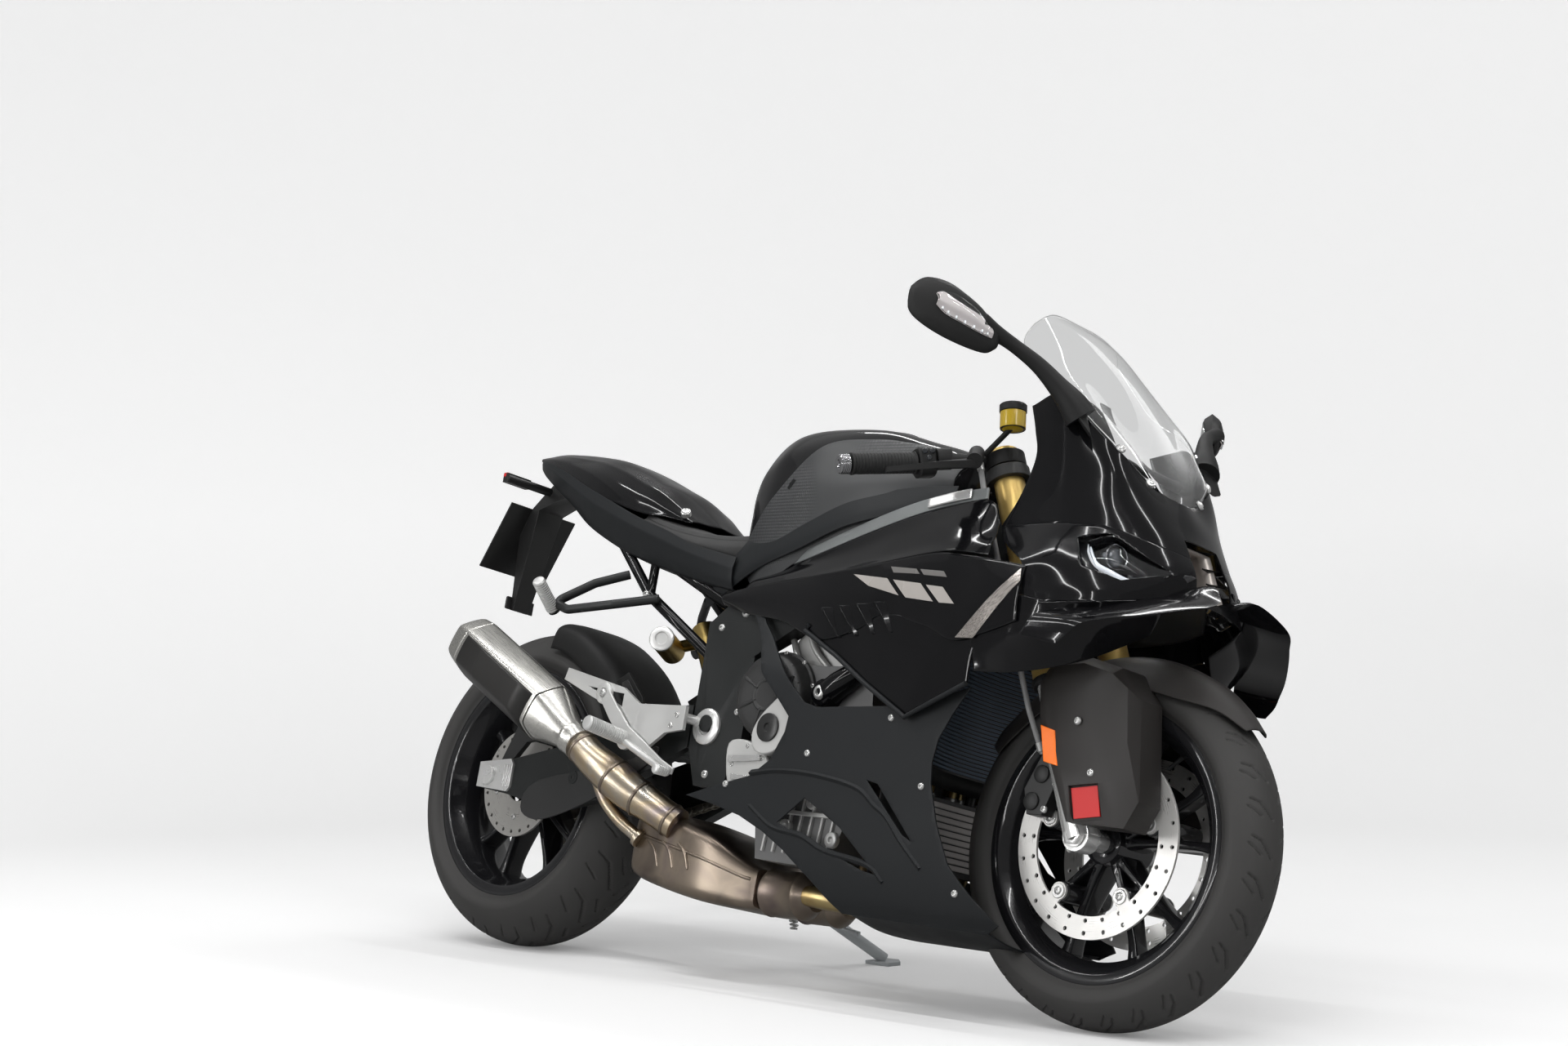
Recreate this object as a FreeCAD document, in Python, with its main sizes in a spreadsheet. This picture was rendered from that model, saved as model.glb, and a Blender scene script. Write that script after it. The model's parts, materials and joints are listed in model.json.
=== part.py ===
import FreeCAD, Part
import math
import os

import Sketcher

# A sport bike leaning on its side stand. Every piece is drawn on the upright machine:
# X forward from the rear axle, Y to the rider's left, Z up from the ground. The whole
# machine is then leaned over and moved so that its origin is the middle of its footprint.

doc = FreeCAD.newDocument("sport_bike")
Vector = FreeCAD.Vector
Rotation = FreeCAD.Rotation
Placement = FreeCAD.Placement

SIZES = [
    # alias, size in mm or degrees, what it measures
    ("lean_deg", 13.43, "lean on the side stand"),
    ("rake_deg", 23.6, "steering axis from the vertical"),
    ("wheelbase", 1457.0, "rear axle to front axle"),
    ("fork_offset", 28.6, "steering axis to fork line"),
    ("fork_spread", 105.0, "middle of the bike to a fork leg"),
    ("fork_outer_r", 27.0, "gold outer tube"),
    ("fork_inner_r", 22.5, "sliding inner tube"),
    ("fork_length", 430.0, "gold outer tube"),
    ("fork_gold_start", 282.0, "front axle to the gold tube's lower end"),
    ("front_tyre_r", 300.0, "outer radius"),
    ("front_tyre_half", 60.0, "half the section width"),
    ("front_crown_r", 64.0, "radius of the tread across the tyre"),
    ("rear_tyre_r", 320.0, "outer radius"),
    ("rear_tyre_half", 95.0, "half the section width"),
    ("rear_crown_r", 104.0, "radius of the tread across the tyre"),
    ("tread_edge_drop", 42.0, "front crown down to the tread's edge"),
    ("rear_edge_drop", 62.0, "rear crown down to the tread's edge"),
    ("bead_r", 222.0, "tyre bead against the rim flange"),
    ("tyre_wall", 9.0, "tyre thickness"),
    ("front_rim_half", 51.0, "half the width over the flanges"),
    ("rear_rim_half", 83.0, "half the width over the flanges"),
    ("rim_flange_r", 230.0, "rim flange"),
    ("rim_well_r", 196.0, "rim well"),
    ("rim_wall", 6.0, "rim thickness"),
    ("hub_r", 36.0, "wheel hub"),
    ("hub_bore_r", 13.0, "wheel hub bore"),
    ("front_hub_half", 50.0, "half the front hub's width"),
    ("rear_hub_half", 62.0, "half the rear hub's width"),
    ("spoke_wide", 20.0, "spoke across the wheel plane"),
    ("front_disc_r", 160.0, "front brake disc"),
    ("front_disc_in_r", 122.0, "braking band's inner edge"),
    ("front_disc_y", 63.0, "middle of the bike to the disc"),
    ("disc_thick", 5.0, "brake disc"),
    ("disc_hole_r", 3.6, "drilled holes"),
    ("disc_bolt_r", 106.0, "axle to the front disc's bolts"),
    ("rear_disc_r", 110.0, "rear brake disc"),
    ("rear_disc_in_r", 74.0, "rear band's inner edge"),
    ("rear_disc_y", 70.5, "middle of the bike to the rear disc"),
    ("axle_r", 12.5, "both axles"),
    ("front_axle_half", 119.0, "half the front axle"),
    ("rear_axle_half", 145.0, "half the rear axle"),
    ("chain_y", 112.0, "chain line"),
    ("chain_wide", 18.0, "chain over its plates"),
    ("chain_tall", 15.0, "chain plate height"),
    ("rear_sprocket_r", 101.0, "pitch radius"),
    ("front_sprocket_r", 41.0, "pitch radius"),
    ("pivot_x", 600.0, "swingarm pivot ahead of the rear axle"),
    ("pivot_height", 445.0, "swingarm pivot above the ground"),
    ("panel", 3.0, "moulded panel thickness"),
    ("grip_r", 17.0, "rubber grips"),
    ("bar_r", 11.0, "handlebar tube"),
    ("steer_limit_deg", 24.0, "steering each way"),
    ("stand_x", 600.0, "side stand pivot"),
    ("stand_y", 158.0, "side stand pivot"),
    ("stand_height", 172.0, "side stand pivot"),
    ("stand_foot_x", 691.0, "side stand foot"),
    ("stand_foot_y", 330.0, "side stand foot"),
    ("stand_fold_deg", 112.0, "side stand folds back"),
    ("plate_foot", 330.0, "lower end of the frame's pivot plates"),
    ("stand_leg_r", 11.0, "side stand leg"),
    ("bobbin_x", 251.0, "paddock stand thread ahead of the rear axle"),
    ("bobbin_height", 328.0, "paddock stand thread above the ground"),
    ("bobbin_hole_r", 3.4, "tapped M8 hole"),
    ("bobbin_depth", 22.0, "tapped M8 hole"),
    ("bobbin_boss_y", 154.0, "boss face from the middle"),
    ("clearance", 0.3, "between pieces that seat on each other"),
]

sheet = doc.addObject("Spreadsheet::Sheet", "Sizes")
sizes = {}
for row, (alias, number, meaning) in enumerate(SIZES, start=1):
    sheet.set("A%d" % row, meaning)
    sheet.set("B%d" % row, str(number))
    sheet.setAlias("B%d" % row, alias)
    sizes[alias] = number
doc.recompute()

subparts = {}


def value(text):
    """Adds up a sum such as 'rim_flange_r - rim_wall' from the sheet's numbers."""
    total = 0.0
    sign = 1
    for word in text.split():
        if word in ("+", "-"):
            sign = 1 if word == "+" else -1
        else:
            total += sign * (sizes[word] if word in sizes else float(word))
            sign = 1
    return total


def cells(text):
    """The same sum as an expression on the sheet."""
    return " ".join("Sizes." + word if word in sizes else word for word in text.split())


def bind(item, **texts):
    for name, text in texts.items():
        item.setExpression(name, cells(text))


def add_part(name, item, own=None):
    """Names a finished piece; own is its placement on the upright machine."""
    item.Label = name
    subparts[name] = (item, own if own else Placement())
    return item


def feature(name, shape):
    item = doc.addObject("Part::Feature", name + "_shape")
    item.Shape = shape
    return add_part(name, item, Placement(item.Placement))


def along(base, direction):
    """A placement whose Z axis points along direction."""
    return Placement(Vector(*base), Rotation(Vector(0, 0, 1), Vector(*direction)))


def cylinder(name, radius, height, base, direction):
    item = doc.addObject("Part::Cylinder", name)
    bind(item, Radius=radius, Height=height)
    item.Placement = along(base, direction)
    return item


def fuse(name, pieces):
    item = doc.addObject("Part::MultiFuse", name)
    item.Shapes = pieces
    return item


def mirrored(shape):
    return shape.mirror(Vector(0, 0, 0), Vector(0, 1, 0))


def both_sides(shape):
    return Part.makeCompound([shape, mirrored(shape)])


def loop(points):
    return Part.makePolygon([Vector(*p) for p in points] + [Vector(*points[0])])


def loft(sections):
    """Flat-sided solid through closed sections, each a list of points."""
    solid = Part.makeLoft([loop(section) for section in sections], True, True)
    if solid.Volume < 0:
        solid.reverse()
    return solid


def faceted(front, back):
    """Solid between two rings of points that need not be flat, fanned from their first points."""
    rings = [[Vector(*p) for p in ring] for ring in (front, back)]
    count = len(front)
    corners = []
    for i in range(count):
        after = (i + 1) % count
        corners.append((rings[0][i], rings[0][after], rings[1][after]))
        corners.append((rings[0][i], rings[1][after], rings[1][i]))
    for ring in rings:
        corners += [(ring[0], ring[i], ring[i + 1]) for i in range(1, count - 1)]
    solid = Part.Solid(Part.Shell([Part.Face(Part.makePolygon([a, b, c, a])) for a, b, c in corners]))
    if solid.Volume < 0:
        solid.reverse()
    return solid


def prism(outline, y_low, y_high):
    """Solid over an outline of (x, z) points, from one y to another."""
    face = Part.Face(loop([(x, y_low, z) for x, z in outline]))
    return face.extrude(Vector(0, y_high - y_low, 0))


def beam(stations):
    """Solid through upright rectangles; a station is x, y_in, y_out, z_low, z_high."""
    return loft([[(x, a, low), (x, b, low), (x, b, high), (x, a, high)]
                 for x, a, b, low, high in stations])


def union(shapes):
    return shapes[0].fuse(shapes[1:]).removeSplitter()


def rounded_path(points, radius):
    """Straight runs joined by tangent arcs."""
    corners = [Vector(*p) for p in points]
    edges = []
    start = corners[0]
    for before, corner, after in zip(corners, corners[1:], corners[2:]):
        inward = (before - corner).normalize()
        onward = (after - corner).normalize()
        half = inward.getAngle(onward) / 2
        reach = radius / math.tan(half)
        limit = 0.45 * min((before - corner).Length, (after - corner).Length)
        reach = min(reach, limit)
        bend = reach * math.tan(half)
        first = corner + inward * reach
        last = corner + onward * reach
        bisector = (inward + onward).normalize()
        middle = corner + bisector * (bend / math.sin(half) - bend)
        edges.append(Part.LineSegment(start, first).toShape())
        edges.append(Part.Arc(first, middle, last).toShape())
        start = last
    edges.append(Part.LineSegment(start, corners[-1]).toShape())
    return Part.Wire(edges)


def pipe(points, radius, bend=60.0):
    """Round bar along runs and arcs."""
    path = rounded_path(points, bend)
    direction = Vector(*points[1]) - Vector(*points[0])
    ring = Part.Wire(Part.makeCircle(radius, Vector(*points[0]), direction))
    return path.makePipeShell([ring], True, False)


def bar(start, end, radius):
    direction = Vector(*end) - Vector(*start)
    return Part.makeCylinder(radius, direction.Length, Vector(*start), direction)


def skin(rows, thickness):
    """Panel of even thickness; rows of points give its outer face."""
    outer = [[Vector(*p) for p in row] for row in rows]
    last_row, last_column = len(outer) - 1, len(outer[0]) - 1

    def normal(i, j):
        down = outer[min(i + 1, last_row)][j] - outer[max(i - 1, 0)][j]
        across = outer[i][min(j + 1, last_column)] - outer[i][max(j - 1, 0)]
        return down.cross(across).normalize()

    inner = [[outer[i][j] - normal(i, j) * thickness for j in range(last_column + 1)]
             for i in range(last_row + 1)]
    faces = []

    def triangle(a, b, c):
        if (b - a).cross(c - a).Length > 1e-6:
            faces.append(Part.Face(Part.makePolygon([a, b, c, a])))

    def quad(a, b, c, d):
        triangle(a, b, c)
        triangle(a, c, d)

    for i in range(last_row):
        for j in range(last_column):
            for layer in (outer, inner):
                quad(layer[i][j], layer[i + 1][j], layer[i + 1][j + 1], layer[i][j + 1])
    rim = [(0, j) for j in range(last_column)] + [(i, last_column) for i in range(last_row)]
    rim += [(last_row, j) for j in range(last_column, 0, -1)] + [(i, 0) for i in range(last_row, 0, -1)]
    for (i, j), (k, m) in zip(rim, rim[1:] + rim[:1]):
        quad(outer[i][j], outer[k][m], inner[k][m], inner[i][j])
    solid = Part.Solid(Part.Shell(faces))
    if solid.Volume < 0:
        solid.reverse()
    return solid


def new_body(name):
    return doc.addObject("PartDesign::Body", name)


def origin_part(body, role):
    return [item for item in body.Origin.OriginFeatures if item.Role == role][0]


def new_sketch(body, name, plane):
    sketch = body.newObject("Sketcher::SketchObject", name)
    sketch.AttachmentSupport = [(origin_part(body, plane), "")]
    sketch.MapMode = "FlatFace"
    return sketch


def draw_outline(sketch, corners, crowns=None):
    """Closed outline whose corners are sums on the sheet.

    crowns gives, for a side that is an arc, the second coordinate of its centre.
    """
    crowns = crowns or {}
    spots = [Vector(value(a), value(b), 0) for a, b in corners]
    count = len(spots)
    for i in range(count):
        here, there = spots[i], spots[(i + 1) % count]
        if i in crowns:
            centre = Vector((here.x + there.x) / 2, value(crowns[i]), 0)
            radius = (here - centre).Length
            angles = [math.atan2(p.y - centre.y, p.x - centre.x) for p in (here, there)]
            if angles[0] > angles[1]:
                angles.reverse()
            circle = Part.Circle(centre, Vector(0, 0, 1), radius)
            sketch.addGeometry(Part.ArcOfCircle(circle, angles[0], angles[1]))
        else:
            sketch.addGeometry(Part.LineSegment(here, there))

    def end_of(i, which):
        """Arcs run counter-clockwise, so on a clockwise side their ends swap."""
        if i in crowns and spots[i].x > spots[(i + 1) % count].x:
            return which
        if i in crowns:
            return 3 - which
        return which

    for i in range(count):
        after = (i + 1) % count
        sketch.addConstraint(Sketcher.Constraint("Coincident", i, end_of(i, 2), after, end_of(after, 1)))
    for i, (a, b) in enumerate(corners):
        for kind, text in (("DistanceX", a), ("DistanceY", b)):
            number = sketch.addConstraint(
                Sketcher.Constraint(kind, -1, 1, i, end_of(i, 1), value(text)))
            sketch.setExpression("Constraints[%d]" % number, cells(text))
    for i, text in crowns.items():
        number = sketch.addConstraint(Sketcher.Constraint("DistanceY", -1, 1, i, 3, value(text)))
        sketch.setExpression("Constraints[%d]" % number, cells(text))


def draw_circle(sketch, x, y, radius):
    number = sketch.GeometryCount
    sketch.addGeometry(Part.Circle(Vector(value(x), value(y), 0), Vector(0, 0, 1), value(radius)))
    rules = (("DistanceX", (-1, 1, number, 3), x), ("DistanceY", (-1, 1, number, 3), y),
             ("Radius", (number,), radius))
    for kind, place, text in rules:
        rule = sketch.addConstraint(Sketcher.Constraint(kind, *place, value(text)))
        sketch.setExpression("Constraints[%d]" % rule, cells(text))


def turned_body(name, corners, crowns=None):
    """Body of revolution about the axle; corners are (along the axle, radius)."""
    body = new_body(name)
    sketch = new_sketch(body, name + "_profile", "YZ_Plane")
    draw_outline(sketch, corners, crowns)
    turn = body.newObject("PartDesign::Revolution", name + "_turn")
    turn.Profile = sketch
    turn.ReferenceAxis = (sketch, ["H_Axis"])
    turn.Angle = 360
    sketch.Visibility = False
    return body


# The machine's main lines, worked out from the sheet.

LEAN = math.radians(value("lean_deg"))
RAKE = math.radians(value("rake_deg"))
REAR_AXLE = (0.0, 0.0, value("rear_tyre_r"))
# Leaning over, both round treads touch the ground: the axle of the narrower tyre sits
# a little lower than its radius.
crown_difference = value("rear_crown_r - front_crown_r")
front_height = value("front_tyre_r") - crown_difference * (1 / math.cos(LEAN) - 1)
FRONT_AXLE = (value("wheelbase"), 0.0, front_height)
GROUND_SHIFT = value("rear_crown_r") * (1 - math.cos(LEAN))
FORK_UP = Vector(-math.sin(RAKE), 0, math.cos(RAKE))
FORK_AHEAD = Vector(math.cos(RAKE), 0, math.sin(RAKE))
STEER_BASE = Vector(*FRONT_AXLE) - FORK_AHEAD * value("fork_offset")


def on_fork(distance, y=0.0, ahead=0.0):
    """Point on the fork line, a distance up from the front axle."""
    spot = Vector(*FRONT_AXLE) + FORK_UP * distance + FORK_AHEAD * ahead
    return (spot.x, y, spot.z)


def ground_height(y):
    """Height of the ground on the upright machine, at a distance to its left."""
    return math.tan(LEAN) * y - GROUND_SHIFT / math.cos(LEAN)


# Wheels

TYRES = [
    # node, radius, half width, crown radius, drop to the tread's edge, rim half width
    ("front_tyre", "front_tyre_r", "front_tyre_half", "front_crown_r", "tread_edge_drop", "front_rim_half"),
    ("rear_tyre", "rear_tyre_r", "rear_tyre_half", "rear_crown_r", "rear_edge_drop", "rear_rim_half"),
]
AXLES = {"front": FRONT_AXLE, "rear": REAR_AXLE}


def wheel_place(node):
    return Placement(Vector(*AXLES[node.split("_")[0]]), Rotation())


for node, radius, half, crown, drop, rim_half in TYRES:
    centre = "%s - %s" % (radius, crown)
    edge = "%s - %s" % (radius, drop)
    seat = "%s - rim_wall - clearance" % rim_half
    other_seat = "- %s + rim_wall + clearance" % rim_half
    bead = "bead_r - rim_wall + clearance"
    lip = "rim_flange_r + clearance + clearance"
    corners = [
        (seat, bead),
        (seat, lip),
        ("%s" % half, edge),
        ("- %s" % half, edge),
        (other_seat, lip),
        (other_seat, bead),
        (other_seat + " + tyre_wall", bead),
        (other_seat + " + tyre_wall", lip),
        ("- %s + tyre_wall" % half, edge),
        ("%s - tyre_wall" % half, edge),
        (seat + " - tyre_wall", lip),
        (seat + " - tyre_wall", bead),
    ]
    body = turned_body(node, corners, {2: centre, 8: "%s - %s" % (centre, "tyre_wall")})
    add_part(node, body, wheel_place(node))

RIMS = [
    # node, rim half width, hub half width
    ("front_rim", "front_rim_half", "front_hub_half"),
    ("rear_rim", "rear_rim_half", "rear_hub_half"),
]
SPOKE_PAIRS = 5
SPOKE_SPLAY_DEG = 15.0
SPOKE_THICK = 16.0


def spokes(half_hub, reach):
    """Five pairs of spokes that leave the hub together and part towards the rim."""
    bars = []
    for turn in range(SPOKE_PAIRS):
        for side in (-1, 1):
            middle = math.radians(90 + turn * 360 / SPOKE_PAIRS)
            foot_angle = middle + side * math.radians(9)
            tip_angle = middle + side * math.radians(SPOKE_SPLAY_DEG)
            sections = []
            for radius, angle, deep in ((value("hub_r") - 4, foot_angle, half_hub * 0.62),
                                        (reach, tip_angle, half_hub * 0.36)):
                centre = Vector(math.cos(angle) * radius, 0, math.sin(angle) * radius)
                across = Vector(-math.sin(tip_angle), 0, math.cos(tip_angle)) * (SPOKE_THICK / 2)
                deep_way = Vector(0, deep, 0)
                ring = [centre + across + deep_way, centre - across + deep_way,
                        centre - across - deep_way, centre + across - deep_way]
                sections.append([tuple(p) for p in ring])
            bars.append(loft(sections))
    return bars


def wheel_spot(radius, turn):
    """Point midway between the spokes of a pair, on a wheel whose axle is the origin."""
    angle = math.radians(90 + turn * 360 / SPOKE_PAIRS)
    return Vector(math.cos(angle) * radius, 0, math.sin(angle) * radius)


half_disc = value("disc_thick") / 2
front_seat = value("front_disc_y") - half_disc - value("clearance")
rear_seat = value("rear_disc_y") - half_disc - value("clearance")
DISC_SEATS = {
    # for a front disc five bosses, for the rear one a ring
    "front_rim": [Part.makeCylinder(19, 2 * front_seat, wheel_spot(value("disc_bolt_r"), turn)
                                    - Vector(0, front_seat, 0), Vector(0, 1, 0)) for turn in range(SPOKE_PAIRS)],
    "rear_rim": [Part.makeCylinder(76, rear_seat - 30, Vector(0, -rear_seat, 0), Vector(0, 1, 0)).cut(
        Part.makeCylinder(64, 300, Vector(0, -150, 0), Vector(0, 1, 0)))],
}
for node, half, hub in RIMS:
    barrel = [
        ("%s" % half, "rim_flange_r"),
        ("%s - rim_wall" % half, "rim_flange_r"),
        ("%s - rim_wall" % half, "bead_r - rim_wall"),
        ("rim_wall + rim_wall + rim_wall", "rim_well_r"),
        ("- rim_wall - rim_wall - rim_wall", "rim_well_r"),
        ("- %s + rim_wall" % half, "bead_r - rim_wall"),
        ("- %s + rim_wall" % half, "rim_flange_r"),
        ("- %s" % half, "rim_flange_r"),
        ("- %s" % half, "bead_r - rim_wall - rim_wall"),
        ("- rim_wall - rim_wall - rim_wall", "rim_well_r - rim_wall"),
        ("rim_wall + rim_wall + rim_wall", "rim_well_r - rim_wall"),
        ("%s" % half, "bead_r - rim_wall - rim_wall"),
    ]
    barrel_body = turned_body(node + "_barrel", barrel)
    hub_body = turned_body(node + "_hub", [(hub, "hub_bore_r"), (hub, "hub_r"),
                                           ("- " + hub, "hub_r"), ("- " + hub, "hub_bore_r")])
    star = doc.addObject("Part::Feature", node + "_spokes")
    bars = spokes(value(hub), value("rim_well_r - rim_wall") + 2)
    star.Shape = bars[0].fuse(bars[1:])
    seats = doc.addObject("Part::Feature", node + "_disc_seats")
    seats.Shape = Part.makeCompound(DISC_SEATS[node])
    wheel = fuse(node + "_whole", [barrel_body, hub_body, star, seats])
    add_part(node, wheel, wheel_place(node))


def drilled_disc(name, outer, inner, rows, per_row, thick="disc_thick"):
    """Flat ring about the axle, drilled with rows of holes."""
    body = new_body(name)
    sketch = new_sketch(body, name + "_ring", "XZ_Plane")
    draw_circle(sketch, "0", "0", outer)
    draw_circle(sketch, "0", "0", inner)
    pad = body.newObject("PartDesign::Pad", name + "_pad")
    pad.Profile = sketch
    pad.Midplane = True
    pad.setExpression("Length", cells(thick))
    for number, radius in enumerate(rows):
        holes = new_sketch(body, "%s_row%d" % (name, number), "XZ_Plane")
        draw_circle(holes, radius, "0", "disc_hole_r")
        pocket = body.newObject("PartDesign::Pocket", "%s_drill%d" % (name, number))
        pocket.Profile = holes
        pocket.Type = 1
        pocket.Midplane = True
        pattern = body.newObject("PartDesign::PolarPattern", "%s_drills%d" % (name, number))
        pattern.Originals = [pocket]
        pattern.Axis = (origin_part(body, "Y_Axis"), [""])
        pattern.Angle = 360
        pattern.Occurrences = per_row
        body.Tip = pattern
    return body


front_band = drilled_disc("front_band", "front_disc_r", "front_disc_in_r",
                          ["front_disc_r - disc_hole_r - disc_hole_r - 3",
                           "front_disc_in_r + disc_hole_r + disc_hole_r"], 24)
lugs = []
half_thick = Vector(0, value("disc_thick") / 2, 0)
for turn in range(SPOKE_PAIRS):
    spot = wheel_spot(value("disc_bolt_r"), turn)
    eye = Part.makeCylinder(15, value("disc_thick"), spot - half_thick, Vector(0, 1, 0))
    tongue = Part.makeBox(24, value("disc_thick"), 30, Vector(-12, -value("disc_thick") / 2, 0))
    tongue.rotate(Vector(0, 0, 0), Vector(0, 1, 0), -math.degrees(math.atan2(spot.z, spot.x)) + 90)
    tongue.translate(spot)
    lugs.append(eye.fuse(tongue))
carrier = doc.addObject("Part::Feature", "front_disc_carrier")
carrier.Shape = Part.makeCompound(lugs)
one_disc = fuse("front_disc_one", [front_band, carrier])
one_disc.Placement = Placement(Vector(0, -value("front_disc_y"), 0), Rotation())
other_disc = doc.addObject("Part::Mirroring", "front_disc_other")
other_disc.Source = one_disc
other_disc.Normal = Vector(0, 1, 0)
disc_pair = doc.addObject("Part::Compound", "front_disc_pair")
disc_pair.Links = [one_disc, other_disc]
add_part("front_discs", disc_pair, wheel_place("front_discs"))

rear_band = drilled_disc("rear_band", "rear_disc_r", "rear_disc_in_r",
                         ["rear_disc_r - disc_hole_r - disc_hole_r - 3"], 24)
rear_carrier_shape = Part.makeCylinder(76, value("disc_thick"), Vector(0, -value("disc_thick") / 2, 0),
                                       Vector(0, 1, 0))
rear_carrier_shape = rear_carrier_shape.cut(
    Part.makeCylinder(value("hub_r") + 2, 20, Vector(0, -10, 0), Vector(0, 1, 0)))
rear_carrier = doc.addObject("Part::Feature", "rear_disc_carrier")
rear_carrier.Shape = rear_carrier_shape
rear_disc = fuse("rear_disc_whole", [rear_band, rear_carrier])
add_part("rear_disc", rear_disc,
         Placement(Vector(0, -value("rear_disc_y"), value("rear_tyre_r")), Rotation()))

# Chain and sprocket

SPROCKET_TEETH = 40
sprocket_y = value("chain_y")
pivot = Vector(value("pivot_x"), 0, value("pivot_height"))
SPROCKET_SHAFT = (value("pivot_x") + 85, sprocket_y, value("pivot_height") + 20)


def toothed_wheel(pitch_radius, teeth, thick):
    """Flat sprocket with pointed teeth between rollers."""
    points = []
    for number in range(teeth * 4):
        angle = 2 * math.pi * number / (teeth * 4)
        radius = pitch_radius + (-5.0, -1.0, 4.0, -1.0)[number % 4]
        points.append((math.cos(angle) * radius, math.sin(angle) * radius))
    return prism(points, -thick / 2, thick / 2)


sprocket = toothed_wheel(value("rear_sprocket_r"), SPROCKET_TEETH, 7.0)
sprocket = sprocket.cut(Part.makeCylinder(value("hub_r") + 2, 40, Vector(0, -20, 0), Vector(0, 1, 0)))
for number in range(5):
    angle = 2 * math.pi * number / 5
    spot = Vector(math.cos(angle) * 68, -20, math.sin(angle) * 68)
    sprocket = sprocket.cut(Part.makeCylinder(17, 40, spot, Vector(0, 1, 0)))
carrier_drum = Part.makeCylinder(58, value("chain_y") - 3.5 - value("rear_hub_half"),
                                 Vector(0, value("rear_hub_half") - value("chain_y"), 0), Vector(0, 1, 0))
carrier_drum = carrier_drum.cut(Part.makeCylinder(value("hub_bore_r"), 120, Vector(0, -60, 0), Vector(0, 1, 0)))
sprocket = sprocket.fuse(carrier_drum)
sprocket.translate(Vector(0, sprocket_y, value("rear_tyre_r")))
feature("rear_sprocket", sprocket)


def belt(centre_a, radius_a, centre_b, radius_b, half_tall, y_low, y_high):
    """Closed band round two wheels, as an outer drawn loop less an inner one."""
    shapes = []
    for grow in (half_tall, -half_tall):
        ra, rb = radius_a + grow, radius_b + grow
        dx, dz = centre_b[0] - centre_a[0], centre_b[1] - centre_a[1]
        distance = math.hypot(dx, dz)
        heading = math.atan2(dz, dx)
        lean = math.acos((ra - rb) / distance)
        spots = []
        for centre, radius, side in ((centre_a, ra, 1), (centre_b, rb, 1), (centre_b, rb, -1),
                                     (centre_a, ra, -1)):
            angle = heading + side * lean
            spots.append((centre[0] + radius * math.cos(angle), centre[1] + radius * math.sin(angle)))
        far_b = (centre_b[0] + rb * math.cos(heading), centre_b[1] + rb * math.sin(heading))
        far_a = (centre_a[0] - ra * math.cos(heading), centre_a[1] - ra * math.sin(heading))
        to3 = [Vector(x, y_low, z) for x, z in spots + [far_b, far_a]]
        wire = Part.Wire([Part.LineSegment(to3[0], to3[1]).toShape(),
                          Part.Arc(to3[1], to3[4], to3[2]).toShape(),
                          Part.LineSegment(to3[2], to3[3]).toShape(),
                          Part.Arc(to3[3], to3[5], to3[0]).toShape()])
        shapes.append(Part.Face(wire).extrude(Vector(0, y_high - y_low, 0)))
    return shapes[0].cut(shapes[1])


chain_half = value("chain_wide") / 2
chain = belt((0, value("rear_tyre_r")), value("rear_sprocket_r") + value("chain_tall") / 2 + 6,
             (SPROCKET_SHAFT[0], SPROCKET_SHAFT[2]), value("front_sprocket_r") + 10,
             value("chain_tall") / 2, sprocket_y - chain_half, sprocket_y + chain_half)
feature("chain", chain)

# Swingarm, rear axle, caliper, shock and hugger

PIVOT_BOLT_R = 16.0

ARM = [
    # x, y_in, y_out, lower and upper edge above the line from the axle to the pivot
    (-38, 124, 150, -16, 32),
    (60, 124, 150, -47, 24),
    (200, 124, 150, -100, 26),
    (330, 124, 150, -99, 41),
    (450, 124, 150, -64, 62),
    (545, 124, 144, -33, 47),
]


def arm_line(x):
    """Height of the line from the rear axle to the swingarm pivot."""
    rise = value("pivot_height") - value("rear_tyre_r")
    return value("rear_tyre_r") + rise * x / value("pivot_x")


arm = beam([(x, y_in, y_out, arm_line(x) + low, arm_line(x) + high) for x, y_in, y_out, low, high in ARM])
axle_slot = Part.makeCylinder(value("axle_r") + value("clearance"), 400, Vector(0, -200, value("rear_tyre_r")),
                              Vector(0, 1, 0))
bridge = Part.makeBox(100, 260, 66, Vector(440, -130, arm_line(440) - 26))
pivot_tube = Part.makeCylinder(32, 244, Vector(value("pivot_x"), -122, value("pivot_height")), Vector(0, 1, 0))
pivot_web = Part.makeBox(80, 180, 44, Vector(530, -90, value("pivot_height") - 31))
pivot_hole = Part.makeCylinder(PIVOT_BOLT_R + value("clearance"), 400,
                               Vector(value("pivot_x"), -200, value("pivot_height")), Vector(0, 1, 0))
bobbin = Vector(value("bobbin_x"), -value("bobbin_boss_y"), value("bobbin_height"))
boss = Part.makeCylinder(13, 20, bobbin, Vector(0, 1, 0))
thread = Part.makeCylinder(value("bobbin_hole_r"), value("bobbin_depth"), bobbin, Vector(0, 1, 0))
swingarm = union([arm, mirrored(arm), bridge, pivot_web, pivot_tube, boss, mirrored(boss)])
swingarm = swingarm.cut(axle_slot).cut(pivot_hole).cut(thread).cut(mirrored(thread))
feature("swingarm", swingarm)

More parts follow.
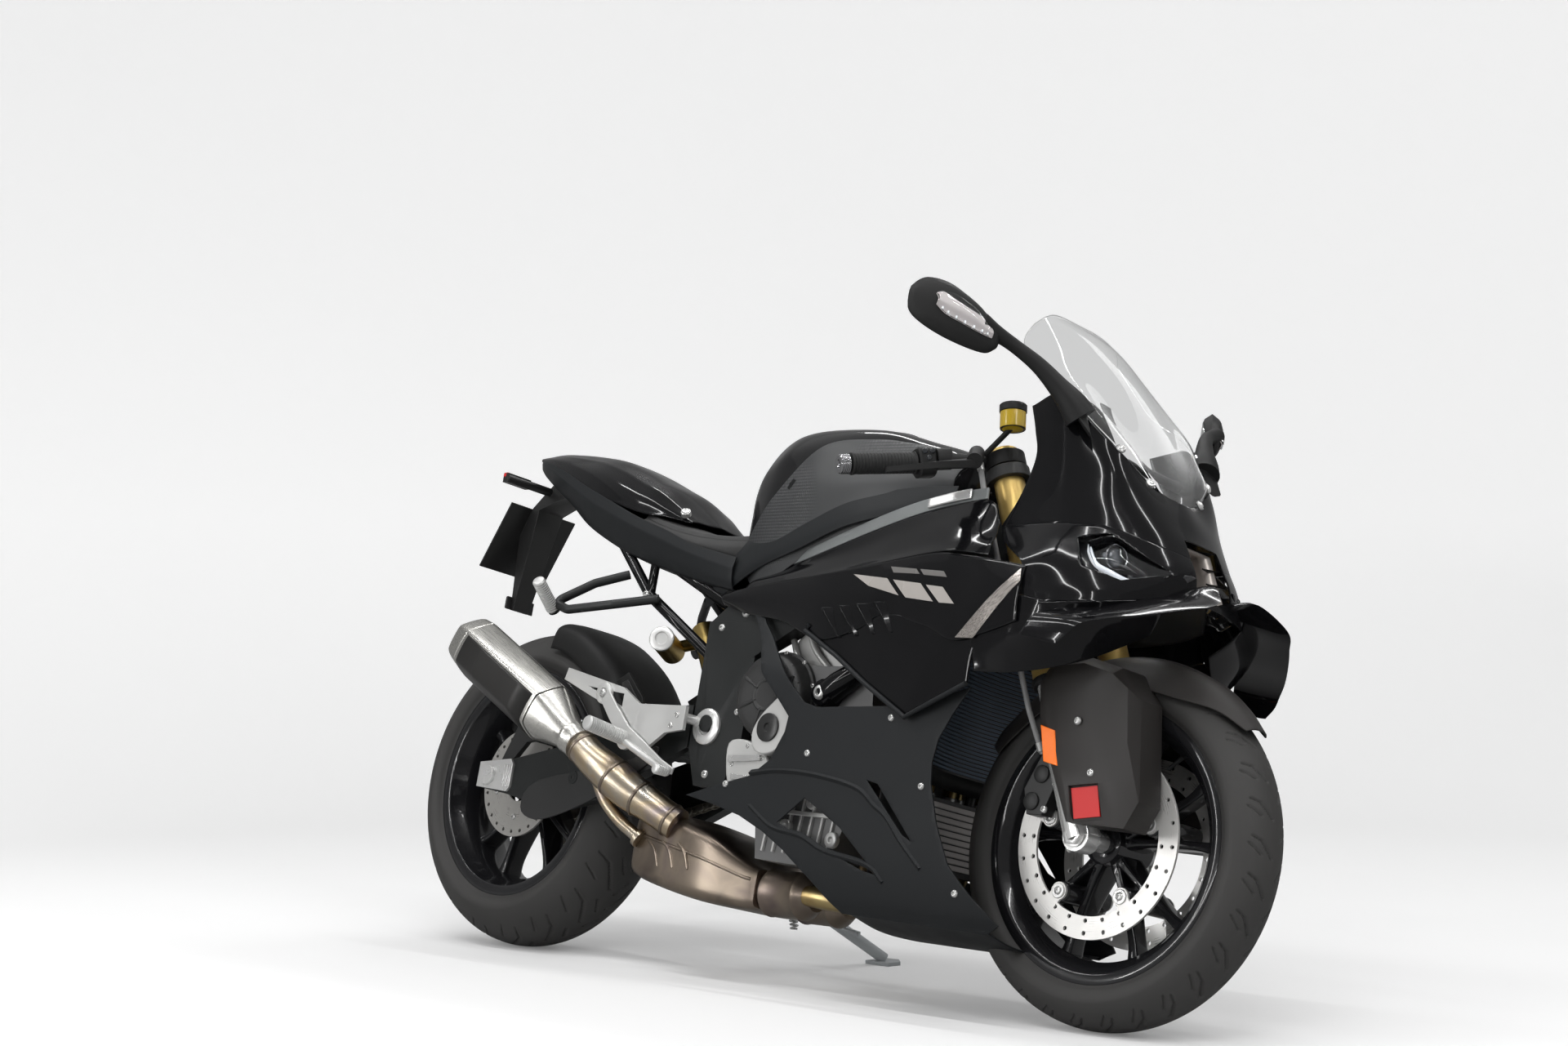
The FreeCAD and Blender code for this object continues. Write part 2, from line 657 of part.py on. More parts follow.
axle_half = value("rear_axle_half")
rear_axle = cylinder("rear_axle_bar", "axle_r", "rear_axle_half + rear_axle_half",
                     (0, -axle_half, value("rear_tyre_r")), (0, 1, 0))
nut_a = Part.makeCylinder(19, 13, Vector(0, -axle_half - 18, value("rear_tyre_r")), Vector(0, 1, 0))
nut_b = Part.makeCylinder(19, 13, Vector(0, axle_half + 5.3, value("rear_tyre_r")), Vector(0, 1, 0))
stub = Part.makeCylinder(value("axle_r") - 1, 2 * axle_half + 20, Vector(0, -axle_half - 10, value("rear_tyre_r")),
                         Vector(0, 1, 0))
spacer_a = Part.makeCylinder(21, 61, Vector(0, -124, value("rear_tyre_r")), Vector(0, 1, 0))
spacer_b = Part.makeCylinder(21, 7.5, Vector(0, 116, value("rear_tyre_r")), Vector(0, 1, 0))
nuts = doc.addObject("Part::Feature", "rear_axle_nuts")
nuts.Shape = union([stub, nut_a, nut_b, spacer_a, spacer_b])
add_part("rear_axle", fuse("rear_axle_whole", [rear_axle, nuts]))

caliper_body = prism([(18, 425), (62, 400), (98, 395), (112, 440), (60, 478), (20, 470)], -104, -46)
caliper_slot = Part.makeCylinder(value("rear_disc_r") + 4, 11, Vector(0, -76, value("rear_tyre_r")),
                                 Vector(0, 1, 0))
caliper_arm = prism([(-14, 345), (14, 345), (60, 396), (96, 402), (60, 428), (24, 426)], -123.7, -112)
caliper_link = prism([(30, 410), (80, 402), (80, 425), (34, 430)], -113, -100)
rear_caliper = union([caliper_body.cut(caliper_slot), caliper_arm, caliper_link])
feature("rear_caliper", rear_caliper)

shock_body = bar((520, 0, 430), (385, 0, 660), 26)
reservoir = bar((398, -120, 612), (360, -50, 600), 24)
shock_neck = bar((400, 0, 634), (370, -60, 606), 12)
feature("rear_shock", union([shock_body, reservoir, shock_neck]).cut(swingarm))

HUGGER_ARC = (18, 34, 50, 66, 80)
HUGGER_ACROSS = [
    # y, drop below the crown of the guard
    (-98.5, 62), (-94, 22), (-70, 4), (0, 0), (70, 4), (94, 22), (98.5, 62),
]
hugger_r = value("rear_tyre_r") + 22
hugger_rows = []
for degrees in HUGGER_ARC:
    angle = math.radians(degrees)
    hugger_rows.append([((hugger_r - drop) * math.cos(angle), y, value("rear_tyre_r") +
                         (hugger_r - drop) * math.sin(angle)) for y, drop in HUGGER_ACROSS])
hugger = skin(hugger_rows, value("panel"))
hugger_leg = prism([(322, 398), (439.7, 400), (439.7, 440), (318, 448)], -50, 50)
feature("rear_hugger", union([hugger, hugger_leg]))

# Frame, subframe and engine

SPAR = [
    # x, y_in, y_out, z_low, z_high
    (1205, 24, 55, 775, 880),
    (1150, 30, 72, 768, 872),
    (1085, 80, 122, 738, 850),
    (950, 114, 156, 690, 800),
    (800, 122, 164, 628, 752),
    (680, 122, 150, 570, 705),
    (600, 124, 148, 500, 672),
    (556, 124, 146, 470, 640),
]
spar = beam(SPAR)
plate_foot = value("plate_foot")
pivot_plate = prism([(556, 640), (690, 640), (690, 420), (660, plate_foot), (585, plate_foot), (556, 400)],
                    128.0, 150.0)
STEM_R = 15.0
head_low = STEER_BASE + FORK_UP * 475
head_high = STEER_BASE + FORK_UP * 640
headstock = Part.makeCylinder(36, (head_high - head_low).Length, head_low, FORK_UP)
stem_hole = Part.makeCylinder(STEM_R + value("clearance"), 400, STEER_BASE + FORK_UP * 400, FORK_UP)
neck = Part.makeBox(60, 130, 84, Vector(1170, -65, 784))
frame_shape = union([spar, mirrored(spar), pivot_plate, mirrored(pivot_plate), headstock, neck])
pivot_bolt = Part.makeCylinder(PIVOT_BOLT_R, 320, Vector(value("pivot_x"), -160, value("pivot_height")),
                               Vector(0, 1, 0))
frame_shape = union([frame_shape, pivot_bolt]).cut(stem_hole)
feature("frame", frame_shape)

SUBFRAME_TUBES = [
    # start, end, radius
    ((600, 118, 664), (330, 108, 785), 13),
    ((330, 108, 785), (40, 62, 915), 13),
    ((572, 116, 560), (330, 108, 700), 11),
    ((330, 108, 700), (150, 88, 862), 11),
]
tubes = [bar(*row) for row in SUBFRAME_TUBES]
tubes += [bar((330, 108, 700), (330, 108, 785), 9), Part.makeSphere(13, Vector(330, 108, 785)),
          Part.makeSphere(11, Vector(330, 108, 700))]
tubes += [mirrored(tube) for tube in tubes]
tubes += [bar((330, -108, 785), (330, 108, 785), 9), bar((60, -66, 906), (60, 66, 906), 9)]
subframe_shape = union(tubes).cut(frame_shape)
feature("subframe", subframe_shape)

CASE = [(750, 520), (750, 330), (775, 208), (950, 200), (985, 300), (1010, 420), (990, 560), (765, 560)]
CYLINDERS = [(800, 555), (985, 555), (1058, 700), (1030, 790), (880, 790), (815, 700)]
GEARBOX = [(645, 500), (645, 380), (700, 330), (760, 330), (760, 540), (660, 540)]
plate_inner = 128.0 - value("clearance")
lug = Part.makeCylinder(11, 2 * plate_inner, Vector(660, -plate_inner, 372), Vector(0, 1, 0))
drive = Vector(SPROCKET_SHAFT[0], sprocket_y - 3.5, SPROCKET_SHAFT[2])
drive_r = value("front_sprocket_r") + 10 - value("chain_tall") / 2 - value("clearance")
drive_sprocket = Part.makeCylinder(drive_r, 7, drive, Vector(0, 1, 0))
drive_shaft = Part.makeCylinder(15, 34, drive - Vector(0, 24, 0), Vector(0, 1, 0))
engine = union([prism(CASE, -150, 150), prism(CYLINDERS, -86, 86), prism(GEARBOX, -104, 96), lug,
                drive_sprocket, drive_shaft])
feature("engine", engine)

COVERS = [
    # centre x, centre z, radius, y_face, y_out, side
    (836, 474, 80, 150, 192, -1),
    (920, 420, 54, 150, 180, -1),
    (880, 440, 82, 150, 192, 1),
    (828, 500, 48, 150, 170, 1),
]
cover_shapes = []
for x, z, radius, inner, outer, side in COVERS:
    base = Vector(x, side * (inner + value("clearance")), z)
    drum = Part.makeCone(radius, radius * 0.86, outer - inner, base, Vector(0, side, 0))
    cover_shapes.append(drum)
feature("engine_covers", Part.makeCompound([cover_shapes[0].fuse(cover_shapes[1]),
                                            cover_shapes[2].fuse(cover_shapes[3])]))

# Exhaust

PORTS = (-132, -44, 44, 132)
HEADER_R = 20.0
header_pipes = []
for number, y in enumerate(PORTS):
    merge_y = -75 + number * 42
    header_pipes.append(pipe([(1050, y * 0.62, 668), (1086, y * 0.7, 610), (1056, y * 0.9, 420),
                              (1034, y * 0.9, 235), (970, merge_y * 0.9, 158), (700, merge_y, 160)],
                             HEADER_R, 90))
BOX_ENDS = [
    # x, y_low, y_high, z_low, z_high
    (720, -110, 70, 128, 190),
    (640, -140, 70, 124, 232),
    (470, -146, 60, 150, 286),
    (436, -120, 40, 185, 262),
]
collector = beam(BOX_ENDS)
headers = union(header_pipes + [collector]).cut(engine)
feature("exhaust_headers", headers)

SILENCER_SECTIONS = [
    # x, y, z, half width, half height
    (252, -226, 424, 40, 44),
    (205, -232, 448, 54, 58),
    (-22, -246, 566, 54, 58),
    (-48, -247, 580, 46, 50),
]
silencer_axis = Vector(-227, -14, 118).normalize()
side_way = Vector(0, 1, 0)
up_way = side_way.cross(silencer_axis).normalize()
silencer_rings = []
for x, y, z, wide, tall in SILENCER_SECTIONS:
    ring = []
    for number in range(12):
        angle = 2 * math.pi * (number + 0.5) / 12
        reach = 1.0 / max(abs(math.cos(angle)), abs(math.sin(angle))) ** 0.6
        spot = Vector(x, y, z) + side_way * (wide * reach * math.cos(angle) * 0.92)
        spot += up_way * (tall * reach * math.sin(angle) * 0.92)
        ring.append(tuple(spot))
    silencer_rings.append(ring)
silencer_can = loft(silencer_rings)
link = pipe([(448, -96, 226), (404, -160, 268), (350, -198, 345), (252, -224, 422)], 25, 60)
outlet = Part.makeCylinder(24, 40, Vector(-40, -246.5, 576), silencer_axis)
feature("silencer", union([silencer_can, link, outlet]).cut(headers))

# Radiators

RADIATOR = [
    # z, x in the middle, x at the sides, half width
    (635, 1165, 1196, 160),
    (520, 1140, 1182, 168),
    (392, 1112, 1150, 165),
]
radiator_rows = []
for z, middle, side, half in RADIATOR:
    radiator_rows.append([(side, -half, z), (middle + 8, -half * 0.5, z), (middle, 0, z),
                          (middle + 8, half * 0.5, z), (side, half, z)])
COOLER = [
    (352, 1098, 1108, 120),
    (225, 1085, 1092, 105),
]
cooler_rows = []
for z, middle, side, half in COOLER:
    cooler_rows.append([(side, -half, z), (middle, 0, z), (side, half, z)])
hose = bar((1086, 40, 335), (1096, 40, 410), 10)
stays = bar((1140, 71, 500), (985, 71, 500), 7)
feature("radiators", union([skin(radiator_rows, 26), skin(cooler_rows, 24), hose, stays, mirrored(stays)]).cut(engine))

# Fairings

LOWER_PROFILE = [
    # z, distance from the middle
    (128, 3), (128, 130), (146, 182), (222, 194), (300, 202), (420, 209), (520, 213), (600, 186), (700, 158),
]
LOWER_STATIONS = (600, 800, 1000, 1180, 1290, 1370)
LOWER_OUTLINE = [
    (608, 700), (672, 690), (700, 640), (875, 505), (916, 476), (1119, 482), (1272, 517), (1212, 428),
    (1209, 354), (1262, 225), (1356, 140), (1356, 118), (1020, 118), (883, 224), (769, 274), (626, 304),
    (702, 337), (735, 420), (800, 452), (690, 570),
]
VENT = [(858, 268), (922, 322), (1019, 272), (1121, 190), (1073, 198)]
SCOOP = [(1062, 356), (1090, 350), (1182, 254), (1160, 262)]
lower_rows = []
for x in LOWER_STATIONS:
    tuck = max(0.0, (x - 1290) * 0.10)
    lower_rows.append([(x, -max(distance - tuck, 3), z) for z, distance in LOWER_PROFILE])
lower_skin = skin(lower_rows, value("panel"))
wheel_well = Part.makeBox(400, 352, 200, Vector(1120, -176, 50))
lower_right = lower_skin.common(prism(LOWER_OUTLINE, -260, 0)).cut(wheel_well)
for window in (VENT, SCOOP):
    lower_right = lower_right.cut(prism(window, -260, -120))

SIDE_STATIONS = [
    # x, z_low, y_low, z_high, y_high
    (585, 672, 150, 690, 150),
    (680, 646, 165, 702, 166),
    (785, 632, 186, 709, 185),
    (859, 606, 205, 714, 196),
    (1000, 535, 218, 728, 211),
    (1145, 463, 222, 741, 229),
    (1282, 518, 240, 733, 246),
    (1384, 600, 256, 716, 254),
]
side_rows = []
for x, low, y_low, high, y_high in SIDE_STATIONS:
    row = []
    for step in range(5):
        part = step / 4
        swell = 10 * math.sin(math.pi * part) * (high - low) / 280
        row.append((x, -(y_low + (y_high - y_low) * part + swell), low + (high - low) * part))
    side_rows.append(row)
# The same moulding turns in above its top line and runs up to a band along the frame's spar.
INNER_ROWS = [
    [(668, 168, 695), (676, 156, 724), (700, 154, 741), (712, 155, 761)],
    [(770, 181, 702), (786, 169, 742), (800, 166, 757), (806, 165, 780)],
    [(926, 202, 714), (942, 178, 770), (950, 169, 803), (950, 166, 828)],
    [(1029, 213, 725), (1046, 188, 790), (1058, 173, 831), (1056, 168, 856)],
    [(1145, 228, 735), (1150, 210, 775), (1150, 177, 847), (1146, 171, 869)],
    [(1255, 242, 730), (1245, 220, 775), (1214, 180, 852), (1206, 173, 874)],
]
inner_right = skin([[(x, -out, z) for x, out, z in row] for row in INNER_ROWS], value("panel"))
side_right = union([skin(side_rows, value("panel")), inner_right]).cut(frame_shape)
feature("side_fairing_right", side_right)
feature("side_fairing_left", mirrored(side_right))
lower_right = lower_right.cut(side_right)
feature("lower_fairing_right", lower_right)
feature("lower_fairing_left", mirrored(lower_right))

NOSE_ROWS = [
    # half curves from the middle to the rear edge: x, distance out, z
    [(1490, 0, 880), (1470, 60, 893), (1447, 125, 935), (1345, 183, 1030), (1275, 168, 1015)],
    [(1530, 0, 820), (1505, 85, 838), (1450, 150, 870), (1370, 182, 905), (1305, 178, 925)],
    [(1562, 0, 770), (1536, 95, 780), (1470, 165, 795), (1390, 195, 800), (1262, 190, 798)],
    [(1580, 0, 735), (1560, 95, 728), (1500, 200, 715), (1440, 240, 722), (1380, 252, 720)],
    [(1572, 0, 700), (1560, 110, 690), (1510, 225, 662), (1455, 255, 655), (1400, 258, 654)],
]
nose_rows = []
for half_row in NOSE_ROWS:
    right = [(x, -y, z) for x, y, z in reversed(half_row)]
    left = [(x, y, z) for x, y, z in half_row[1:]]
    nose_rows.append(right + left)
nose = skin(nose_rows, value("panel"))
LAMP = [(1441, 774), (1478, 784), (1557, 736), (1519, 708), (1474, 724)]
lamp_prism = prism(LAMP, -230, -62)
intake = prism([(1500, 795), (1640, 795), (1640, 706), (1500, 706)], -52, 52)
nose = nose.cut(lamp_prism).cut(mirrored(lamp_prism)).cut(intake)
nose = nose.cut(side_right).cut(mirrored(side_right))
feature("nose_fairing", nose)

lamp_face = [(1441, 168, 772), (1478, 150, 781), (1553, 98, 735), (1518, 125, 709), (1474, 172, 725)]
LAMP_GROW = 1.12
lamp_middle = [sum(p[axis] for p in lamp_face) / len(lamp_face) for axis in range(3)]
lamp_seat = [[middle + (c - middle) * LAMP_GROW for c, middle in zip(p, lamp_middle)] for p in lamp_face]
lamp_back = [(x - 60, -(y - 22), z + 5) for x, y, z in lamp_seat]
lamp = faceted([(x - 3, -(y - 3), z) for x, y, z in lamp_seat], lamp_back).cut(nose)
lamp = max(lamp.Solids, key=lambda piece: piece.Volume)
lamp_pair = both_sides(lamp).cut(nose)
feature("headlamps", Part.makeCompound([piece for piece in lamp_pair.Solids if piece.Volume > 1000]))

WING = [
    # distance out, leading x, leading z, trailing x, trailing z
    (56, 1618, 726, 1556, 716),
    (100, 1672, 681, 1548, 700),
    (200, 1622, 640, 1528, 664),
    (292, 1569, 603, 1493, 622),
]
wing_sections = []
for y, lead_x, lead_z, trail_x, trail_z in WING:
    mid_x, mid_z = (lead_x + trail_x) / 2, (lead_z + trail_z) / 2
    wing_sections.append([(lead_x, -y, lead_z), (mid_x, -y, mid_z + 5), (trail_x, -y, trail_z),
                          (mid_x, -y, mid_z - 4)])
wing = loft(wing_sections)
end_plate = prism([(1573, 600), (1490, 624), (1470, 590), (1520, 578)], -298, -291)
winglet = union([wing, end_plate]).cut(nose).cut(lamp)
winglet = max(winglet.Solids, key=lambda piece: piece.Volume)
wing_pair = both_sides(winglet).cut(nose).cut(lamp_pair)
feature("winglets", Part.makeCompound([piece for piece in wing_pair.Solids if piece.Volume > 1000]))

SCREEN_ROWS = [
    # middle x, middle z, side x, side distance, side z
    (1480, 874, 1461, 70, 890),
    (1452, 936, 1441, 134, 942),
    (1390, 1040, 1350, 186, 1034),
    (1304, 1140, 1264, 190, 1096),
    (1208, 1217, 1216, 148, 1164),
]
screen_rows = []
for mid_x, mid_z, side_x, side_y, side_z in SCREEN_ROWS:
    row = []
    for step in range(-4, 5):
        part = step / 4
        ease = part * part
        row.append((mid_x + (side_x - mid_x) * ease, part * side_y, mid_z + (side_z - mid_z) * ease))
    screen_rows.append(row)
screen = skin(screen_rows, value("panel"))
screen.translate(Vector(2, 0, 4))
screen = screen.cut(nose)
feature("windscreen", screen)

MIRROR_HEAD = [
    # distance out, middle x, middle z, half height, half depth
    (322, 1286, 1100, 22, 14),
    (350, 1274, 1112, 36, 19),
    (395, 1240, 1128, 38, 18),
    (424, 1208, 1134, 22, 12),
]
mirror_rings = []
for y, x, z, tall, deep in MIRROR_HEAD:
    mirror_rings.append([(x - deep, -y, z + tall), (x + deep * 0.3, -y, z + tall * 0.9), (x + deep, -y, z),
                         (x + deep * 0.3, -y, z - tall * 0.9), (x - deep, -y, z - tall)])
mirror_stalk = pipe([(1384, -187, 1000), (1366, -205, 1022), (1320, -262, 1078), (1280, -336, 1106)], 9, 30)
mirror_foot = bar((1385, -181, 992), (1378, -198, 1012), 20)
mirror = union([loft(mirror_rings), mirror_stalk, mirror_foot]).cut(nose).cut(screen)
mirror_pair = both_sides(mirror).cut(nose).cut(screen)
feature("mirrors", Part.makeCompound([piece for piece in mirror_pair.Solids if piece.Volume > 1000]))

dash = loft([[(1262, -64, 985), (1262, 64, 985), (1232, 64, 1072), (1232, -64, 1072)],
             [(1284, -64, 993), (1284, 64, 993), (1254, 64, 1080), (1254, -64, 1080)]])
stay_block = Part.makeBox(70, 56, 50, Vector(1195, -28, 800)).cut(
    Part.makeCylinder(36 + value("clearance"), 500, STEER_BASE + FORK_UP * 350, FORK_UP))
dash_stay = union([bar((1275, 0, 1010), (1345, 0, 960), 12), bar((1345, -172, 962), (1345, 172, 962), 9),
                   bar((1255, 0, 830), (1345, 0, 962), 12), stay_block])
feature("dash", union([dash, dash_stay]).cut(nose).cut(mirror).cut(mirrored(mirror)).cut(frame_shape))

# Tank, seat and tail

TANK = [
    # x, z_base, base half, z_wide, widest half, z_shoulder, shoulder half, z_top
    (548, 790, 60, 850, 72, 900, 62, 930),
    (575, 760, 96, 860, 100, 950, 84, 1005),
    (660, 700, 142, 872, 142, 985, 110, 1034),
    (760, 738, 152, 885, 162, 985, 118, 1036),
    (880, 780, 152, 890, 160, 970, 115, 1018),
    (990, 818, 130, 905, 140, 955, 100, 985),
    (1075, 848, 96, 905, 102, 935, 80, 952),
]
TUNNEL_HALF = 50.0
TUNNEL_RISE = 90.0
tank_rings = []
for x, z_base, base, z_wide, wide, z_shoulder, shoulder, z_top in TANK:
    roof = min(z_base + TUNNEL_RISE, z_wide - 12)
    right = [(x, -min(TUNNEL_HALF, base * 0.6), roof), (x, -base + 14, z_base), (x, -base, z_base + 6),
             (x, -wide, z_wide), (x, -shoulder, z_shoulder), (x, -shoulder * 0.5, z_top)]
    left = [(x, -y, z) for x, y, z in reversed(right)]
    tank_rings.append(right + left)
tank = loft(tank_rings).cut(frame_shape).cut(engine).cut(subframe_shape)
tank = tank.cut(side_right).cut(mirrored(side_right))
CAP = (830.0, 1026.0, 36.0)
cap_well = Part.makeCylinder(CAP[2] + 3, 40, Vector(CAP[0], 0, CAP[1] - 8), Vector(0, 0, 1))
feature("fuel_tank", tank.cut(cap_well))
cap_disc = Part.makeCylinder(CAP[2], 9, Vector(CAP[0], 0, CAP[1] - 7.6), Vector(0, 0, 1))
CAP_HINGE = Vector(CAP[0] + CAP[2], 0, CAP[1])
cap_barrel = Part.makeCylinder(2.4, 24, CAP_HINGE - Vector(0, 12, 0), Vector(0, 1, 0))
feature("fuel_cap", cap_disc.fuse(cap_barrel))

TAIL = [
    # x, upper half, z_upper, lower half, z_lower
    (560, 146, 770, 128, 700),
    (384, 142, 822, 122, 752),
    (200, 132, 886, 108, 806),
    (60, 108, 940, 84, 868),
    (-80, 68, 990, 50, 940),
    (-175, 24, 1012, 16, 992),
]
tail_rows = []
for x, upper, z_upper, lower, z_lower in TAIL:
    tail_rows.append([(x, -upper, z_upper), (x, -(upper + lower) / 2 - 4, (z_upper + z_lower) / 2),
                      (x, -lower, z_lower), (x, 0, z_lower - 4),
                      (x, lower, z_lower), (x, (upper + lower) / 2 + 4, (z_upper + z_lower) / 2),
                      (x, upper, z_upper)])
tail = skin(tail_rows, -value("panel")).cut(subframe_shape)
feature("tail_fairing", tail)

COWL = [
    # x, half width, z at the edge, z on top
    (380, 100, 848, 866),
    (300, 138, 838, 925),
    (200, 132, 872, 975),
    (100, 118, 912, 1004),
    (0, 92, 948, 1019),
    (-110, 56, 990, 1032),
    (-188, 20, 1010, 1028),
]
cowl_rows = []
for x, half, z_edge, z_top in COWL:
    row = []
    for step in range(-4, 5):
        angle = math.pi / 2 * step / 4
        row.append((x, half * math.sin(angle), z_edge + (z_top - z_edge) * math.cos(angle)))
    cowl_rows.append(row)
cowl = skin(cowl_rows, -value("panel")).cut(tail)
cowl = max(cowl.Solids, key=lambda piece: piece.Volume)
feature("pillion_cowl", cowl)

SEAT = [
    # x, half width low, half width high, z_low, z_high
    (300, 134, 108, 806, 872),
    (400, 136, 112, 786, 842),
    (500, 134, 102, 768, 828),
    (575, 110, 80, 758, 832),
    (606, 70, 52, 772, 846),
]
seat_rings = []
for x, low_half, high_half, low, high in SEAT:
    right = [(x, -low_half + 12, low), (x, -low_half, (low + high) / 2), (x, -high_half, high - 8),
             (x, -high_half * 0.5, high)]
    left = [(x, -y, z) for x, y, z in reversed(right)]
    seat_rings.append(right + left)
tank_behind = tank.translated(Vector(-2 * value("clearance"), 0, 0))
feature("rider_seat", loft(seat_rings).cut(tank).cut(tank_behind).cut(tail).cut(subframe_shape).cut(cowl))

PLATE_HALF = 90.0
plate = loft([[(-176, -PLATE_HALF, 909), (-176, PLATE_HALF, 909), (-245, PLATE_HALF, 772), (-245, -PLATE_HALF, 772)],
              [(-173, -PLATE_HALF, 907), (-173, PLATE_HALF, 907), (-242, PLATE_HALF, 770), (-242, -PLATE_HALF, 770)]])
hanger = loft([[(-60, -28, 938), (-60, 28, 938), (-120, 28, 965), (-120, -28, 965)],
               [(-150, -34, 905), (-150, 34, 905), (-171, 34, 910), (-171, -34, 910)],
               [(-160, -30, 850), (-160, 30, 850), (-204, 30, 850), (-204, -30, 850)],
               [(-190, -22, 690), (-190, 22, 690), (-198, 22, 690), (-198, -22, 690)]])
stalks = [bar((-130, -150, 944), (-130, 150, 944), 9),
          Part.makeBox(16, 62, 20, Vector(-140, -152, 934)), Part.makeBox(16, 62, 20, Vector(-140, 90, 934))]
feature("plate_carrier", union([plate, hanger] + stalks).cut(tail))

# Footrests and rear sets

heel_plate = prism([(534, 418), (470, 372), (425, 392), (385, 455), (225, 512), (232, 535), (400, 500),
                    (452, 470), (580, 470), (580, 425)], -196, -188)
heel_window = prism([(405, 462), (300, 500), (405, 488)], -260, -100)
rear_set_post = bar((566, -150.3, 450), (566, -190, 450), 9)
peg = bar((433, -190, 402), (425, -292, 414), 13)
pedal = union([bar((432, -204, 398), (571, -214, 344), 7), bar((571, -206, 344), (571, -238, 344), 8)])
footrest = union([heel_plate.cut(heel_window), rear_set_post, peg, pedal])
feature("rider_footrests", both_sides(footrest))

pillion_bracket = pipe([(372, -122, 690), (300, -170, 668), (200, -200, 650), (156, -200, 664),
                        (210, -150, 715), (262, -110, 742)], 9, 24)
pillion_peg = bar((156, -195, 648), (172, -262, 694), 12)
feature("pillion_footrests", both_sides(union([pillion_bracket, pillion_peg]).cut(subframe_shape)))

# Side stand and its bracket

STAND_PIVOT = Vector(value("stand_x"), value("stand_y"), value("stand_height"))
foot_y = value("stand_foot_y")
STAND_FOOT = Vector(value("stand_foot_x"), foot_y, ground_height(foot_y))
leg_way = (STAND_FOOT - STAND_PIVOT).normalize()
# The leg swings fore and aft, and its foot stands ahead of the pivot, so weight presses it on its stop.
STAND_AXIS = Vector(0, -leg_way.z, leg_way.y).normalize()
ground_up = Vector(0, -math.sin(LEAN), math.cos(LEAN))
ground_out = Vector(0, math.cos(LEAN), math.sin(LEAN))
leg = bar(tuple(STAND_PIVOT), tuple(STAND_FOOT + ground_up * 10), value("stand_leg_r"))
EYE_HALF = 12.0
eye = Part.makeCylinder(18, 2 * EYE_HALF, STAND_PIVOT - STAND_AXIS * EYE_HALF, STAND_AXIS)
foot_ring = []
for ahead, out in ((-30, -22), (30, -22), (34, 8), (10, 30), (-26, 26)):
    foot_ring.append(STAND_FOOT + Vector(ahead, 0, 0) + ground_out * out)
foot_pad = Part.Face(Part.makePolygon(foot_ring + foot_ring[:1])).extrude(ground_up * 7)
tang = bar(tuple(STAND_PIVOT + leg_way * 92), tuple(STAND_PIVOT + leg_way * 96 + Vector(52, 10, -8)), 5)
stand_bolt = Part.makeCylinder(8, 2 * EYE_HALF + 24, STAND_PIVOT - STAND_AXIS * (EYE_HALF + 12), STAND_AXIS)
side_stand = union([leg, eye, foot_pad, tang]).cut(
    Part.makeCylinder(8 + value("clearance"), 90, STAND_PIVOT - STAND_AXIS * 45, STAND_AXIS))
feature("side_stand", side_stand)
plates = []
inboard = Vector(1, 0, 0).cross(STAND_AXIS).normalize()
if inboard.y > 0:
    inboard = inboard * -1
for side in (1, -1):
    near = STAND_PIVOT + STAND_AXIS * side * (EYE_HALF + 0.5)
    plates.append(Part.makeCylinder(19, 8, near, STAND_AXIS * side))
    middle = near + STAND_AXIS * side * 8
    plates.append(bar(tuple(middle), tuple(middle + inboard * 52), 7.5))
stand_x = value("stand_x")
stand_z = value("stand_height")
hanger_top = value("plate_foot - clearance")
stand_block = Part.makeBox(66, 30, 84, Vector(stand_x - 33, value("stand_y") - 60, stand_z - 36))
stand_hanger = prism([(590, hanger_top), (655, hanger_top), (stand_x + 33, stand_z + 43), (stand_x + 33, stand_z - 36),
                      (stand_x - 33, stand_z - 36), (stand_x - 33, stand_z + 43)], 108, 128)
hanger_tab = prism([(592, hanger_top), (655, hanger_top), (650, hanger_top - 22), (600, hanger_top - 22)], 124, 148)
feature("stand_bracket", union([stand_block, stand_hanger, hanger_tab, stand_bolt] + plates))

# Fork, clamps, bars and front brake

gold = [cylinder("fork_tube_%s" % side, "fork_outer_r", "fork_length",
                 on_fork(value("fork_gold_start"), sign * value("fork_spread")), tuple(FORK_UP))
        for side, sign in (("right", -1), ("left", 1))]
gold_pair = doc.addObject("Part::Compound", "fork_tube_pair")
gold_pair.Links = gold
add_part("fork_tubes", gold_pair)

leg_feet = []
for sign in (-1, 1):
    y = sign * value("fork_spread")
    slider = Part.makeCylinder(value("fork_inner_r"), value("fork_gold_start") - 70 - value("clearance"),
                               Vector(*on_fork(70, y)), FORK_UP)
    foot = Part.makeCylinder(29, 150, Vector(*on_fork(-6, y)), FORK_UP)
    lug = Part.makeCylinder(26, 34, Vector(FRONT_AXLE[0], y - 17, FRONT_AXLE[2]), Vector(0, 1, 0))
    back = prism([(1452, 372), (1440, 402), (1392, 402), (1386, 380), (1420, 352)], y - 6, y + 6)
    leg_feet.append(union([slider, foot, lug, back]))
front_axle = Part.makeCylinder(value("axle_r"), 2 * value("front_axle_half"),
                               Vector(FRONT_AXLE[0], -value("front_axle_half"), FRONT_AXLE[2]), Vector(0, 1, 0))
spacers = [Part.makeCylinder(17, value("fork_spread") - 17 - value("front_hub_half") - value("clearance"),
                             Vector(FRONT_AXLE[0], value("front_hub_half") + value("clearance"), FRONT_AXLE[2]),
                             Vector(0, 1, 0))]
spacers.append(mirrored(spacers[0]))
fork_feet = union(leg_feet + [front_axle] + spacers)
feature("fork_feet", fork_feet)


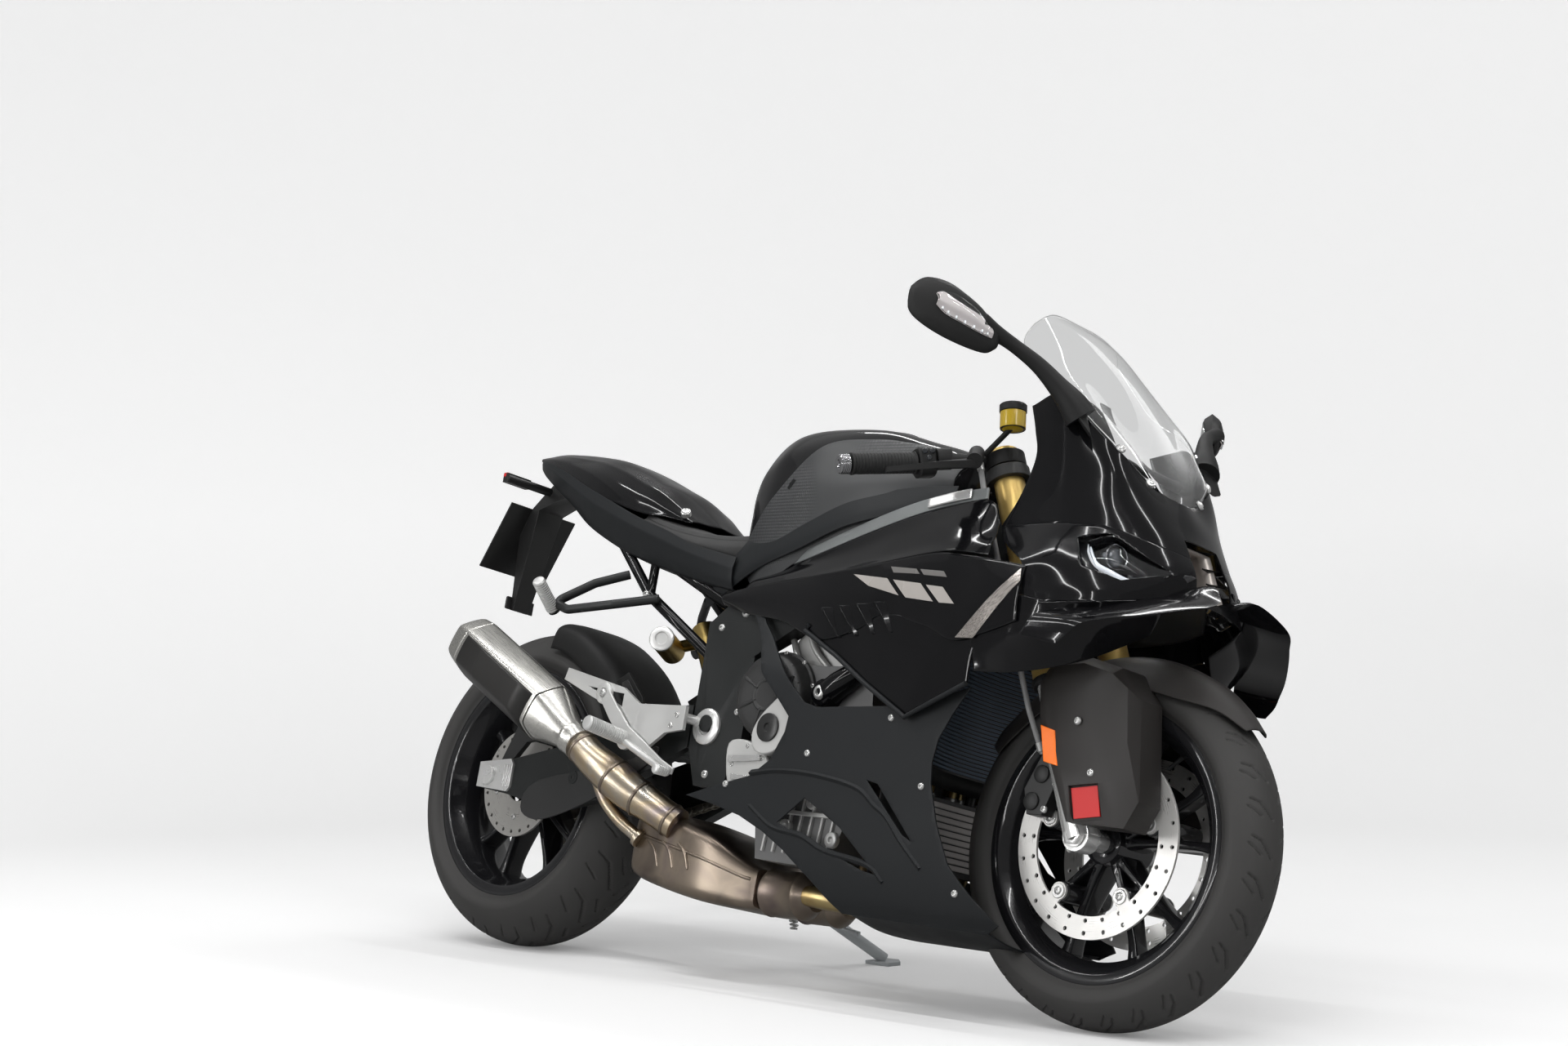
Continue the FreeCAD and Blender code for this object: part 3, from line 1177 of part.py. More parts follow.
def clamp_plate(distance, thick):
    """Yoke across both legs, with the steering stem behind it."""
    shapes = []
    base = Vector(*on_fork(distance))
    for sign in (-1, 1):
        spot = Vector(base.x, sign * value("fork_spread"), base.z)
        shapes.append(Part.makeCylinder(value("fork_outer_r") + 12, thick, spot, FORK_UP))
    bridge_box = Part.makeBox(62, 2 * value("fork_spread"), thick,
                              Vector(-44, -value("fork_spread"), 0))
    bridge_box.Placement = Placement(base, Rotation(Vector(0, 1, 0), -math.degrees(RAKE)))
    shapes.append(bridge_box)
    whole = union(shapes)
    for sign in (-1, 1):
        spot = Vector(base.x, sign * value("fork_spread"), base.z)
        hole = Part.makeCylinder(value("fork_outer_r") + value("clearance"), thick + 40,
                                 spot - FORK_UP * 20, FORK_UP)
        whole = whole.cut(hole)
    return whole


lower_clamp = clamp_plate(430, 38)
upper_clamp = clamp_plate(654, 22)
stem = Part.makeCylinder(STEM_R, 246, STEER_BASE + FORK_UP * 434, FORK_UP)
feature("triple_clamps", union([lower_clamp, upper_clamp, stem]))

BAR_INNER = (1158, 122, 934)
BAR_OUTER = (1037, 352, 871)
GRIP_INNER = (1094, 243, 901)
bar_tube = bar((BAR_INNER[0], -BAR_INNER[1], BAR_INNER[2]), (BAR_OUTER[0], -BAR_OUTER[1], BAR_OUTER[2]),
               value("bar_r"))
ring_base = Vector(*on_fork(680, -value("fork_spread")))
bar_ring = Part.makeCylinder(value("fork_outer_r") + 9, 26, ring_base, FORK_UP)
bar_ring = bar_ring.cut(Part.makeCylinder(value("fork_outer_r") + value("clearance"), 60, ring_base - FORK_UP * 15,
                                          FORK_UP))
grip = bar((GRIP_INNER[0], -GRIP_INNER[1], GRIP_INNER[2]), (BAR_OUTER[0] + 6, -BAR_OUTER[1] + 12, BAR_OUTER[2] + 3),
           value("grip_r"))
bar_hole = Part.makeCylinder(value("fork_outer_r") + value("clearance"), 60, ring_base - FORK_UP * 15, FORK_UP)
clip_on = union([bar_ring, bar_tube, grip]).cut(bar_hole)
feature("handlebars", both_sides(clip_on))

POT = (1219.0, -146.0, 983.0)
perch = bar((1132, -196, 920), (1118, -216, 914), 19)
perch = perch.cut(bar((1158, -122, 934), (1037, -352, 871), value("bar_r") + value("clearance")))
master = bar((1150, -150, 942), (1188, -196, 914), 14)
blade = loft([[(1190, -188, 918), (1190, -188, 904), (1176, -200, 904), (1176, -200, 918)],
              [(1172, -262, 896), (1172, -262, 884), (1162, -262, 884), (1162, -262, 896)],
              [(1120, -336, 868), (1120, -336, 858), (1111, -330, 858), (1111, -330, 868)]])
perch_arm = bar((1128, -204, 918), (1176, -190, 918), 10)
lever = union([perch.fuse(perch_arm).cut(bar((1158, -122, 934), (1037, -352, 871),
                                              value("bar_r") + value("clearance"))), master, blade])
pot = Part.makeCylinder(22, 44, Vector(*POT), Vector(-0.15, 0, 1))
pot_stay = bar((POT[0] - 2, POT[1], POT[2] + 4), (1168, -150, 938), 5)
lever = lever.cut(clip_on)
feature("levers", Part.makeCompound([union([lever, pot_stay, pot]), mirrored(lever)]))

GUARD_ARC = (44, 60, 80, 100, 122, 146)
GUARD_ACROSS = [
    # distance out, drop below the crown of the guard
    (-74, 62), (-72, 30), (-48, 8), (0, 0), (48, 8), (72, 30), (74, 62),
]
guard_r = value("front_tyre_r") + 17
guard_rows = []
for degrees in GUARD_ARC:
    angle = math.radians(degrees)
    narrow = 0.62 if degrees == GUARD_ARC[0] else 1.0
    drop_share = narrow * narrow
    guard_rows.append([(FRONT_AXLE[0] + (guard_r - drop * drop_share) * math.cos(angle), y * narrow,
                        FRONT_AXLE[2] + (guard_r - drop * drop_share) * math.sin(angle))
                       for y, drop in GUARD_ACROSS])
guard = skin(guard_rows, value("panel"))
LEG_GUARD = [(1374, 547), (1400, 556), (1440, 520), (1500, 500), (1530, 490), (1598, 375), (1595, 310),
             (1548, 300), (1500, 380), (1440, 470), (1372, 520)]
leg_guard = prism(LEG_GUARD, -154, -150)
leg_guard_web = prism([(1405, 520), (1440, 574), (1500, 560), (1500, 470), (1440, 420), (1405, 440)], -150, -74.6)
leg_hole = union([bar(on_fork(60, -value("fork_spread")), on_fork(150, -value("fork_spread")), 29.3),
                  bar(on_fork(140, -value("fork_spread")), on_fork(420, -value("fork_spread")),
                      value("fork_inner_r + clearance"))])
side_guard = union([leg_guard, leg_guard_web]).cut(leg_hole)
feature("front_mudguard", union([guard, side_guard, mirrored(side_guard)]))

caliper_block = prism([(1330, 330), (1318, 372), (1345, 430), (1382, 440), (1392, 415), (1378, 372), (1362, 330)],
                      -value("front_disc_y") - 34, -value("front_disc_y") + 22)
caliper_gap = Part.makeCylinder(value("front_disc_r") + 4, value("disc_thick") + 5,
                                Vector(FRONT_AXLE[0], -value("front_disc_y") - value("disc_thick") / 2 - 2.5,
                                       FRONT_AXLE[2]), Vector(0, 1, 0))
wheel_room = Part.makeCylinder(246, 80, Vector(FRONT_AXLE[0], -55, FRONT_AXLE[2]), Vector(0, 1, 0))
# The bolts' bosses turn past inside the block.
FRONT_AXLE_SPOT = Vector(FRONT_AXLE[0], 0, FRONT_AXLE[2])
boss_room = Part.makeCylinder(value("disc_bolt_r") + 25, 132, FRONT_AXLE_SPOT - Vector(0, 66, 0), Vector(0, 1, 0))
caliper = caliper_block.cut(boss_room).cut(caliper_gap).cut(wheel_room).cut(fork_feet)
feature("front_calipers", both_sides(caliper))

hose_path = [(1340, -92, 436), (1322, -118, 500), (1282, -138, 620), (1238, -150, 740), (1190, -152, 850),
             (1160, -150, 925)]
hose_line = pipe(hose_path, 5, 60)
feature("brake_hoses", both_sides(hose_line.cut(caliper).cut(lever)))

# Lean the machine over and set its origin under the middle of its box.

doc.recompute()
lean_over = Placement(Vector(0, 0, GROUND_SHIFT), Rotation(Vector(1, 0, 0), -value("lean_deg")))


def extent(placement):
    """Lowest and highest corner of all pieces."""
    low, high = [1e9] * 3, [-1e9] * 3
    for item, own in subparts.values():
        item.Placement = placement.multiply(own)
        points = item.Shape.tessellate(0.4)[0]
        for axis in range(3):
            low[axis] = min(low[axis], min(p[axis] for p in points))
            high[axis] = max(high[axis], max(p[axis] for p in points))
    return low, high


low, high = extent(lean_over)
shift = Vector(-(low[0] + high[0]) / 2, -(low[1] + high[1]) / 2, -low[2])
stand_up = Placement(lean_over.Base + shift, lean_over.Rotation)
for item, own in subparts.values():
    item.Placement = stand_up.multiply(own)
doc.recompute()


def spot(point):
    """A place on the upright machine, as it stands, in metres."""
    moved = stand_up.multVec(Vector(*point))
    return [round(c / 1000, 5) for c in moved]


def way(direction):
    moved = stand_up.Rotation.multVec(Vector(*direction))
    return [round(c, 6) for c in moved]


for item in doc.Objects:
    if "Invalid" in item.State or "Error" in item.State:
        raise RuntimeError("%s failed: %s" % (item.Name, item.State))
os.makedirs("parts", exist_ok=True)
for name, (item, own) in subparts.items():
    shape = item.Shape
    if shape.isNull() or not shape.isValid():
        raise RuntimeError(name + " has no valid shape")
    shape.exportStep("parts/%s.step" % name)
    print("%-22s solids %2d  faces %4d  volume %8.1f cm3" % (name, len(shape.Solids), len(shape.Faces),
                                                            shape.Volume / 1000))
print("low", [round(c, 2) for c in low], "high", [round(c, 2) for c in high])
print("steering", spot(STEER_BASE), way(FORK_UP))
print("front axle", spot(FRONT_AXLE), "rear axle", spot(REAR_AXLE), way((0, 1, 0)))
print("side stand", spot(STAND_PIVOT), way(STAND_AXIS))
print("bobbin right", spot(bobbin), way((0, -1, 0)))
print("bobbin left", spot((bobbin.x, -bobbin.y, bobbin.z)), way((0, 1, 0)))
print("plate face", spot((-210.5, 0, 840.5)), way(Vector(-137, 0, 69).normalize()))
print("fuel cap", spot(CAP_HINGE), way((0, 1, 0)))
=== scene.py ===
# %% [markdown]
# # A sport bike on its side stand
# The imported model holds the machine's hard structure at its real size. This file dresses it:
# smooth bodywork, tyres with a cut tread, lamps, hoses, fasteners, and a finish for every surface.
# Blender works in metres on the leaning machine, while a maker measures the machine upright in
# millimetres, so one small function takes every drawn point from one to the other.

import json
import math

import bmesh
import bpy
import numpy as np
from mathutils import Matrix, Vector

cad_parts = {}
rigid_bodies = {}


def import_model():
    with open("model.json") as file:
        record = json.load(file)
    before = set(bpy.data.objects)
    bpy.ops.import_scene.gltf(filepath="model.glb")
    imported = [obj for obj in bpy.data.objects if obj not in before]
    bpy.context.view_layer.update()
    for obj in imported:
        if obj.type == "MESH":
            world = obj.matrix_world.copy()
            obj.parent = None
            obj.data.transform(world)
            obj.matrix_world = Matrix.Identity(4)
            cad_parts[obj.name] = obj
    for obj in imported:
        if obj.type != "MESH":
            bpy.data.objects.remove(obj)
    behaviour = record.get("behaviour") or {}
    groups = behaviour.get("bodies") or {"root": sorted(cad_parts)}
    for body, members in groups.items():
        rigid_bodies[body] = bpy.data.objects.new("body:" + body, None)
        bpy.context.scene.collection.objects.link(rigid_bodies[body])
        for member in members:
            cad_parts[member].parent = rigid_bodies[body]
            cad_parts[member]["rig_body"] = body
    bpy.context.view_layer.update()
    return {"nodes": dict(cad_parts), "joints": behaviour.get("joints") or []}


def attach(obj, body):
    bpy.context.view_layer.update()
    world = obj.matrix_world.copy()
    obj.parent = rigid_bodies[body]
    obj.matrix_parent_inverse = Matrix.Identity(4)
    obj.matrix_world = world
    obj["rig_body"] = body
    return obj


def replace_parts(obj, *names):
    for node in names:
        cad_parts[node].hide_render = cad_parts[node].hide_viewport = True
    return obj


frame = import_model()
nodes = frame["nodes"]

# %% [markdown]
# The rear wheel's axle tells how far the machine leans, because on the upright machine it lies
# level, along +Y. Turning about X by that lean and moving the rear axle to its place gives the
# whole relation. X runs forward from the rear axle, Y to the rider's left, Z up from the ground.

# %% The upright machine
joints = {joint["name"]: joint for joint in frame["joints"]}
REAR_R = 320.0
FRONT_R = 300.0
axle_way = joints["rear_wheel_spin"]["axis"]
LEAN = math.atan2(-axle_way[2], axle_way[1])
lean_turn = np.array([[1, 0, 0],
                      [0, math.cos(LEAN), math.sin(LEAN)],
                      [0, -math.sin(LEAN), math.cos(LEAN)]])
lean_shift = np.array(joints["rear_wheel_spin"]["pos_m"]) - lean_turn @ np.array([0, 0, REAR_R / 1000])


def lean_over(points):
    """Millimetres on the upright machine to metres on the leaning one: a turn, then a shift."""
    return np.asarray(points, float) / 1000 @ lean_turn.T + lean_shift


def upright(points):
    """The other way round: shift back, turn back, and count in millimetres."""
    return (np.asarray(points, float) - lean_shift) @ lean_turn * 1000


REAR_AXLE = upright(joints["rear_wheel_spin"]["pos_m"])
FRONT_AXLE = upright(joints["front_wheel_spin"]["pos_m"])
steer_way = np.array(joints["steering"]["axis"]) @ lean_turn
FORK_UP = steer_way / np.linalg.norm(steer_way)
FORK_AHEAD = np.array([FORK_UP[2], 0, -FORK_UP[0]])
FORK_SPREAD = 105.0


def on_fork(distance, y=0.0, ahead=0.0):
    """Point on the fork line, a distance up from the front axle."""
    return FRONT_AXLE + FORK_UP * distance + FORK_AHEAD * ahead + np.array([0, y, 0])


print("lean", round(math.degrees(LEAN), 2), "front axle", FRONT_AXLE.round(1))

# %% [markdown]
# Every shape is a grid of points worked out as a whole array. Four small tools cover most of
# them: one finds a smooth curve through a few measured stations, one joins a grid into squares,
# one carries a round section along a path, and one turns a profile about an axis.

# %% Grid tools


def smooth(stations, count, creases=()):
    """Cubic through the stations along the first axis, whose slope at each station is that
    between its neighbours. It breaks at the stations in creases and is straight-ended there."""
    stations = np.asarray(stations, float)
    stops = [0, *creases, len(stations) - 1]
    total = len(stations) - 1
    parts = []
    for start, end in zip(stops, stops[1:]):
        run = stations[start:end + 1]
        share = max(2, round(count * (end - start) / total) + 1)
        padded = np.concatenate([[2 * run[0] - run[1]], run, [2 * run[-1] - run[-2]]])
        t = np.linspace(0, len(run) - 1, share)
        i = np.clip(t.astype(int), 0, len(run) - 2)
        u = (t - i).reshape(-1, *[1] * (run.ndim - 1))
        a, b, c, d = padded[i], padded[i + 1], padded[i + 2], padded[i + 3]
        curve = 0.5 * (2 * b + (c - a) * u + (2 * a - 5 * b + 4 * c - d) * u**2
                       + (3 * b - a - 3 * c + d) * u**3)
        parts.append(curve if end == stops[-1] else curve[:-1])
    return np.concatenate(parts)


def smooth_net(net, rows, columns, row_creases=(), column_creases=()):
    """Smooth surface through a net of points: first down its rows, then across its columns."""
    tall = smooth(net, rows, row_creases)
    return np.swapaxes(smooth(np.swapaxes(tall, 0, 1), columns, column_creases), 0, 1)


def squares(rows, columns, ring_rows=False, ring_columns=False):
    """Corner numbers of a grid's squares; a ring direction joins its last line to its first."""
    i = np.arange(rows if ring_rows else rows - 1)[:, None]
    j = np.arange(columns if ring_columns else columns - 1)[None, :]
    below, beside = (i + 1) % rows, (j + 1) % columns
    corners = [i * columns + j, i * columns + beside, below * columns + beside, below * columns + j]
    return np.stack(np.broadcast_arrays(*corners), -1).reshape(-1, 4)


def lengthwise(path):
    """Unit tangents of a path, from each point's two neighbours."""
    tangent = np.gradient(np.asarray(path, float), axis=0)
    return tangent / np.linalg.norm(tangent, axis=1, keepdims=True)


def tube_grid(path, radius, sides=16, up=(0, 0, 1)):
    """Circles of the radius square to the path; the radius may change along it."""
    path = np.asarray(path, float)
    tangent = lengthwise(path)
    side = np.cross(tangent, np.asarray(up, float))
    side /= np.linalg.norm(side, axis=1, keepdims=True)
    other = np.cross(side, tangent)
    angle = np.linspace(0, 2 * math.pi, sides, endpoint=False)
    radius = np.broadcast_to(np.asarray(radius, float), (len(path),))[:, None, None]
    ring = np.cos(angle)[None, :, None] * side[:, None] + np.sin(angle)[None, :, None] * other[:, None]
    return path[:, None] + radius * ring


def turned_grid(profile, centre, way, sides=48):
    """Each (along, radius) pair of the profile swung round the axis through centre."""
    profile = np.asarray(profile, float)
    way = np.asarray(way, float) / np.linalg.norm(way)
    helper = np.array([0, 0, 1.0]) if abs(way[2]) < 0.9 else np.array([1.0, 0, 0])
    side = np.cross(way, helper)
    side /= np.linalg.norm(side)
    other = np.cross(way, side)
    angle = np.linspace(0, 2 * math.pi, sides, endpoint=False)
    ring = np.cos(angle)[:, None] * side + np.sin(angle)[:, None] * other
    return (np.asarray(centre, float) + profile[:, 0, None, None] * way
            + profile[:, 1, None, None] * ring[None])


def mirror_y(points):
    """The same points on the other side of the machine."""
    return np.asarray(points, float) * np.array([1, -1, 1])


# %% [markdown]
# A piece is one object whose place is in its mesh. A shape drawn once can be set down many
# times, such as a screw, so a piece is gathered from parts, each a list of points with its faces.
# After the parts are joined, the normals of closed shells are turned outwards.

# %% Gathering parts into a piece


def grid_part(points, ring_rows=False, ring_columns=False, caps=False):
    """A grid as (points, faces); caps closes both open ends of a tube with a flat face."""
    points = np.asarray(points, float)
    rows, columns = points.shape[:2]
    faces = squares(rows, columns, ring_rows, ring_columns).tolist()
    if caps:
        faces.append(list(range(columns))[::-1])
        faces.append(list(range((rows - 1) * columns, rows * columns)))
    return points.reshape(-1, 3), faces


def tube(path, radius, sides=14, up=(0, 0, 1), count=None, creases=()):
    """Closed round bar through a few points of a path."""
    if count:
        path = smooth(path, count, creases)
    return grid_part(tube_grid(path, radius, sides, up), ring_columns=True, caps=True)


def turned(profile, centre, way, sides=40):
    """Solid of revolution from a profile of (along, radius) pairs."""
    return grid_part(turned_grid(profile, centre, way, sides), ring_columns=True, caps=True)


def slab(outline, low, high, axis=1):
    """Flat plate over an outline drawn in the two other axes, from low to high along the axis."""
    outline = np.asarray(outline, float)
    ends = [np.insert(outline, axis, level, axis=1) for level in (low, high)]
    return grid_part(np.stack(ends), ring_columns=True, caps=True)


def block(rings):
    """Solid through rings of equal length, closed at both ends."""
    return grid_part(np.asarray(rings, float), ring_columns=True, caps=True)


def both(parts):
    """The parts and their mirror images on the other side of the machine."""
    return list(parts) + [(mirror_y(points), [face[::-1] for face in faces]) for points, faces in parts]


def gather(name, parts, body, look, solid=True, leaned=True):
    """Joins parts into one object that rides on a body."""
    points, faces, start = [], [], 0
    for part_points, part_faces in parts:
        points.append(part_points)
        faces += [[corner + start for corner in face] for face in part_faces]
        start += len(part_points)
    places = np.concatenate(points)
    mesh = bpy.data.meshes.new(name)
    mesh.from_pydata((lean_over(places) if leaned else places).tolist(), [], faces)
    if solid:
        shape = bmesh.new()
        shape.from_mesh(mesh)
        bmesh.ops.recalc_face_normals(shape, faces=shape.faces)
        shape.to_mesh(mesh)
        shape.free()
    mesh.shade_smooth()
    mesh.set_sharp_from_angle(angle=math.radians(38))
    item = bpy.data.objects.new(name, mesh)
    bpy.context.scene.collection.objects.link(item)
    item.data.materials.append(look)
    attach(item, body)
    return item


def rounded(item, width, segments=2, angle=35):
    """Rounds a piece's corners: a Bevel of so many millimetres on edges sharper than the angle."""
    bevel = item.modifiers.new("rounding", "BEVEL")
    bevel.width = width / 1000
    bevel.segments = segments
    bevel.limit_method = "ANGLE"
    bevel.angle_limit = math.radians(angle)
    bevel.harden_normals = False
    return item


def walled(item, thickness, offset=-1):
    """Gives an open surface its wall: a Solidify of so many millimetres behind its face."""
    wall = item.modifiers.new("wall", "SOLIDIFY")
    wall.thickness = thickness / 1000
    wall.offset = offset
    wall.use_even_offset = True
    return item


def facing(item, way):
    """Turns an open surface over if its faces look away from way, a direction upright."""
    total = np.zeros(3)
    for face in item.data.polygons:
        total += np.array(face.normal) * face.area
    if total @ (lean_turn @ np.asarray(way, float)) < 0:
        item.data.flip_normals()
    return item


def apply_all(item):
    """Bakes a piece's modifiers into its mesh."""
    view = bpy.context.evaluated_depsgraph_get()
    made = bpy.data.meshes.new_from_object(item.evaluated_get(view))
    item.modifiers.clear()
    item.data = made
    return item


def carve(item, cutters, keep=False):
    """Cuts closed parts out of a piece, or with keep leaves only what lies inside them."""
    tool = gather(item.name + "_tool", cutters, "chassis", item.data.materials[0])
    cut = item.modifiers.new("cut", "BOOLEAN")
    cut.object = tool
    cut.operation = "INTERSECT" if keep else "DIFFERENCE"
    cut.solver = "EXACT"
    bpy.context.view_layer.update()
    apply_all(item)
    bpy.data.objects.remove(tool)
    return item


def copied(node, look, merge_mm=0.01):
    """A copy of a CAD node with its loose triangles merged and flat neighbours joined."""
    mesh = nodes[node].data.copy()
    shape = bmesh.new()
    shape.from_mesh(mesh)
    bmesh.ops.remove_doubles(shape, verts=shape.verts, dist=merge_mm / 1000)
    bmesh.ops.dissolve_limit(shape, angle_limit=math.radians(0.6), verts=shape.verts, edges=shape.edges)
    shape.to_mesh(mesh)
    shape.free()
    mesh.shade_smooth()
    mesh.set_sharp_from_angle(angle=math.radians(32))
    mesh.materials.clear()
    mesh.materials.append(look)
    item = bpy.data.objects.new(node + "_shape", mesh)
    bpy.context.scene.collection.objects.link(item)
    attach(item, nodes[node]["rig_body"])
    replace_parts(item, node)
    return item

# %% [markdown]
# Moulded plastic, castings, rubber and seat cover all have a fine grain that breaks the light,
# and their machined or moulded edges are slightly rounded. Both effects are used by many
# finishes, so each is a node group, built once. The edge group's Bevel node bends the shading
# normal near a corner, which gives CAD nodes the thin bright line that real corners show.

# %% Shared shader groups


def new_group(name, inputs, outputs):
    """An empty node group; inputs and outputs are (name, kind, value) rows."""
    group = bpy.data.node_groups.new(name, "ShaderNodeTree")
    for title, kind, start in inputs:
        socket = group.interface.new_socket(title, in_out="INPUT", socket_type="NodeSocket" + kind)
        if start is not None:
            socket.default_value = start
    for title, kind, _ in outputs:
        group.interface.new_socket(title, in_out="OUTPUT", socket_type="NodeSocket" + kind)
    return group, group.nodes.new("NodeGroupInput"), group.nodes.new("NodeGroupOutput")


def plug(tree, made, links):
    """Fills a node's inputs; links are (input, output socket or value) rows."""
    for socket, source in links:
        if isinstance(source, bpy.types.NodeSocket):
            tree.links.new(source, made.inputs[socket])
        else:
            made.inputs[socket].default_value = source


def node(tree, kind, links=(), **settings):
    """A node of a kind, with its settings and its input links."""
    made = tree.nodes.new("ShaderNode" + kind)
    for name, setting in settings.items():
        setattr(made, name, setting)
    plug(tree, made, links)
    return made


def blank_look(name):
    """A new material, with its node tree and its shader."""
    look = bpy.data.materials.new(name)
    look.use_nodes = True
    return look, look.node_tree, look.node_tree.nodes["Principled BSDF"]


def two_tone(tree, share, first, second):
    """Colour that goes from the first tone to the second as the share goes from 0 to 1."""
    ends = [[*np.minimum(tone, 1), 1.0] for tone in (first, second)]
    return node(tree, "Mix", [(0, share), (6, ends[0]), (7, ends[1])], data_type="RGBA").outputs[2]


def make_grain_group():
    """Grain: noise at a size in millimetres gives a normal, and a slower noise gives a mottle."""
    group, given, result = new_group(
        "grain_and_edge",
        [("Size mm", "Float", 1.0), ("Depth", "Float", 0.2), ("Edge mm", "Float", 1.2)],
        [("Normal", "Vector", None), ("Mottle", "Float", None), ("Edge", "Float", None)])
    place = node(group, "TexCoord").outputs["Object"]
    per_metre = node(group, "Math", [(0, 1000.0), (1, given.outputs["Size mm"])], operation="DIVIDE")
    fine = node(group, "TexNoise", [("Vector", place), ("Scale", per_metre.outputs[0]), ("Detail", 2.0)])
    slow = node(group, "TexNoise", [("Vector", place), ("Scale", 9.0), ("Detail", 3.0)])
    reach = node(group, "Math", [(0, given.outputs["Edge mm"]), (1, 0.001)], operation="MULTIPLY")
    edge = node(group, "Bevel", [("Radius", reach.outputs[0])], samples=4)
    bump = node(group, "Bump", [("Strength", given.outputs["Depth"]), ("Distance", 0.0004),
                                ("Height", fine.outputs["Fac"]), ("Normal", edge.outputs[0])])
    flat = node(group, "NewGeometry").outputs["Normal"]
    # Painted highlight mask: 1 where the Bevel normal turns away from the face, so that a finish can paint
    # its corners lighter.
    level = node(group, "VectorMath", [(0, edge.outputs[0]), (1, flat)], operation="DOT_PRODUCT")
    painted_edge_highlight = node(group, "MapRange", [("Value", level.outputs["Value"]), ("From Min", 1.0), ("From Max", 0.8)])
    plug(group, result, [("Normal", bump.outputs[0]), ("Mottle", slow.outputs["Fac"]),
                         ("Edge", painted_edge_highlight.outputs[0])])
    return group


def make_brushed_group():
    """Brushing: noise drawn out 60 times along one axis gives streaks in roughness and normal."""
    group, given, result = new_group(
        "brushed",
        [("Along", "Vector", (1.0, 0.0, 0.0)), ("Depth", "Float", 0.1), ("Rough low", "Float", 0.2),
         ("Rough high", "Float", 0.4)],
        [("Normal", "Vector", None), ("Roughness", "Float", None), ("Streak", "Float", None)])
    place = node(group, "TexCoord").outputs["Object"]
    # The part of the place along the brushing is shrunk, so that the noise stretches that way.
    share = node(group, "VectorMath", [(0, place), (1, given.outputs["Along"])], operation="DOT_PRODUCT")
    shrink = node(group, "Math", [(0, share.outputs["Value"]), (1, -0.985)], operation="MULTIPLY")
    back = node(group, "VectorMath", [(0, given.outputs["Along"]), ("Scale", shrink.outputs[0])],
                operation="SCALE")
    pressed = node(group, "VectorMath", [(0, place), (1, back.outputs[0])], operation="ADD")
    streak = node(group, "TexNoise", [("Vector", pressed.outputs[0]), ("Scale", 1400.0), ("Detail", 2.0)])
    rough = node(group, "MapRange", [("Value", streak.outputs["Fac"]), ("From Min", 0.3), ("From Max", 0.7),
                                     ("To Min", given.outputs["Rough low"]),
                                     ("To Max", given.outputs["Rough high"])])
    bump = node(group, "Bump", [("Strength", given.outputs["Depth"]), ("Distance", 0.0002),
                                ("Height", streak.outputs["Fac"])])
    plug(group, result, [("Normal", bump.outputs[0]), ("Roughness", rough.outputs[0]),
                         ("Streak", streak.outputs["Fac"])])
    return group


GRAIN = make_grain_group()
BRUSHED = make_brushed_group()

# %% [markdown]
# A finish is a Principled BSDF whose colour, roughness and normal come from the grain group. The
# colour swings a few percent with the slow mottle, and it is painted lighter at the edges, a painted
# highlight where corners would catch the light, so that no surface is one flat value. What is the
# same all over, such as clear coat, is set on the shader's own socket.

# %% A finish for every surface
COAT_ROUGH = 0.03
CAN_ALONG = (-227, -14, 118)
BLADE_ALONG = (0.76, 0, 0.65)


def finish(name, colour, rough, metal=0.0, coat=0.0, grain=0.15, size=0.8, mottle=0.1, edge_mm=1.2,
           edge_light=0.15, swing=0.06, shine=0.5):
    """Principled material on the grain group; colours are in linear light."""
    look, tree, shader = blank_look(name)
    effect = node(tree, "Group", [("Size mm", size), ("Depth", grain), ("Edge mm", edge_mm)], node_tree=GRAIN)
    mottling = effect.outputs["Mottle"]
    colour = np.array(colour, float)
    base = two_tone(tree, mottling, colour * (1 - mottle), colour * (1 + mottle))
    # Painted highlight: near corners the colour goes lighter, by the share edge_light, as if they caught the
    # light.
    painted_edge_tone = [*np.minimum(colour * (1 + edge_light) + 0.02 * edge_light, 1), 1.0]
    painted_edge_highlight = node(tree, "Mix", [(0, effect.outputs["Edge"]), (6, base), (7, painted_edge_tone)], data_type="RGBA")
    level = node(tree, "MapRange", [("Value", mottling), ("From Min", 0.3), ("From Max", 0.7),
                                    ("To Min", max(rough - swing, 0.02)), ("To Max", min(rough + swing, 1))])
    plug(tree, shader, [("Base Color", painted_edge_highlight.outputs[2]), ("Roughness", level.outputs[0]),
                        ("Normal", effect.outputs["Normal"]), ("Metallic", metal),
                        ("Specular IOR Level", shine), ("Coat Weight", coat), ("Coat Roughness", COAT_ROUGH)])
    return look


def brushed(name, colour, along, low=0.18, high=0.4, tone=0.12):
    """Bare metal with streaks along a direction of the upright machine."""
    look, tree, shader = blank_look(name)
    way = lean_turn @ (np.array(along, float) / np.linalg.norm(along))
    effect = node(tree, "Group", [("Along", way), ("Rough low", low), ("Rough high", high)],
                  node_tree=BRUSHED)
    colour = np.array(colour, float)
    base = two_tone(tree, effect.outputs["Streak"], colour * (1 - tone), colour * (1 + tone))
    plug(tree, shader, [("Base Color", base), ("Roughness", effect.outputs["Roughness"]),
                        ("Normal", effect.outputs["Normal"]), ("Metallic", 1.0)])
    return look


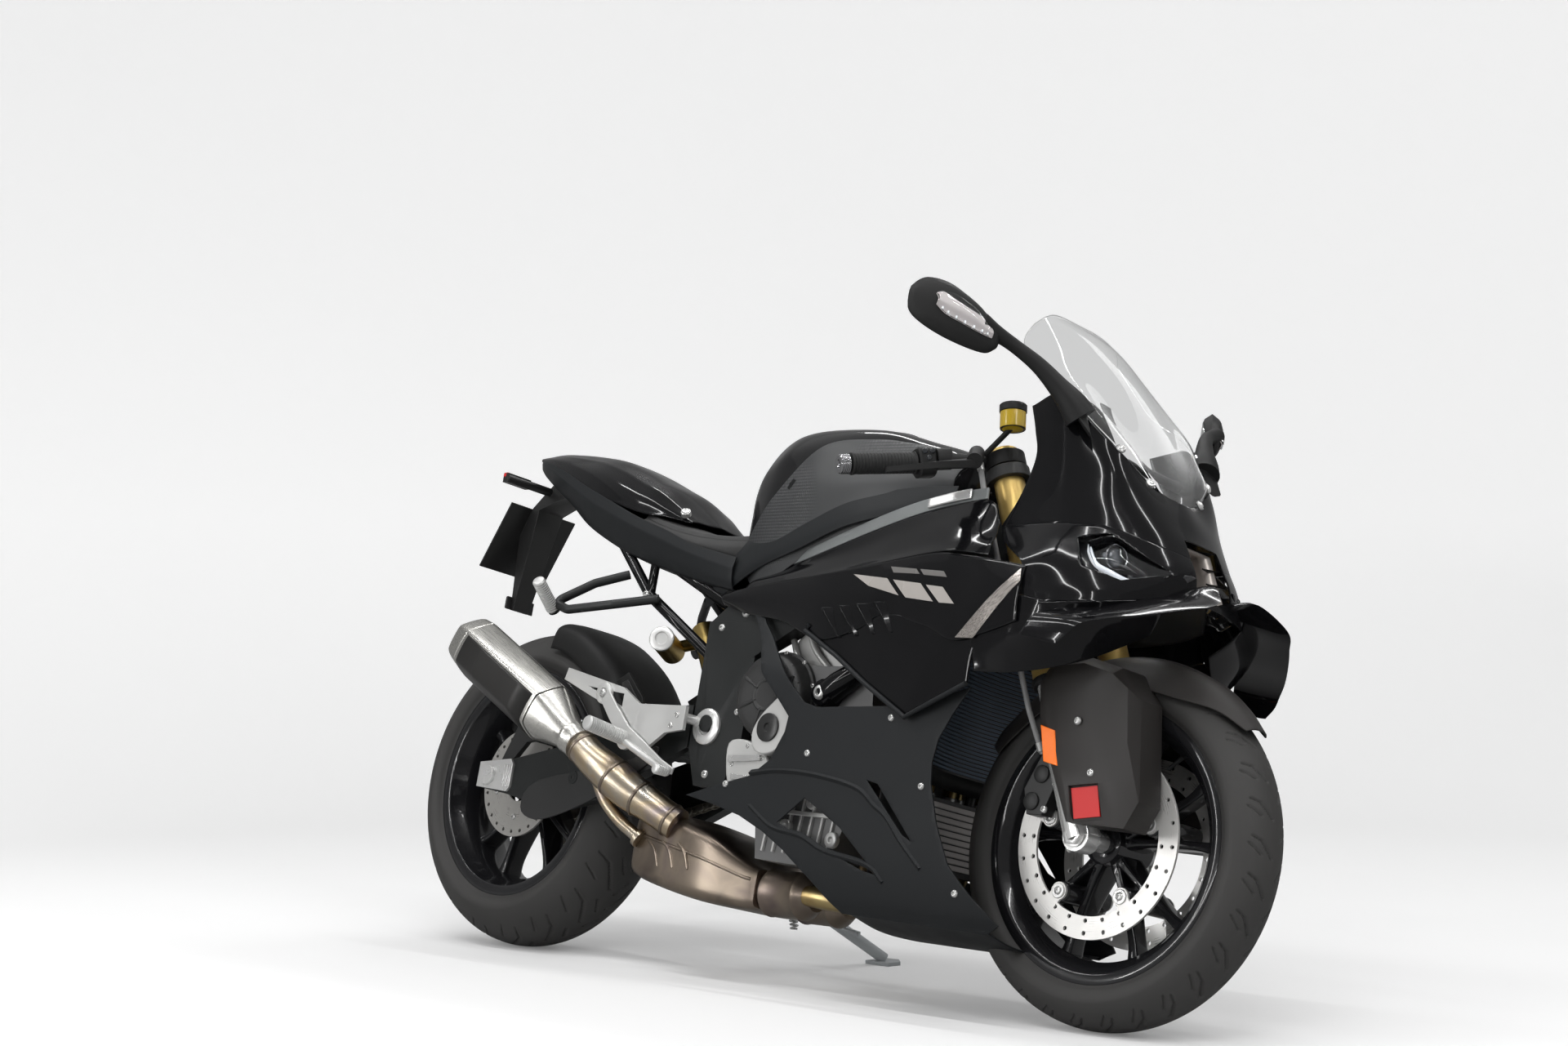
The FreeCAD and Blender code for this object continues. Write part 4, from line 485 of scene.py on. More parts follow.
GLOSS_BLACK = finish("gloss_black_paint", (0.0035, 0.0035, 0.004), 0.12, coat=0.25, grain=0.0, mottle=0.2,
                     swing=0.02, shine=0.12)
MATTE_BLACK = finish("matte_black_panel", (0.009, 0.010, 0.011), 0.5, grain=0.12, size=0.5, shine=0.2)
SOFT_BLACK = finish("moulded_black_plastic", (0.010, 0.010, 0.010), 0.52, grain=0.3, size=0.9, shine=0.2)
GUARD_GREY = finish("guard_grey_plastic", (0.020, 0.018, 0.017), 0.5, grain=0.25, size=0.8, shine=0.35)
RIM_BLACK = finish("rim_black_enamel", (0.008, 0.008, 0.009), 0.18, coat=0.4, grain=0.0, edge_light=0.4,
                   shine=0.3)
FRAME_BLACK = finish("frame_black_coat", (0.009, 0.010, 0.010), 0.4, grain=0.3, size=1.4, shine=0.35)
CAST_BLACK = finish("cast_black_cover", (0.022, 0.022, 0.022), 0.45, metal=0.3, grain=0.35, size=1.6)
CAST_SILVER = finish("cast_silver", (0.46, 0.46, 0.45), 0.42, metal=0.55, grain=0.35, size=1.8,
                     mottle=0.12)
CASE_GREY = finish("cast_case_grey", (0.13, 0.13, 0.13), 0.45, metal=0.5, grain=0.35, size=1.8,
                   mottle=0.15)
MACHINED = finish("machined_silver", (0.66, 0.66, 0.65), 0.26, metal=0.7, grain=0.05, size=0.6,
                  edge_light=0.3)
REARSET = finish("satin_silver", (0.56, 0.56, 0.55), 0.34, metal=0.6, grain=0.1, size=0.7, edge_light=0.2)
STAND_GREY = finish("stand_grey_paint", (0.40, 0.42, 0.43), 0.42, metal=0.3, grain=0.15)
GOLD = finish("gold_anodised", (0.60, 0.42, 0.14), 0.32, metal=0.7, grain=0.005, mottle=0.04)
GOLD_SHOCK = finish("gold_reservoir", (0.55, 0.40, 0.14), 0.32, metal=1.0, grain=0.05)
DARK_CHROME = finish("hard_chrome_dark", (0.30, 0.30, 0.31), 0.14, metal=1.0, grain=0.0)
STEEL = finish("bolt_steel", (0.56, 0.56, 0.55), 0.28, metal=0.75, grain=0.08, edge_light=0.3)
CHAIN_STEEL = finish("chain_steel", (0.34, 0.32, 0.28), 0.34, metal=1.0, grain=0.15)
RUBBER = finish("grip_rubber", (0.011, 0.011, 0.011), 0.64, shine=0.35, grain=0.3, size=1.2, edge_mm=0.6)
BRAKE_LINE = finish("brake_line_grey", (0.20, 0.20, 0.20), 0.36, grain=0.1)
SEAT_COVER = finish("seat_cover", (0.013, 0.013, 0.013), 0.58, grain=0.7, size=1.1, mottle=0.15)
PLATE_BLACK = finish("blank_plate", (0.010, 0.010, 0.010), 0.35, grain=0.05)
RED = finish("red_plastic", (0.44, 0.012, 0.012), 0.35, coat=0.1, grain=0.05, shine=0.3)
AMBER_LENS = finish("amber_reflector", (0.78, 0.15, 0.006), 0.2, coat=0.3, grain=0.5, size=3.0)
WHITE_BAR = finish("lamp_white_bar", (0.80, 0.82, 0.84), 0.22, coat=0.6, grain=0.02)
PALE_DUCT = finish("pale_duct_metal", (0.46, 0.42, 0.39), 0.34, metal=0.7, grain=0.1)
SILVER_GRAIN = finish("silver_grain_coat", (0.17, 0.18, 0.18), 0.42, metal=0.6, grain=0.9, size=1.6,
                      mottle=0.2)
BLADE_SILVER = brushed("blade_silver", (0.50, 0.46, 0.43), BLADE_ALONG, 0.2, 0.34)
SCREEN_GREY = finish("display_glass", (0.012, 0.014, 0.017), 0.08, coat=1.0, grain=0.0)
CORE_BLUE = finish("radiator_core", (0.10, 0.13, 0.17), 0.42, metal=0.6, grain=0.4, size=1.0)
CORE_PALE = finish("cooler_core", (0.36, 0.34, 0.33), 0.42, metal=0.6, grain=0.4, size=1.0)
CAN_STEEL = brushed("silencer_steel", (0.56, 0.55, 0.52), CAN_ALONG, 0.2, 0.4)
# Painted shade: a dark film for the silencer's lower faces, standing for the dark floor that they would
# mirror.
CAN_PAINTED_SHADE = finish("silencer_painted_shade", (0.020, 0.019, 0.018), 0.42, metal=0.3, grain=0.1)

# %% [markdown]
# Exhaust metal tells how hot it ran: straw and gold far from a weld, then brown and blue beside
# it. A slow noise along the pipes drives a colour ramp through those tints.

# %% Heat tints


def heat_tinted(name, tints, rough, scale):
    """Metal whose colour follows a ramp of tints over a slow noise."""
    look, tree, shader = blank_look(name)
    place = node(tree, "TexCoord").outputs["Object"]
    slow = node(tree, "TexNoise", [("Vector", place), ("Scale", scale), ("Detail", 3.0), ("Distortion", 0.6)])
    ramp = node(tree, "ValToRGB", [("Fac", slow.outputs["Fac"])])
    stops = ramp.color_ramp.elements
    while len(stops) < len(tints):
        stops.new(0.5)
    for stop, (position, colour) in zip(stops, tints):
        stop.position = position
        stop.color = (*colour, 1)
    effect = node(tree, "Group", [("Size mm", 2.0), ("Depth", 0.12)], node_tree=GRAIN)
    level = node(tree, "MapRange", [("Value", slow.outputs["Fac"]), ("To Min", rough - 0.1),
                                    ("To Max", rough + 0.12)])
    plug(tree, shader, [("Base Color", ramp.outputs["Color"]), ("Roughness", level.outputs[0]),
                        ("Normal", effect.outputs["Normal"]), ("Metallic", 1.0)])
    return look


HEADER_GOLD = heat_tinted("header_heat_tint", [(0.3, (0.30, 0.19, 0.08)), (0.5, (0.46, 0.36, 0.17)),
                                               (0.7, (0.24, 0.15, 0.10))], 0.3, 11.0)
BOX_BROWN = heat_tinted("collector_heat_tint", [(0.3, (0.16, 0.13, 0.11)), (0.5, (0.29, 0.24, 0.19)),
                                                (0.7, (0.19, 0.15, 0.14))], 0.34, 8.0)
LINK_STRAW = heat_tinted("link_heat_tint", [(0.3, (0.46, 0.43, 0.38)), (0.5, (0.47, 0.38, 0.26)),
                                            (0.7, (0.30, 0.26, 0.28))], 0.3, 14.0)

# %% [markdown]
# The screen and lamp covers are clear moulded plastic: a Principled BSDF with full transmission,
# thin enough that it hardly bends the light. Its faint tint and roughness follow the grain.

# %% Clear plastic


def clear(name, tint, ior, shine):
    """Clear plastic whose roughness runs from none to a faint haze."""
    look, tree, shader = blank_look(name)
    mottling = node(tree, "Group", [("Depth", 0.0)], node_tree=GRAIN).outputs["Mottle"]
    tint = np.array(tint, float)
    haze = node(tree, "MapRange", [("Value", mottling), ("To Min", 0.0), ("To Max", 0.02)])
    plug(tree, shader, [("Base Color", two_tone(tree, mottling, tint * 0.98, tint)),
                        ("Roughness", haze.outputs[0]), ("Transmission Weight", 1.0), ("IOR", ior),
                        ("Specular IOR Level", shine)])
    return look


CLEAR = clear("clear_screen", (0.98, 0.985, 0.985), 1.15, 0.25)
LAMP_CLEAR = clear("lamp_cover", (0.96, 0.97, 0.98), 1.3, 0.5)
FLUID_AMBER = finish("fluid_pot_amber", (0.34, 0.23, 0.012), 0.2, coat=0.4, grain=0.02)

# %% [markdown]
# Each CAD node that keeps its shape gets its finish here. A node that a finer piece stands for
# gets one too, so that nothing is bare if a piece is left out.

# %% Finishes of the CAD nodes
NODE_FINISH = {
    "front_tyre": RUBBER, "rear_tyre": RUBBER, "front_rim": RIM_BLACK, "rear_rim": RIM_BLACK,
    "front_discs": STEEL, "rear_disc": STEEL, "rear_sprocket": CHAIN_STEEL, "chain": CHAIN_STEEL,
    "swingarm": FRAME_BLACK, "rear_axle": MACHINED, "rear_caliper": CAST_BLACK, "rear_shock": GOLD_SHOCK,
    "rear_hugger": SOFT_BLACK, "frame": FRAME_BLACK, "subframe": GLOSS_BLACK, "engine": CASE_GREY,
    "engine_covers": CAST_BLACK, "exhaust_headers": HEADER_GOLD, "silencer": CAN_STEEL,
    "radiators": PLATE_BLACK, "lower_fairing_right": MATTE_BLACK, "lower_fairing_left": MATTE_BLACK,
    "side_fairing_right": GLOSS_BLACK, "side_fairing_left": GLOSS_BLACK, "nose_fairing": GLOSS_BLACK,
    "headlamps": SOFT_BLACK, "winglets": GLOSS_BLACK, "windscreen": CLEAR, "mirrors": SOFT_BLACK,
    "dash": SOFT_BLACK, "fuel_tank": MATTE_BLACK, "fuel_cap": GLOSS_BLACK, "tail_fairing": MATTE_BLACK,
    "pillion_cowl": GLOSS_BLACK, "rider_seat": SEAT_COVER, "plate_carrier": PLATE_BLACK,
    "rider_footrests": REARSET, "pillion_footrests": FRAME_BLACK, "side_stand": STAND_GREY,
    "stand_bracket": FRAME_BLACK, "fork_tubes": GOLD, "fork_feet": MACHINED, "triple_clamps": CAST_BLACK,
    "handlebars": SOFT_BLACK, "levers": SOFT_BLACK, "front_mudguard": GUARD_GREY,
    "front_calipers": CAST_BLACK, "brake_hoses": BRAKE_LINE,
}
for name, item in nodes.items():
    item.data.materials.clear()
    item.data.materials.append(NODE_FINISH[name])
print(len(nodes), "nodes finished")

# %% [markdown]
# Castings, welded frames and milled plates keep the solid model's shape. Each is shown by a clean
# copy whose loose triangles are merged, and most get their corners rounded, as real edges are.

# %% Pieces that keep the solid model's shape
KEPT_SHAPES = [
    # node, width of a rounded corner in mm (0 leaves it sharp), steps round the corner
    ("engine", 7, 3), ("radiators", 2, 2), ("swingarm", 5, 3), ("frame", 4, 3), ("subframe", 0, 0),
    ("rear_axle", 1, 2), ("rear_caliper", 3, 2), ("rear_shock", 2, 2), ("stand_bracket", 2, 2),
    ("side_stand", 2, 2), ("rear_sprocket", 0.6, 1), ("rider_footrests", 1.6, 2),
    ("pillion_footrests", 1.5, 2), ("plate_carrier", 1.2, 2), ("fork_tubes", 0, 0), ("fork_feet", 2, 2),
    ("triple_clamps", 3, 3), ("front_calipers", 3, 3), ("brake_hoses", 0, 0), ("handlebars", 1, 2),
    ("levers", 2, 2), ("dash", 3, 3),
]
for name, corner, steps in KEPT_SHAPES:
    item = copied(name, NODE_FINISH[name])
    if corner:
        rounded(item, corner, steps)

# %% [markdown]
# The tyres carry the machine's grip, so their tread is cut deep enough to see. A tyre is the curve
# of its section swung round the axle, and a groove is every place that lies within half a groove's
# width of a short line, repeated round the tyre. Working on the distance to a line keeps the
# groove's walls clean at any angle, which a painted pattern would not.

# %% Tyre shapes
TYRE_LOOK = finish("tyre_rubber", (0.026, 0.025, 0.024), 0.66, grain=0.5, size=1.6, mottle=0.25, edge_mm=0.5,
                   edge_light=0.5)
GROOVE_DEEP = 3.5
GROOVE_EDGE = 1.6
BEAD_R = 217.0
# Grooves of one pitch, as (across start, round start, across end, round end, half width).
FRONT_GROOVES = [(10, 0, 30, 26, 2.0), (30, 26, 46, 34, 1.5), (30, 4, 52, 22, 1.2)]
REAR_GROOVES = [(14, 0, 44, 52, 2.2), (44, 52, 72, 66, 1.7), (52, 8, 84, 30, 1.4), (4, 40, 22, 70, 1.6)]
TYRES = [
    # name, axle, radius, half width, crown radius, half rim width, pitches, grooves, points across, body
    ("front_tyre", FRONT_AXLE, FRONT_R, 60.0, 64.0, 51.0, 30, FRONT_GROOVES, 58, "front_wheel"),
    ("rear_tyre", REAR_AXLE, REAR_R, 95.0, 104.0, 83.0, 20, REAR_GROOVES, 72, "rear_wheel"),
]


def line_distance(u, v, line):
    """Distance of each (round u, across v) to a line, whose nearest point is kept on the line."""
    v0, u0, v1, u1, _ = line
    span = np.array([u1 - u0, v1 - v0])
    share = np.clip(((u - u0) * span[0] + (v - v0) * span[1]) / (span @ span), 0, 1)
    return np.hypot(u - u0 - share * span[0], v - v0 - share * span[1])


def tyre(name, axle, radius, half, crown, rim_half, count, grooves, across, body, sides=960):
    """Section: round crown of the crown radius, then a bulged wall down to the bead. The tread
    sinks to its full depth where the distance to a groove's line is under its half width."""
    reach = math.asin(half / crown)
    turn = np.linspace(-reach, reach, across)
    tread = np.stack([crown * np.sin(turn), radius - crown + crown * np.cos(turn)], 1)
    low = tread[-1, 1]
    wall = smooth([(half, low), (half + 0.2, low - 8), (half * 0.95, 240), (rim_half - 1, 231.5),
                   (rim_half - 7, BEAD_R)], 13)[1:]
    inner = wall * [-1, 1]
    section = np.concatenate([inner[::-1], tread, wall])
    grid = np.empty((sides, len(section), 3))
    angle = np.linspace(0, 2 * math.pi, sides, endpoint=False)[:, None]
    pitch = 2 * math.pi * radius / count
    u = (angle * radius) % pitch
    v = crown * np.arcsin(np.clip(section[None, :, 0] / crown, -1, 1))
    sink = np.zeros((sides, len(section)))
    for side in (-1, 1):
        place = (u + (pitch / 2 if side > 0 else 0)) % pitch
        for line in grooves:
            for shift in (-pitch, 0, pitch):
                away = line_distance(place + shift, side * v, line)
                sink = np.maximum(sink, np.clip((line[4] + 0.9 - away) / GROOVE_EDGE, 0, 1))
    sink[:, :len(inner)] = 0
    sink[:, len(inner) + across:] = 0
    deep = section[None, :, 1] - GROOVE_DEEP * sink
    grid[..., 0] = axle[0] + deep * np.cos(angle)
    grid[..., 1] = section[None, :, 0]
    grid[..., 2] = axle[2] + deep * np.sin(angle)
    item = gather(name + "_tread", [grid_part(grid, ring_rows=True, ring_columns=True)], body, TYRE_LOOK)
    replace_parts(item, name)


for row in TYRES:
    tyre(*row)
print("tyres done")

# %% [markdown]
# A cast wheel is a thin barrel, a hub and five pairs of spokes. The barrel and hub are profiles
# turned about the axle. A spoke is a soft-cornered bar that thins towards the rim and leans away
# from its twin, so light runs along its rounded edge in one line.

# %% Wheels
ACROSS = np.array([0, 1.0, 0])
SPOKE_PAIRS = 5
BOSS_R = 106.0
SPOKE_STEPS = [
    # distance from the axle, degrees from the pair's middle, half width, share of the hub's half width
    (29, 9, 11, 0.66), (60, 10.5, 8.5, 0.58), (110, 12.5, 7.5, 0.46), (160, 14, 8, 0.38),
    (192.5, 15.5, 11, 0.42),
]


def ring_turned(profile, centre, way, sides=128):
    """Closed ring from a closed profile of (along, radius) pairs."""
    return grid_part(turned_grid(profile, centre, way, sides), ring_rows=True, ring_columns=True)


def soft_ring(centre, wide_way, deep_way, wide, deep, power=4.0, sides=16):
    """Soft-cornered rectangle: an oval whose cosine and sine are raised to 2 / power."""
    angle = np.linspace(0, 2 * math.pi, sides, endpoint=False) + math.pi / sides
    c, s = np.cos(angle), np.sin(angle)
    x = np.sign(c) * np.abs(c) ** (2 / power) * wide
    y = np.sign(s) * np.abs(s) ** (2 / power) * deep
    return np.asarray(centre, float) + x[:, None] * np.asarray(wide_way) + y[:, None] * np.asarray(deep_way)


def pair_angle(number):
    """Direction midway between the two spokes of a pair."""
    return math.radians(90 + 360 / SPOKE_PAIRS * number)


def wheel_point(axle, radius, angle, y=0.0):
    """Point at a distance and an angle round an axle."""
    return np.array([axle[0] + radius * math.cos(angle), y, axle[2] + radius * math.sin(angle)])


def wheel(name, axle, rim_half, hub_half, bosses, body):
    """Barrel, hub, ten spokes and the seats of the discs, as closed shells in one piece. A boss
    carries the disc's bolt between the spokes of a pair; bosses is half its length, or 0."""
    lip = rim_half
    outside = [(lip - 1.5, 231), (lip - 5, 229), (lip - 6, 216), (lip * 0.55, 204), (lip * 0.4, 196.5)]
    inside = [(lip * 0.45, 190), (lip * 0.6, 198), (lip - 3, 210), (lip, 216), (lip, 228)]
    barrel = outside + [(-y, r) for y, r in outside[::-1]] + [(-y, r) for y, r in inside[::-1]] + inside
    hub_side = [(hub_half, 13.2), (hub_half, 30), (hub_half - 3, 35)]
    hub = hub_side + [(-y, r) for y, r in hub_side[::-1]]
    parts = [ring_turned(barrel, axle, ACROSS, 144), ring_turned(hub, axle, ACROSS, 64)]
    for pair in range(SPOKE_PAIRS):
        middle = pair_angle(pair)
        for side in (-1, 1):
            rings = []
            for radius, splay, wide, deep in SPOKE_STEPS:
                angle = middle + side * math.radians(splay)
                across = np.array([-math.sin(angle), 0, math.cos(angle)])
                rings.append(soft_ring(wheel_point(axle, radius, angle), across, ACROSS, wide,
                                       hub_half * deep))
            parts.append(block(smooth(rings, 16)))
        if bosses:
            boss = [(-bosses, 15.5), (-bosses + 2, 18), (bosses - 2, 18), (bosses, 15.5)]
            parts.append(turned(boss, wheel_point(axle, BOSS_R, middle), ACROSS, 32))
    item = gather(name + "_cast", parts, body, RIM_BLACK)
    rounded(item, 1.0, 2, 40)
    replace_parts(item, name)


wheel("front_rim", FRONT_AXLE, rim_half=51.0, hub_half=50.0, bosses=60.0, body="front_wheel")
wheel("rear_rim", REAR_AXLE, rim_half=83.0, hub_half=62.0, bosses=0, body="rear_wheel")
SEAT_RING = [(-67.5, 64), (-67.5, 76), (-30, 76), (-30, 64)]
gather("rear_disc_seat", [ring_turned(SEAT_RING, REAR_AXLE, ACROSS, 64)], "rear_wheel", RIM_BLACK)

# %% [markdown]
# The discs are ground steel, so their face is covered with fine arcs about the axle. A pattern on
# the distance from the axle gives those arcs, and the drilled holes come from the solid model.

# %% Brake discs and their bolts


def ground_steel(name, axle, colour):
    """Metal whose roughness and tone swing with the distance from an axle, as grinding leaves it."""
    look, tree, shader = blank_look(name)
    place = node(tree, "TexCoord").outputs["Object"]
    away = node(tree, "VectorMath", [(0, place), (1, tuple(lean_over(axle)))], operation="DISTANCE")
    far = node(tree, "CombineXYZ", [("X", away.outputs["Value"])])
    arcs = node(tree, "TexNoise", [("Vector", far.outputs[0]), ("Scale", 900.0), ("Detail", 3.0)])
    blot = node(tree, "TexNoise", [("Vector", place), ("Scale", 30.0), ("Detail", 3.0)])
    mixed = node(tree, "Math", [(0, arcs.outputs["Fac"]), (1, blot.outputs["Fac"])], operation="ADD")
    colour = np.array(colour)
    level = node(tree, "MapRange", [("Value", mixed.outputs[0]), ("From Min", 0.6), ("From Max", 1.4),
                                    ("To Min", 0.22), ("To Max", 0.42)])
    bump = node(tree, "Bump", [("Strength", 0.15), ("Distance", 0.0002), ("Height", arcs.outputs["Fac"])])
    plug(tree, shader, [("Base Color", two_tone(tree, arcs.outputs["Fac"], colour * 0.75, colour)),
                        ("Roughness", level.outputs[0]), ("Normal", bump.outputs[0]), ("Metallic", 0.55)])
    return look


DISCS = [
    # node, name of its steel, axle, colour
    ("front_discs", "front_disc_steel", FRONT_AXLE, (0.66, 0.65, 0.63)),
    ("rear_disc", "rear_disc_steel", REAR_AXLE, (0.40, 0.39, 0.37)),
]
for name, steel, axle, colour in DISCS:
    rounded(copied(name, ground_steel(steel, axle, colour)), 0.5, 1)


def screw(centre, way, radius=5.0, tall=0.55):
    """Button head with a six-sided socket, sunk to a flat floor."""
    way = np.asarray(way, float) / np.linalg.norm(way)
    high = radius * tall
    return turned([(-1.5, radius), (high * 0.35, radius), (high * 0.8, radius * 0.82), (high, radius * 0.6),
                   (high, radius * 0.46), (high * 0.3, radius * 0.42)], centre, way, 18)


def hex_head(centre, way, radius=8.0, tall=5.0, bore=0.0):
    """Six-sided head with a round washer face, and a bore where it has one."""
    way = np.asarray(way, float) / np.linalg.norm(way)
    washer = turned([(-0.5, radius * 1.12), (0.8, radius * 1.12), (0.9, radius)], centre, way, 32)
    profile = [(0.8, radius), (tall - 0.8, radius), (tall, radius * 0.9)]
    if bore:
        profile += [(tall, bore), (tall * 0.2, bore)]
    return [washer, turned(profile, centre, way, 6)]


FRONT_DISC_FACE = 65.5
REAR_DISC_FACE = 73.0
REAR_BOLT_R = 70.0
BOBBIN = [(0, 12.5), (1.6, 12.5), (2.4, 11.5), (2.4, 7.2), (1.0, 7.0)]
BETWEEN_PAIRS = math.radians(54)
front_bolts, rear_bolts = [], []
for pair in range(SPOKE_PAIRS):
    for side in (-1, 1):
        out = ACROSS * side
        face = wheel_point(FRONT_AXLE, BOSS_R, pair_angle(pair)) + out * FRONT_DISC_FACE
        front_bolts += [turned(BOBBIN, face, out, 28), screw(face + out, out, 6.4, 0.5)]
    spot = wheel_point(REAR_AXLE, REAR_BOLT_R, BETWEEN_PAIRS + math.radians(72 * pair))
    rear_bolts.append(screw(spot - ACROSS * REAR_DISC_FACE, -ACROSS, 6.5))
gather("front_disc_bolts", front_bolts, "front_wheel", STEEL)
gather("rear_disc_bolts", rear_bolts, "rear_wheel", STEEL)

for axle, body in ((FRONT_AXLE, "front_wheel"), (REAR_AXLE, "rear_wheel")):
    foot = wheel_point(axle, 190, BETWEEN_PAIRS, -14)
    tip = wheel_point(axle, 160, BETWEEN_PAIRS, -26)
    gather(body + "_valve", [tube([foot, (foot + tip) / 2, tip], [4.2, 3.4, 3.6], 12)], body, SOFT_BLACK)

# %% [markdown]
# The bodywork is moulded in thin shells, each one smooth surface between sharp lines. A net of
# measured points is drawn smooth in both directions, with breaks where the panel has a crease,
# then gets its wall behind the face and slightly rounded edges, which catch a thin line of light.

# %% Panels
SIDES = (("right", 1), ("left", -1))
OUTWARD = (0, -1, 0)


def mirrored_net(half_rows):
    """Full rows from half rows that run from the middle outwards: right side, middle, left side."""
    half = np.asarray(half_rows, float)
    right = half[:, :0:-1] * [1, -1, 1]
    return np.concatenate([right, half], 1)


def whole_row(right):
    """Full row from its right half, which ends in the middle."""
    return right + [(x, -y, z) for x, y, z in right[-2::-1]]


def panel(name, net, rows, columns, look, way, wall=3.0, soften=0.9, body="chassis", replaces=None,
          row_creases=(), column_creases=()):
    """Smooth shell through a net, facing way, with its wall behind the face and soft edges."""
    grid = smooth_net(net, rows, columns, row_creases, column_creases)
    item = facing(gather(name, [grid_part(grid)], body, look, solid=False), way)
    walled(item, wall)
    if soften:
        rounded(item, soften, 2, 40)
    if replaces:
        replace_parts(item, replaces)
    return item


def pair_of(name, net, rows, columns, look, way, replaces=None, **more):
    """A panel on the right and its mirror image on the left."""
    for side, sign in SIDES:
        flip = np.array([1.0, sign, 1.0])
        panel(f"{name}_{side}", np.asarray(net, float) * flip, rows, columns, look, np.asarray(way) * flip,
              replaces=f"{replaces}_{side}" if replaces else None, **more)


# The nose in half rows, each from the middle out to the edge at the rear.
NOSE_TOP_ROWS = [
    [(1490, 0, 880), (1473, 58, 893), (1447, 125, 935), (1396, 163, 985), (1345, 183, 1030),
     (1275, 170, 1015)],
    [(1511, 0, 850), (1492, 68, 866), (1455, 138, 905), (1408, 168, 938), (1364, 184, 965), (1296, 177, 968)],
    [(1530, 0, 820), (1508, 78, 838), (1462, 148, 868), (1420, 172, 888), (1374, 186, 905), (1309, 181, 920)],
    [(1548, 0, 795), (1524, 86, 808), (1468, 157, 832), (1425, 179, 843), (1372, 190, 850), (1292, 186, 852)],
    [(1562, 0, 770), (1537, 92, 780), (1474, 163, 797), (1430, 184, 800), (1374, 196, 800), (1264, 190, 798)],
]
NOSE_LOW_ROWS = [
    NOSE_TOP_ROWS[-1],
    [(1573, 0, 752), (1551, 94, 755), (1489, 178, 757), (1442, 208, 763), (1388, 222, 765), (1300, 214, 762)],
    [(1580, 0, 735), (1560, 96, 730), (1503, 198, 716), (1456, 232, 722), (1408, 247, 724), (1368, 250, 722)],
    [(1579, 0, 716), (1562, 104, 708), (1508, 215, 686), (1462, 248, 682), (1414, 256, 680),
     (1384, 257, 678)],
    [(1572, 0, 700), (1560, 112, 690), (1510, 226, 661), (1462, 254, 655), (1420, 259, 653),
     (1398, 259, 652)],
]
LAMP_HOLE = [(1437, 774), (1478, 788), (1560, 737), (1522, 706), (1470, 722)]
INTAKE_HOLE = [(-46, 806), (46, 806), (50, 716), (0, 708), (-50, 716)]
NOSE_PANELS = [
    # name, rows, points down, way it faces, node that it replaces
    ("nose_upper", NOSE_TOP_ROWS, 49, (1, 0, 1), "nose_fairing"),
    ("nose_lower", NOSE_LOW_ROWS, 37, (1, 0, 0), None),
]
for name, rows, down, way, node_name in NOSE_PANELS:
    shell = apply_all(panel(name, mirrored_net(rows), down, 97, GLOSS_BLACK, way, soften=0,
                            replaces=node_name))
    carve(shell, both([slab(LAMP_HOLE, -240, -66)]) + [slab(INTAKE_HOLE, 1480, 1640, axis=0)])
    rounded(shell, 0.8, 2, 50)
print("nose done")

# %% [markdown]
# The side fairing's upper panel ends in a crisp line along its top. Its lower panel is a flat
# glossy blade set a little inboard, with a raised lip round its lower corner. Grey slashes and a
# silver blade decorate it, each a thin film just above the panel, whose place is read from the panel.

# %% Side fairings
SIDE_PANEL = [
    # x, z low, out low, z high, out high
    (585, 672, 152, 694, 152),
    (662, 652, 162, 702, 165),
    (785, 632, 186, 710, 185),
    (894, 596, 205, 718, 204),
    (1000, 612, 220, 728, 215),
    (1062, 636, 228, 734, 222),
    (1168, 616, 239, 743, 234),
    (1241, 590, 246, 736, 243),
    (1310, 600, 254, 726, 252),
    (1384, 620, 260, 714, 256),
]


SWELL = 7.0


def panel_out(x, z):
    """Distance out of the side panel at a place, with its gentle swell halfway up."""
    rows = np.asarray(SIDE_PANEL, float)
    low, y_low, high, y_high = (np.interp(x, rows[:, 0], rows[:, k]) for k in (1, 2, 3, 4))
    part = np.clip((z - low) / (high - low), -0.1, 1.1)
    return y_low + (y_high - y_low) * part + SWELL * np.sin(np.pi * np.clip(part, 0, 1))


side_net = [[(x, -panel_out(x, z), z) for z in np.linspace(low, high, 6)]
            for x, low, _, high, _ in SIDE_PANEL]
pair_of("side_panel", side_net, 91, 25, GLOSS_BLACK, (0, -1, 0.2), replaces="side_fairing")

WING_PANEL = [
    # rows of the flat lower blade from front to rear, each from its lower edge up
    [(1282, -240, 520), (1286, -243, 560), (1296, -247, 604)],
    [(1145, -222, 464), (1170, -233, 540), (1180, -238, 622)],
    [(1030, -212, 522), (1050, -221, 575), (1068, -230, 636)],
    [(955, -206, 566), (960, -208, 585), (968, -212, 606)],
    [(859, -202, 608), (868, -202, 616), (880, -203, 622)],
]
pair_of("wing_panel", WING_PANEL, 41, 17, GLOSS_BLACK, OUTWARD, row_creases=(1,), wall=4.0)
LIP_PATH = [(870, -206, 622), (862, -206, 612), (948, -208, 568), (1030, -214, 520), (1145, -225, 461),
            (1215, -234, 490), (1284, -243, 518)]
gather("wing_panel_lips", both([tube(LIP_PATH, 4.5, 10)]), "chassis", MATTE_BLACK)

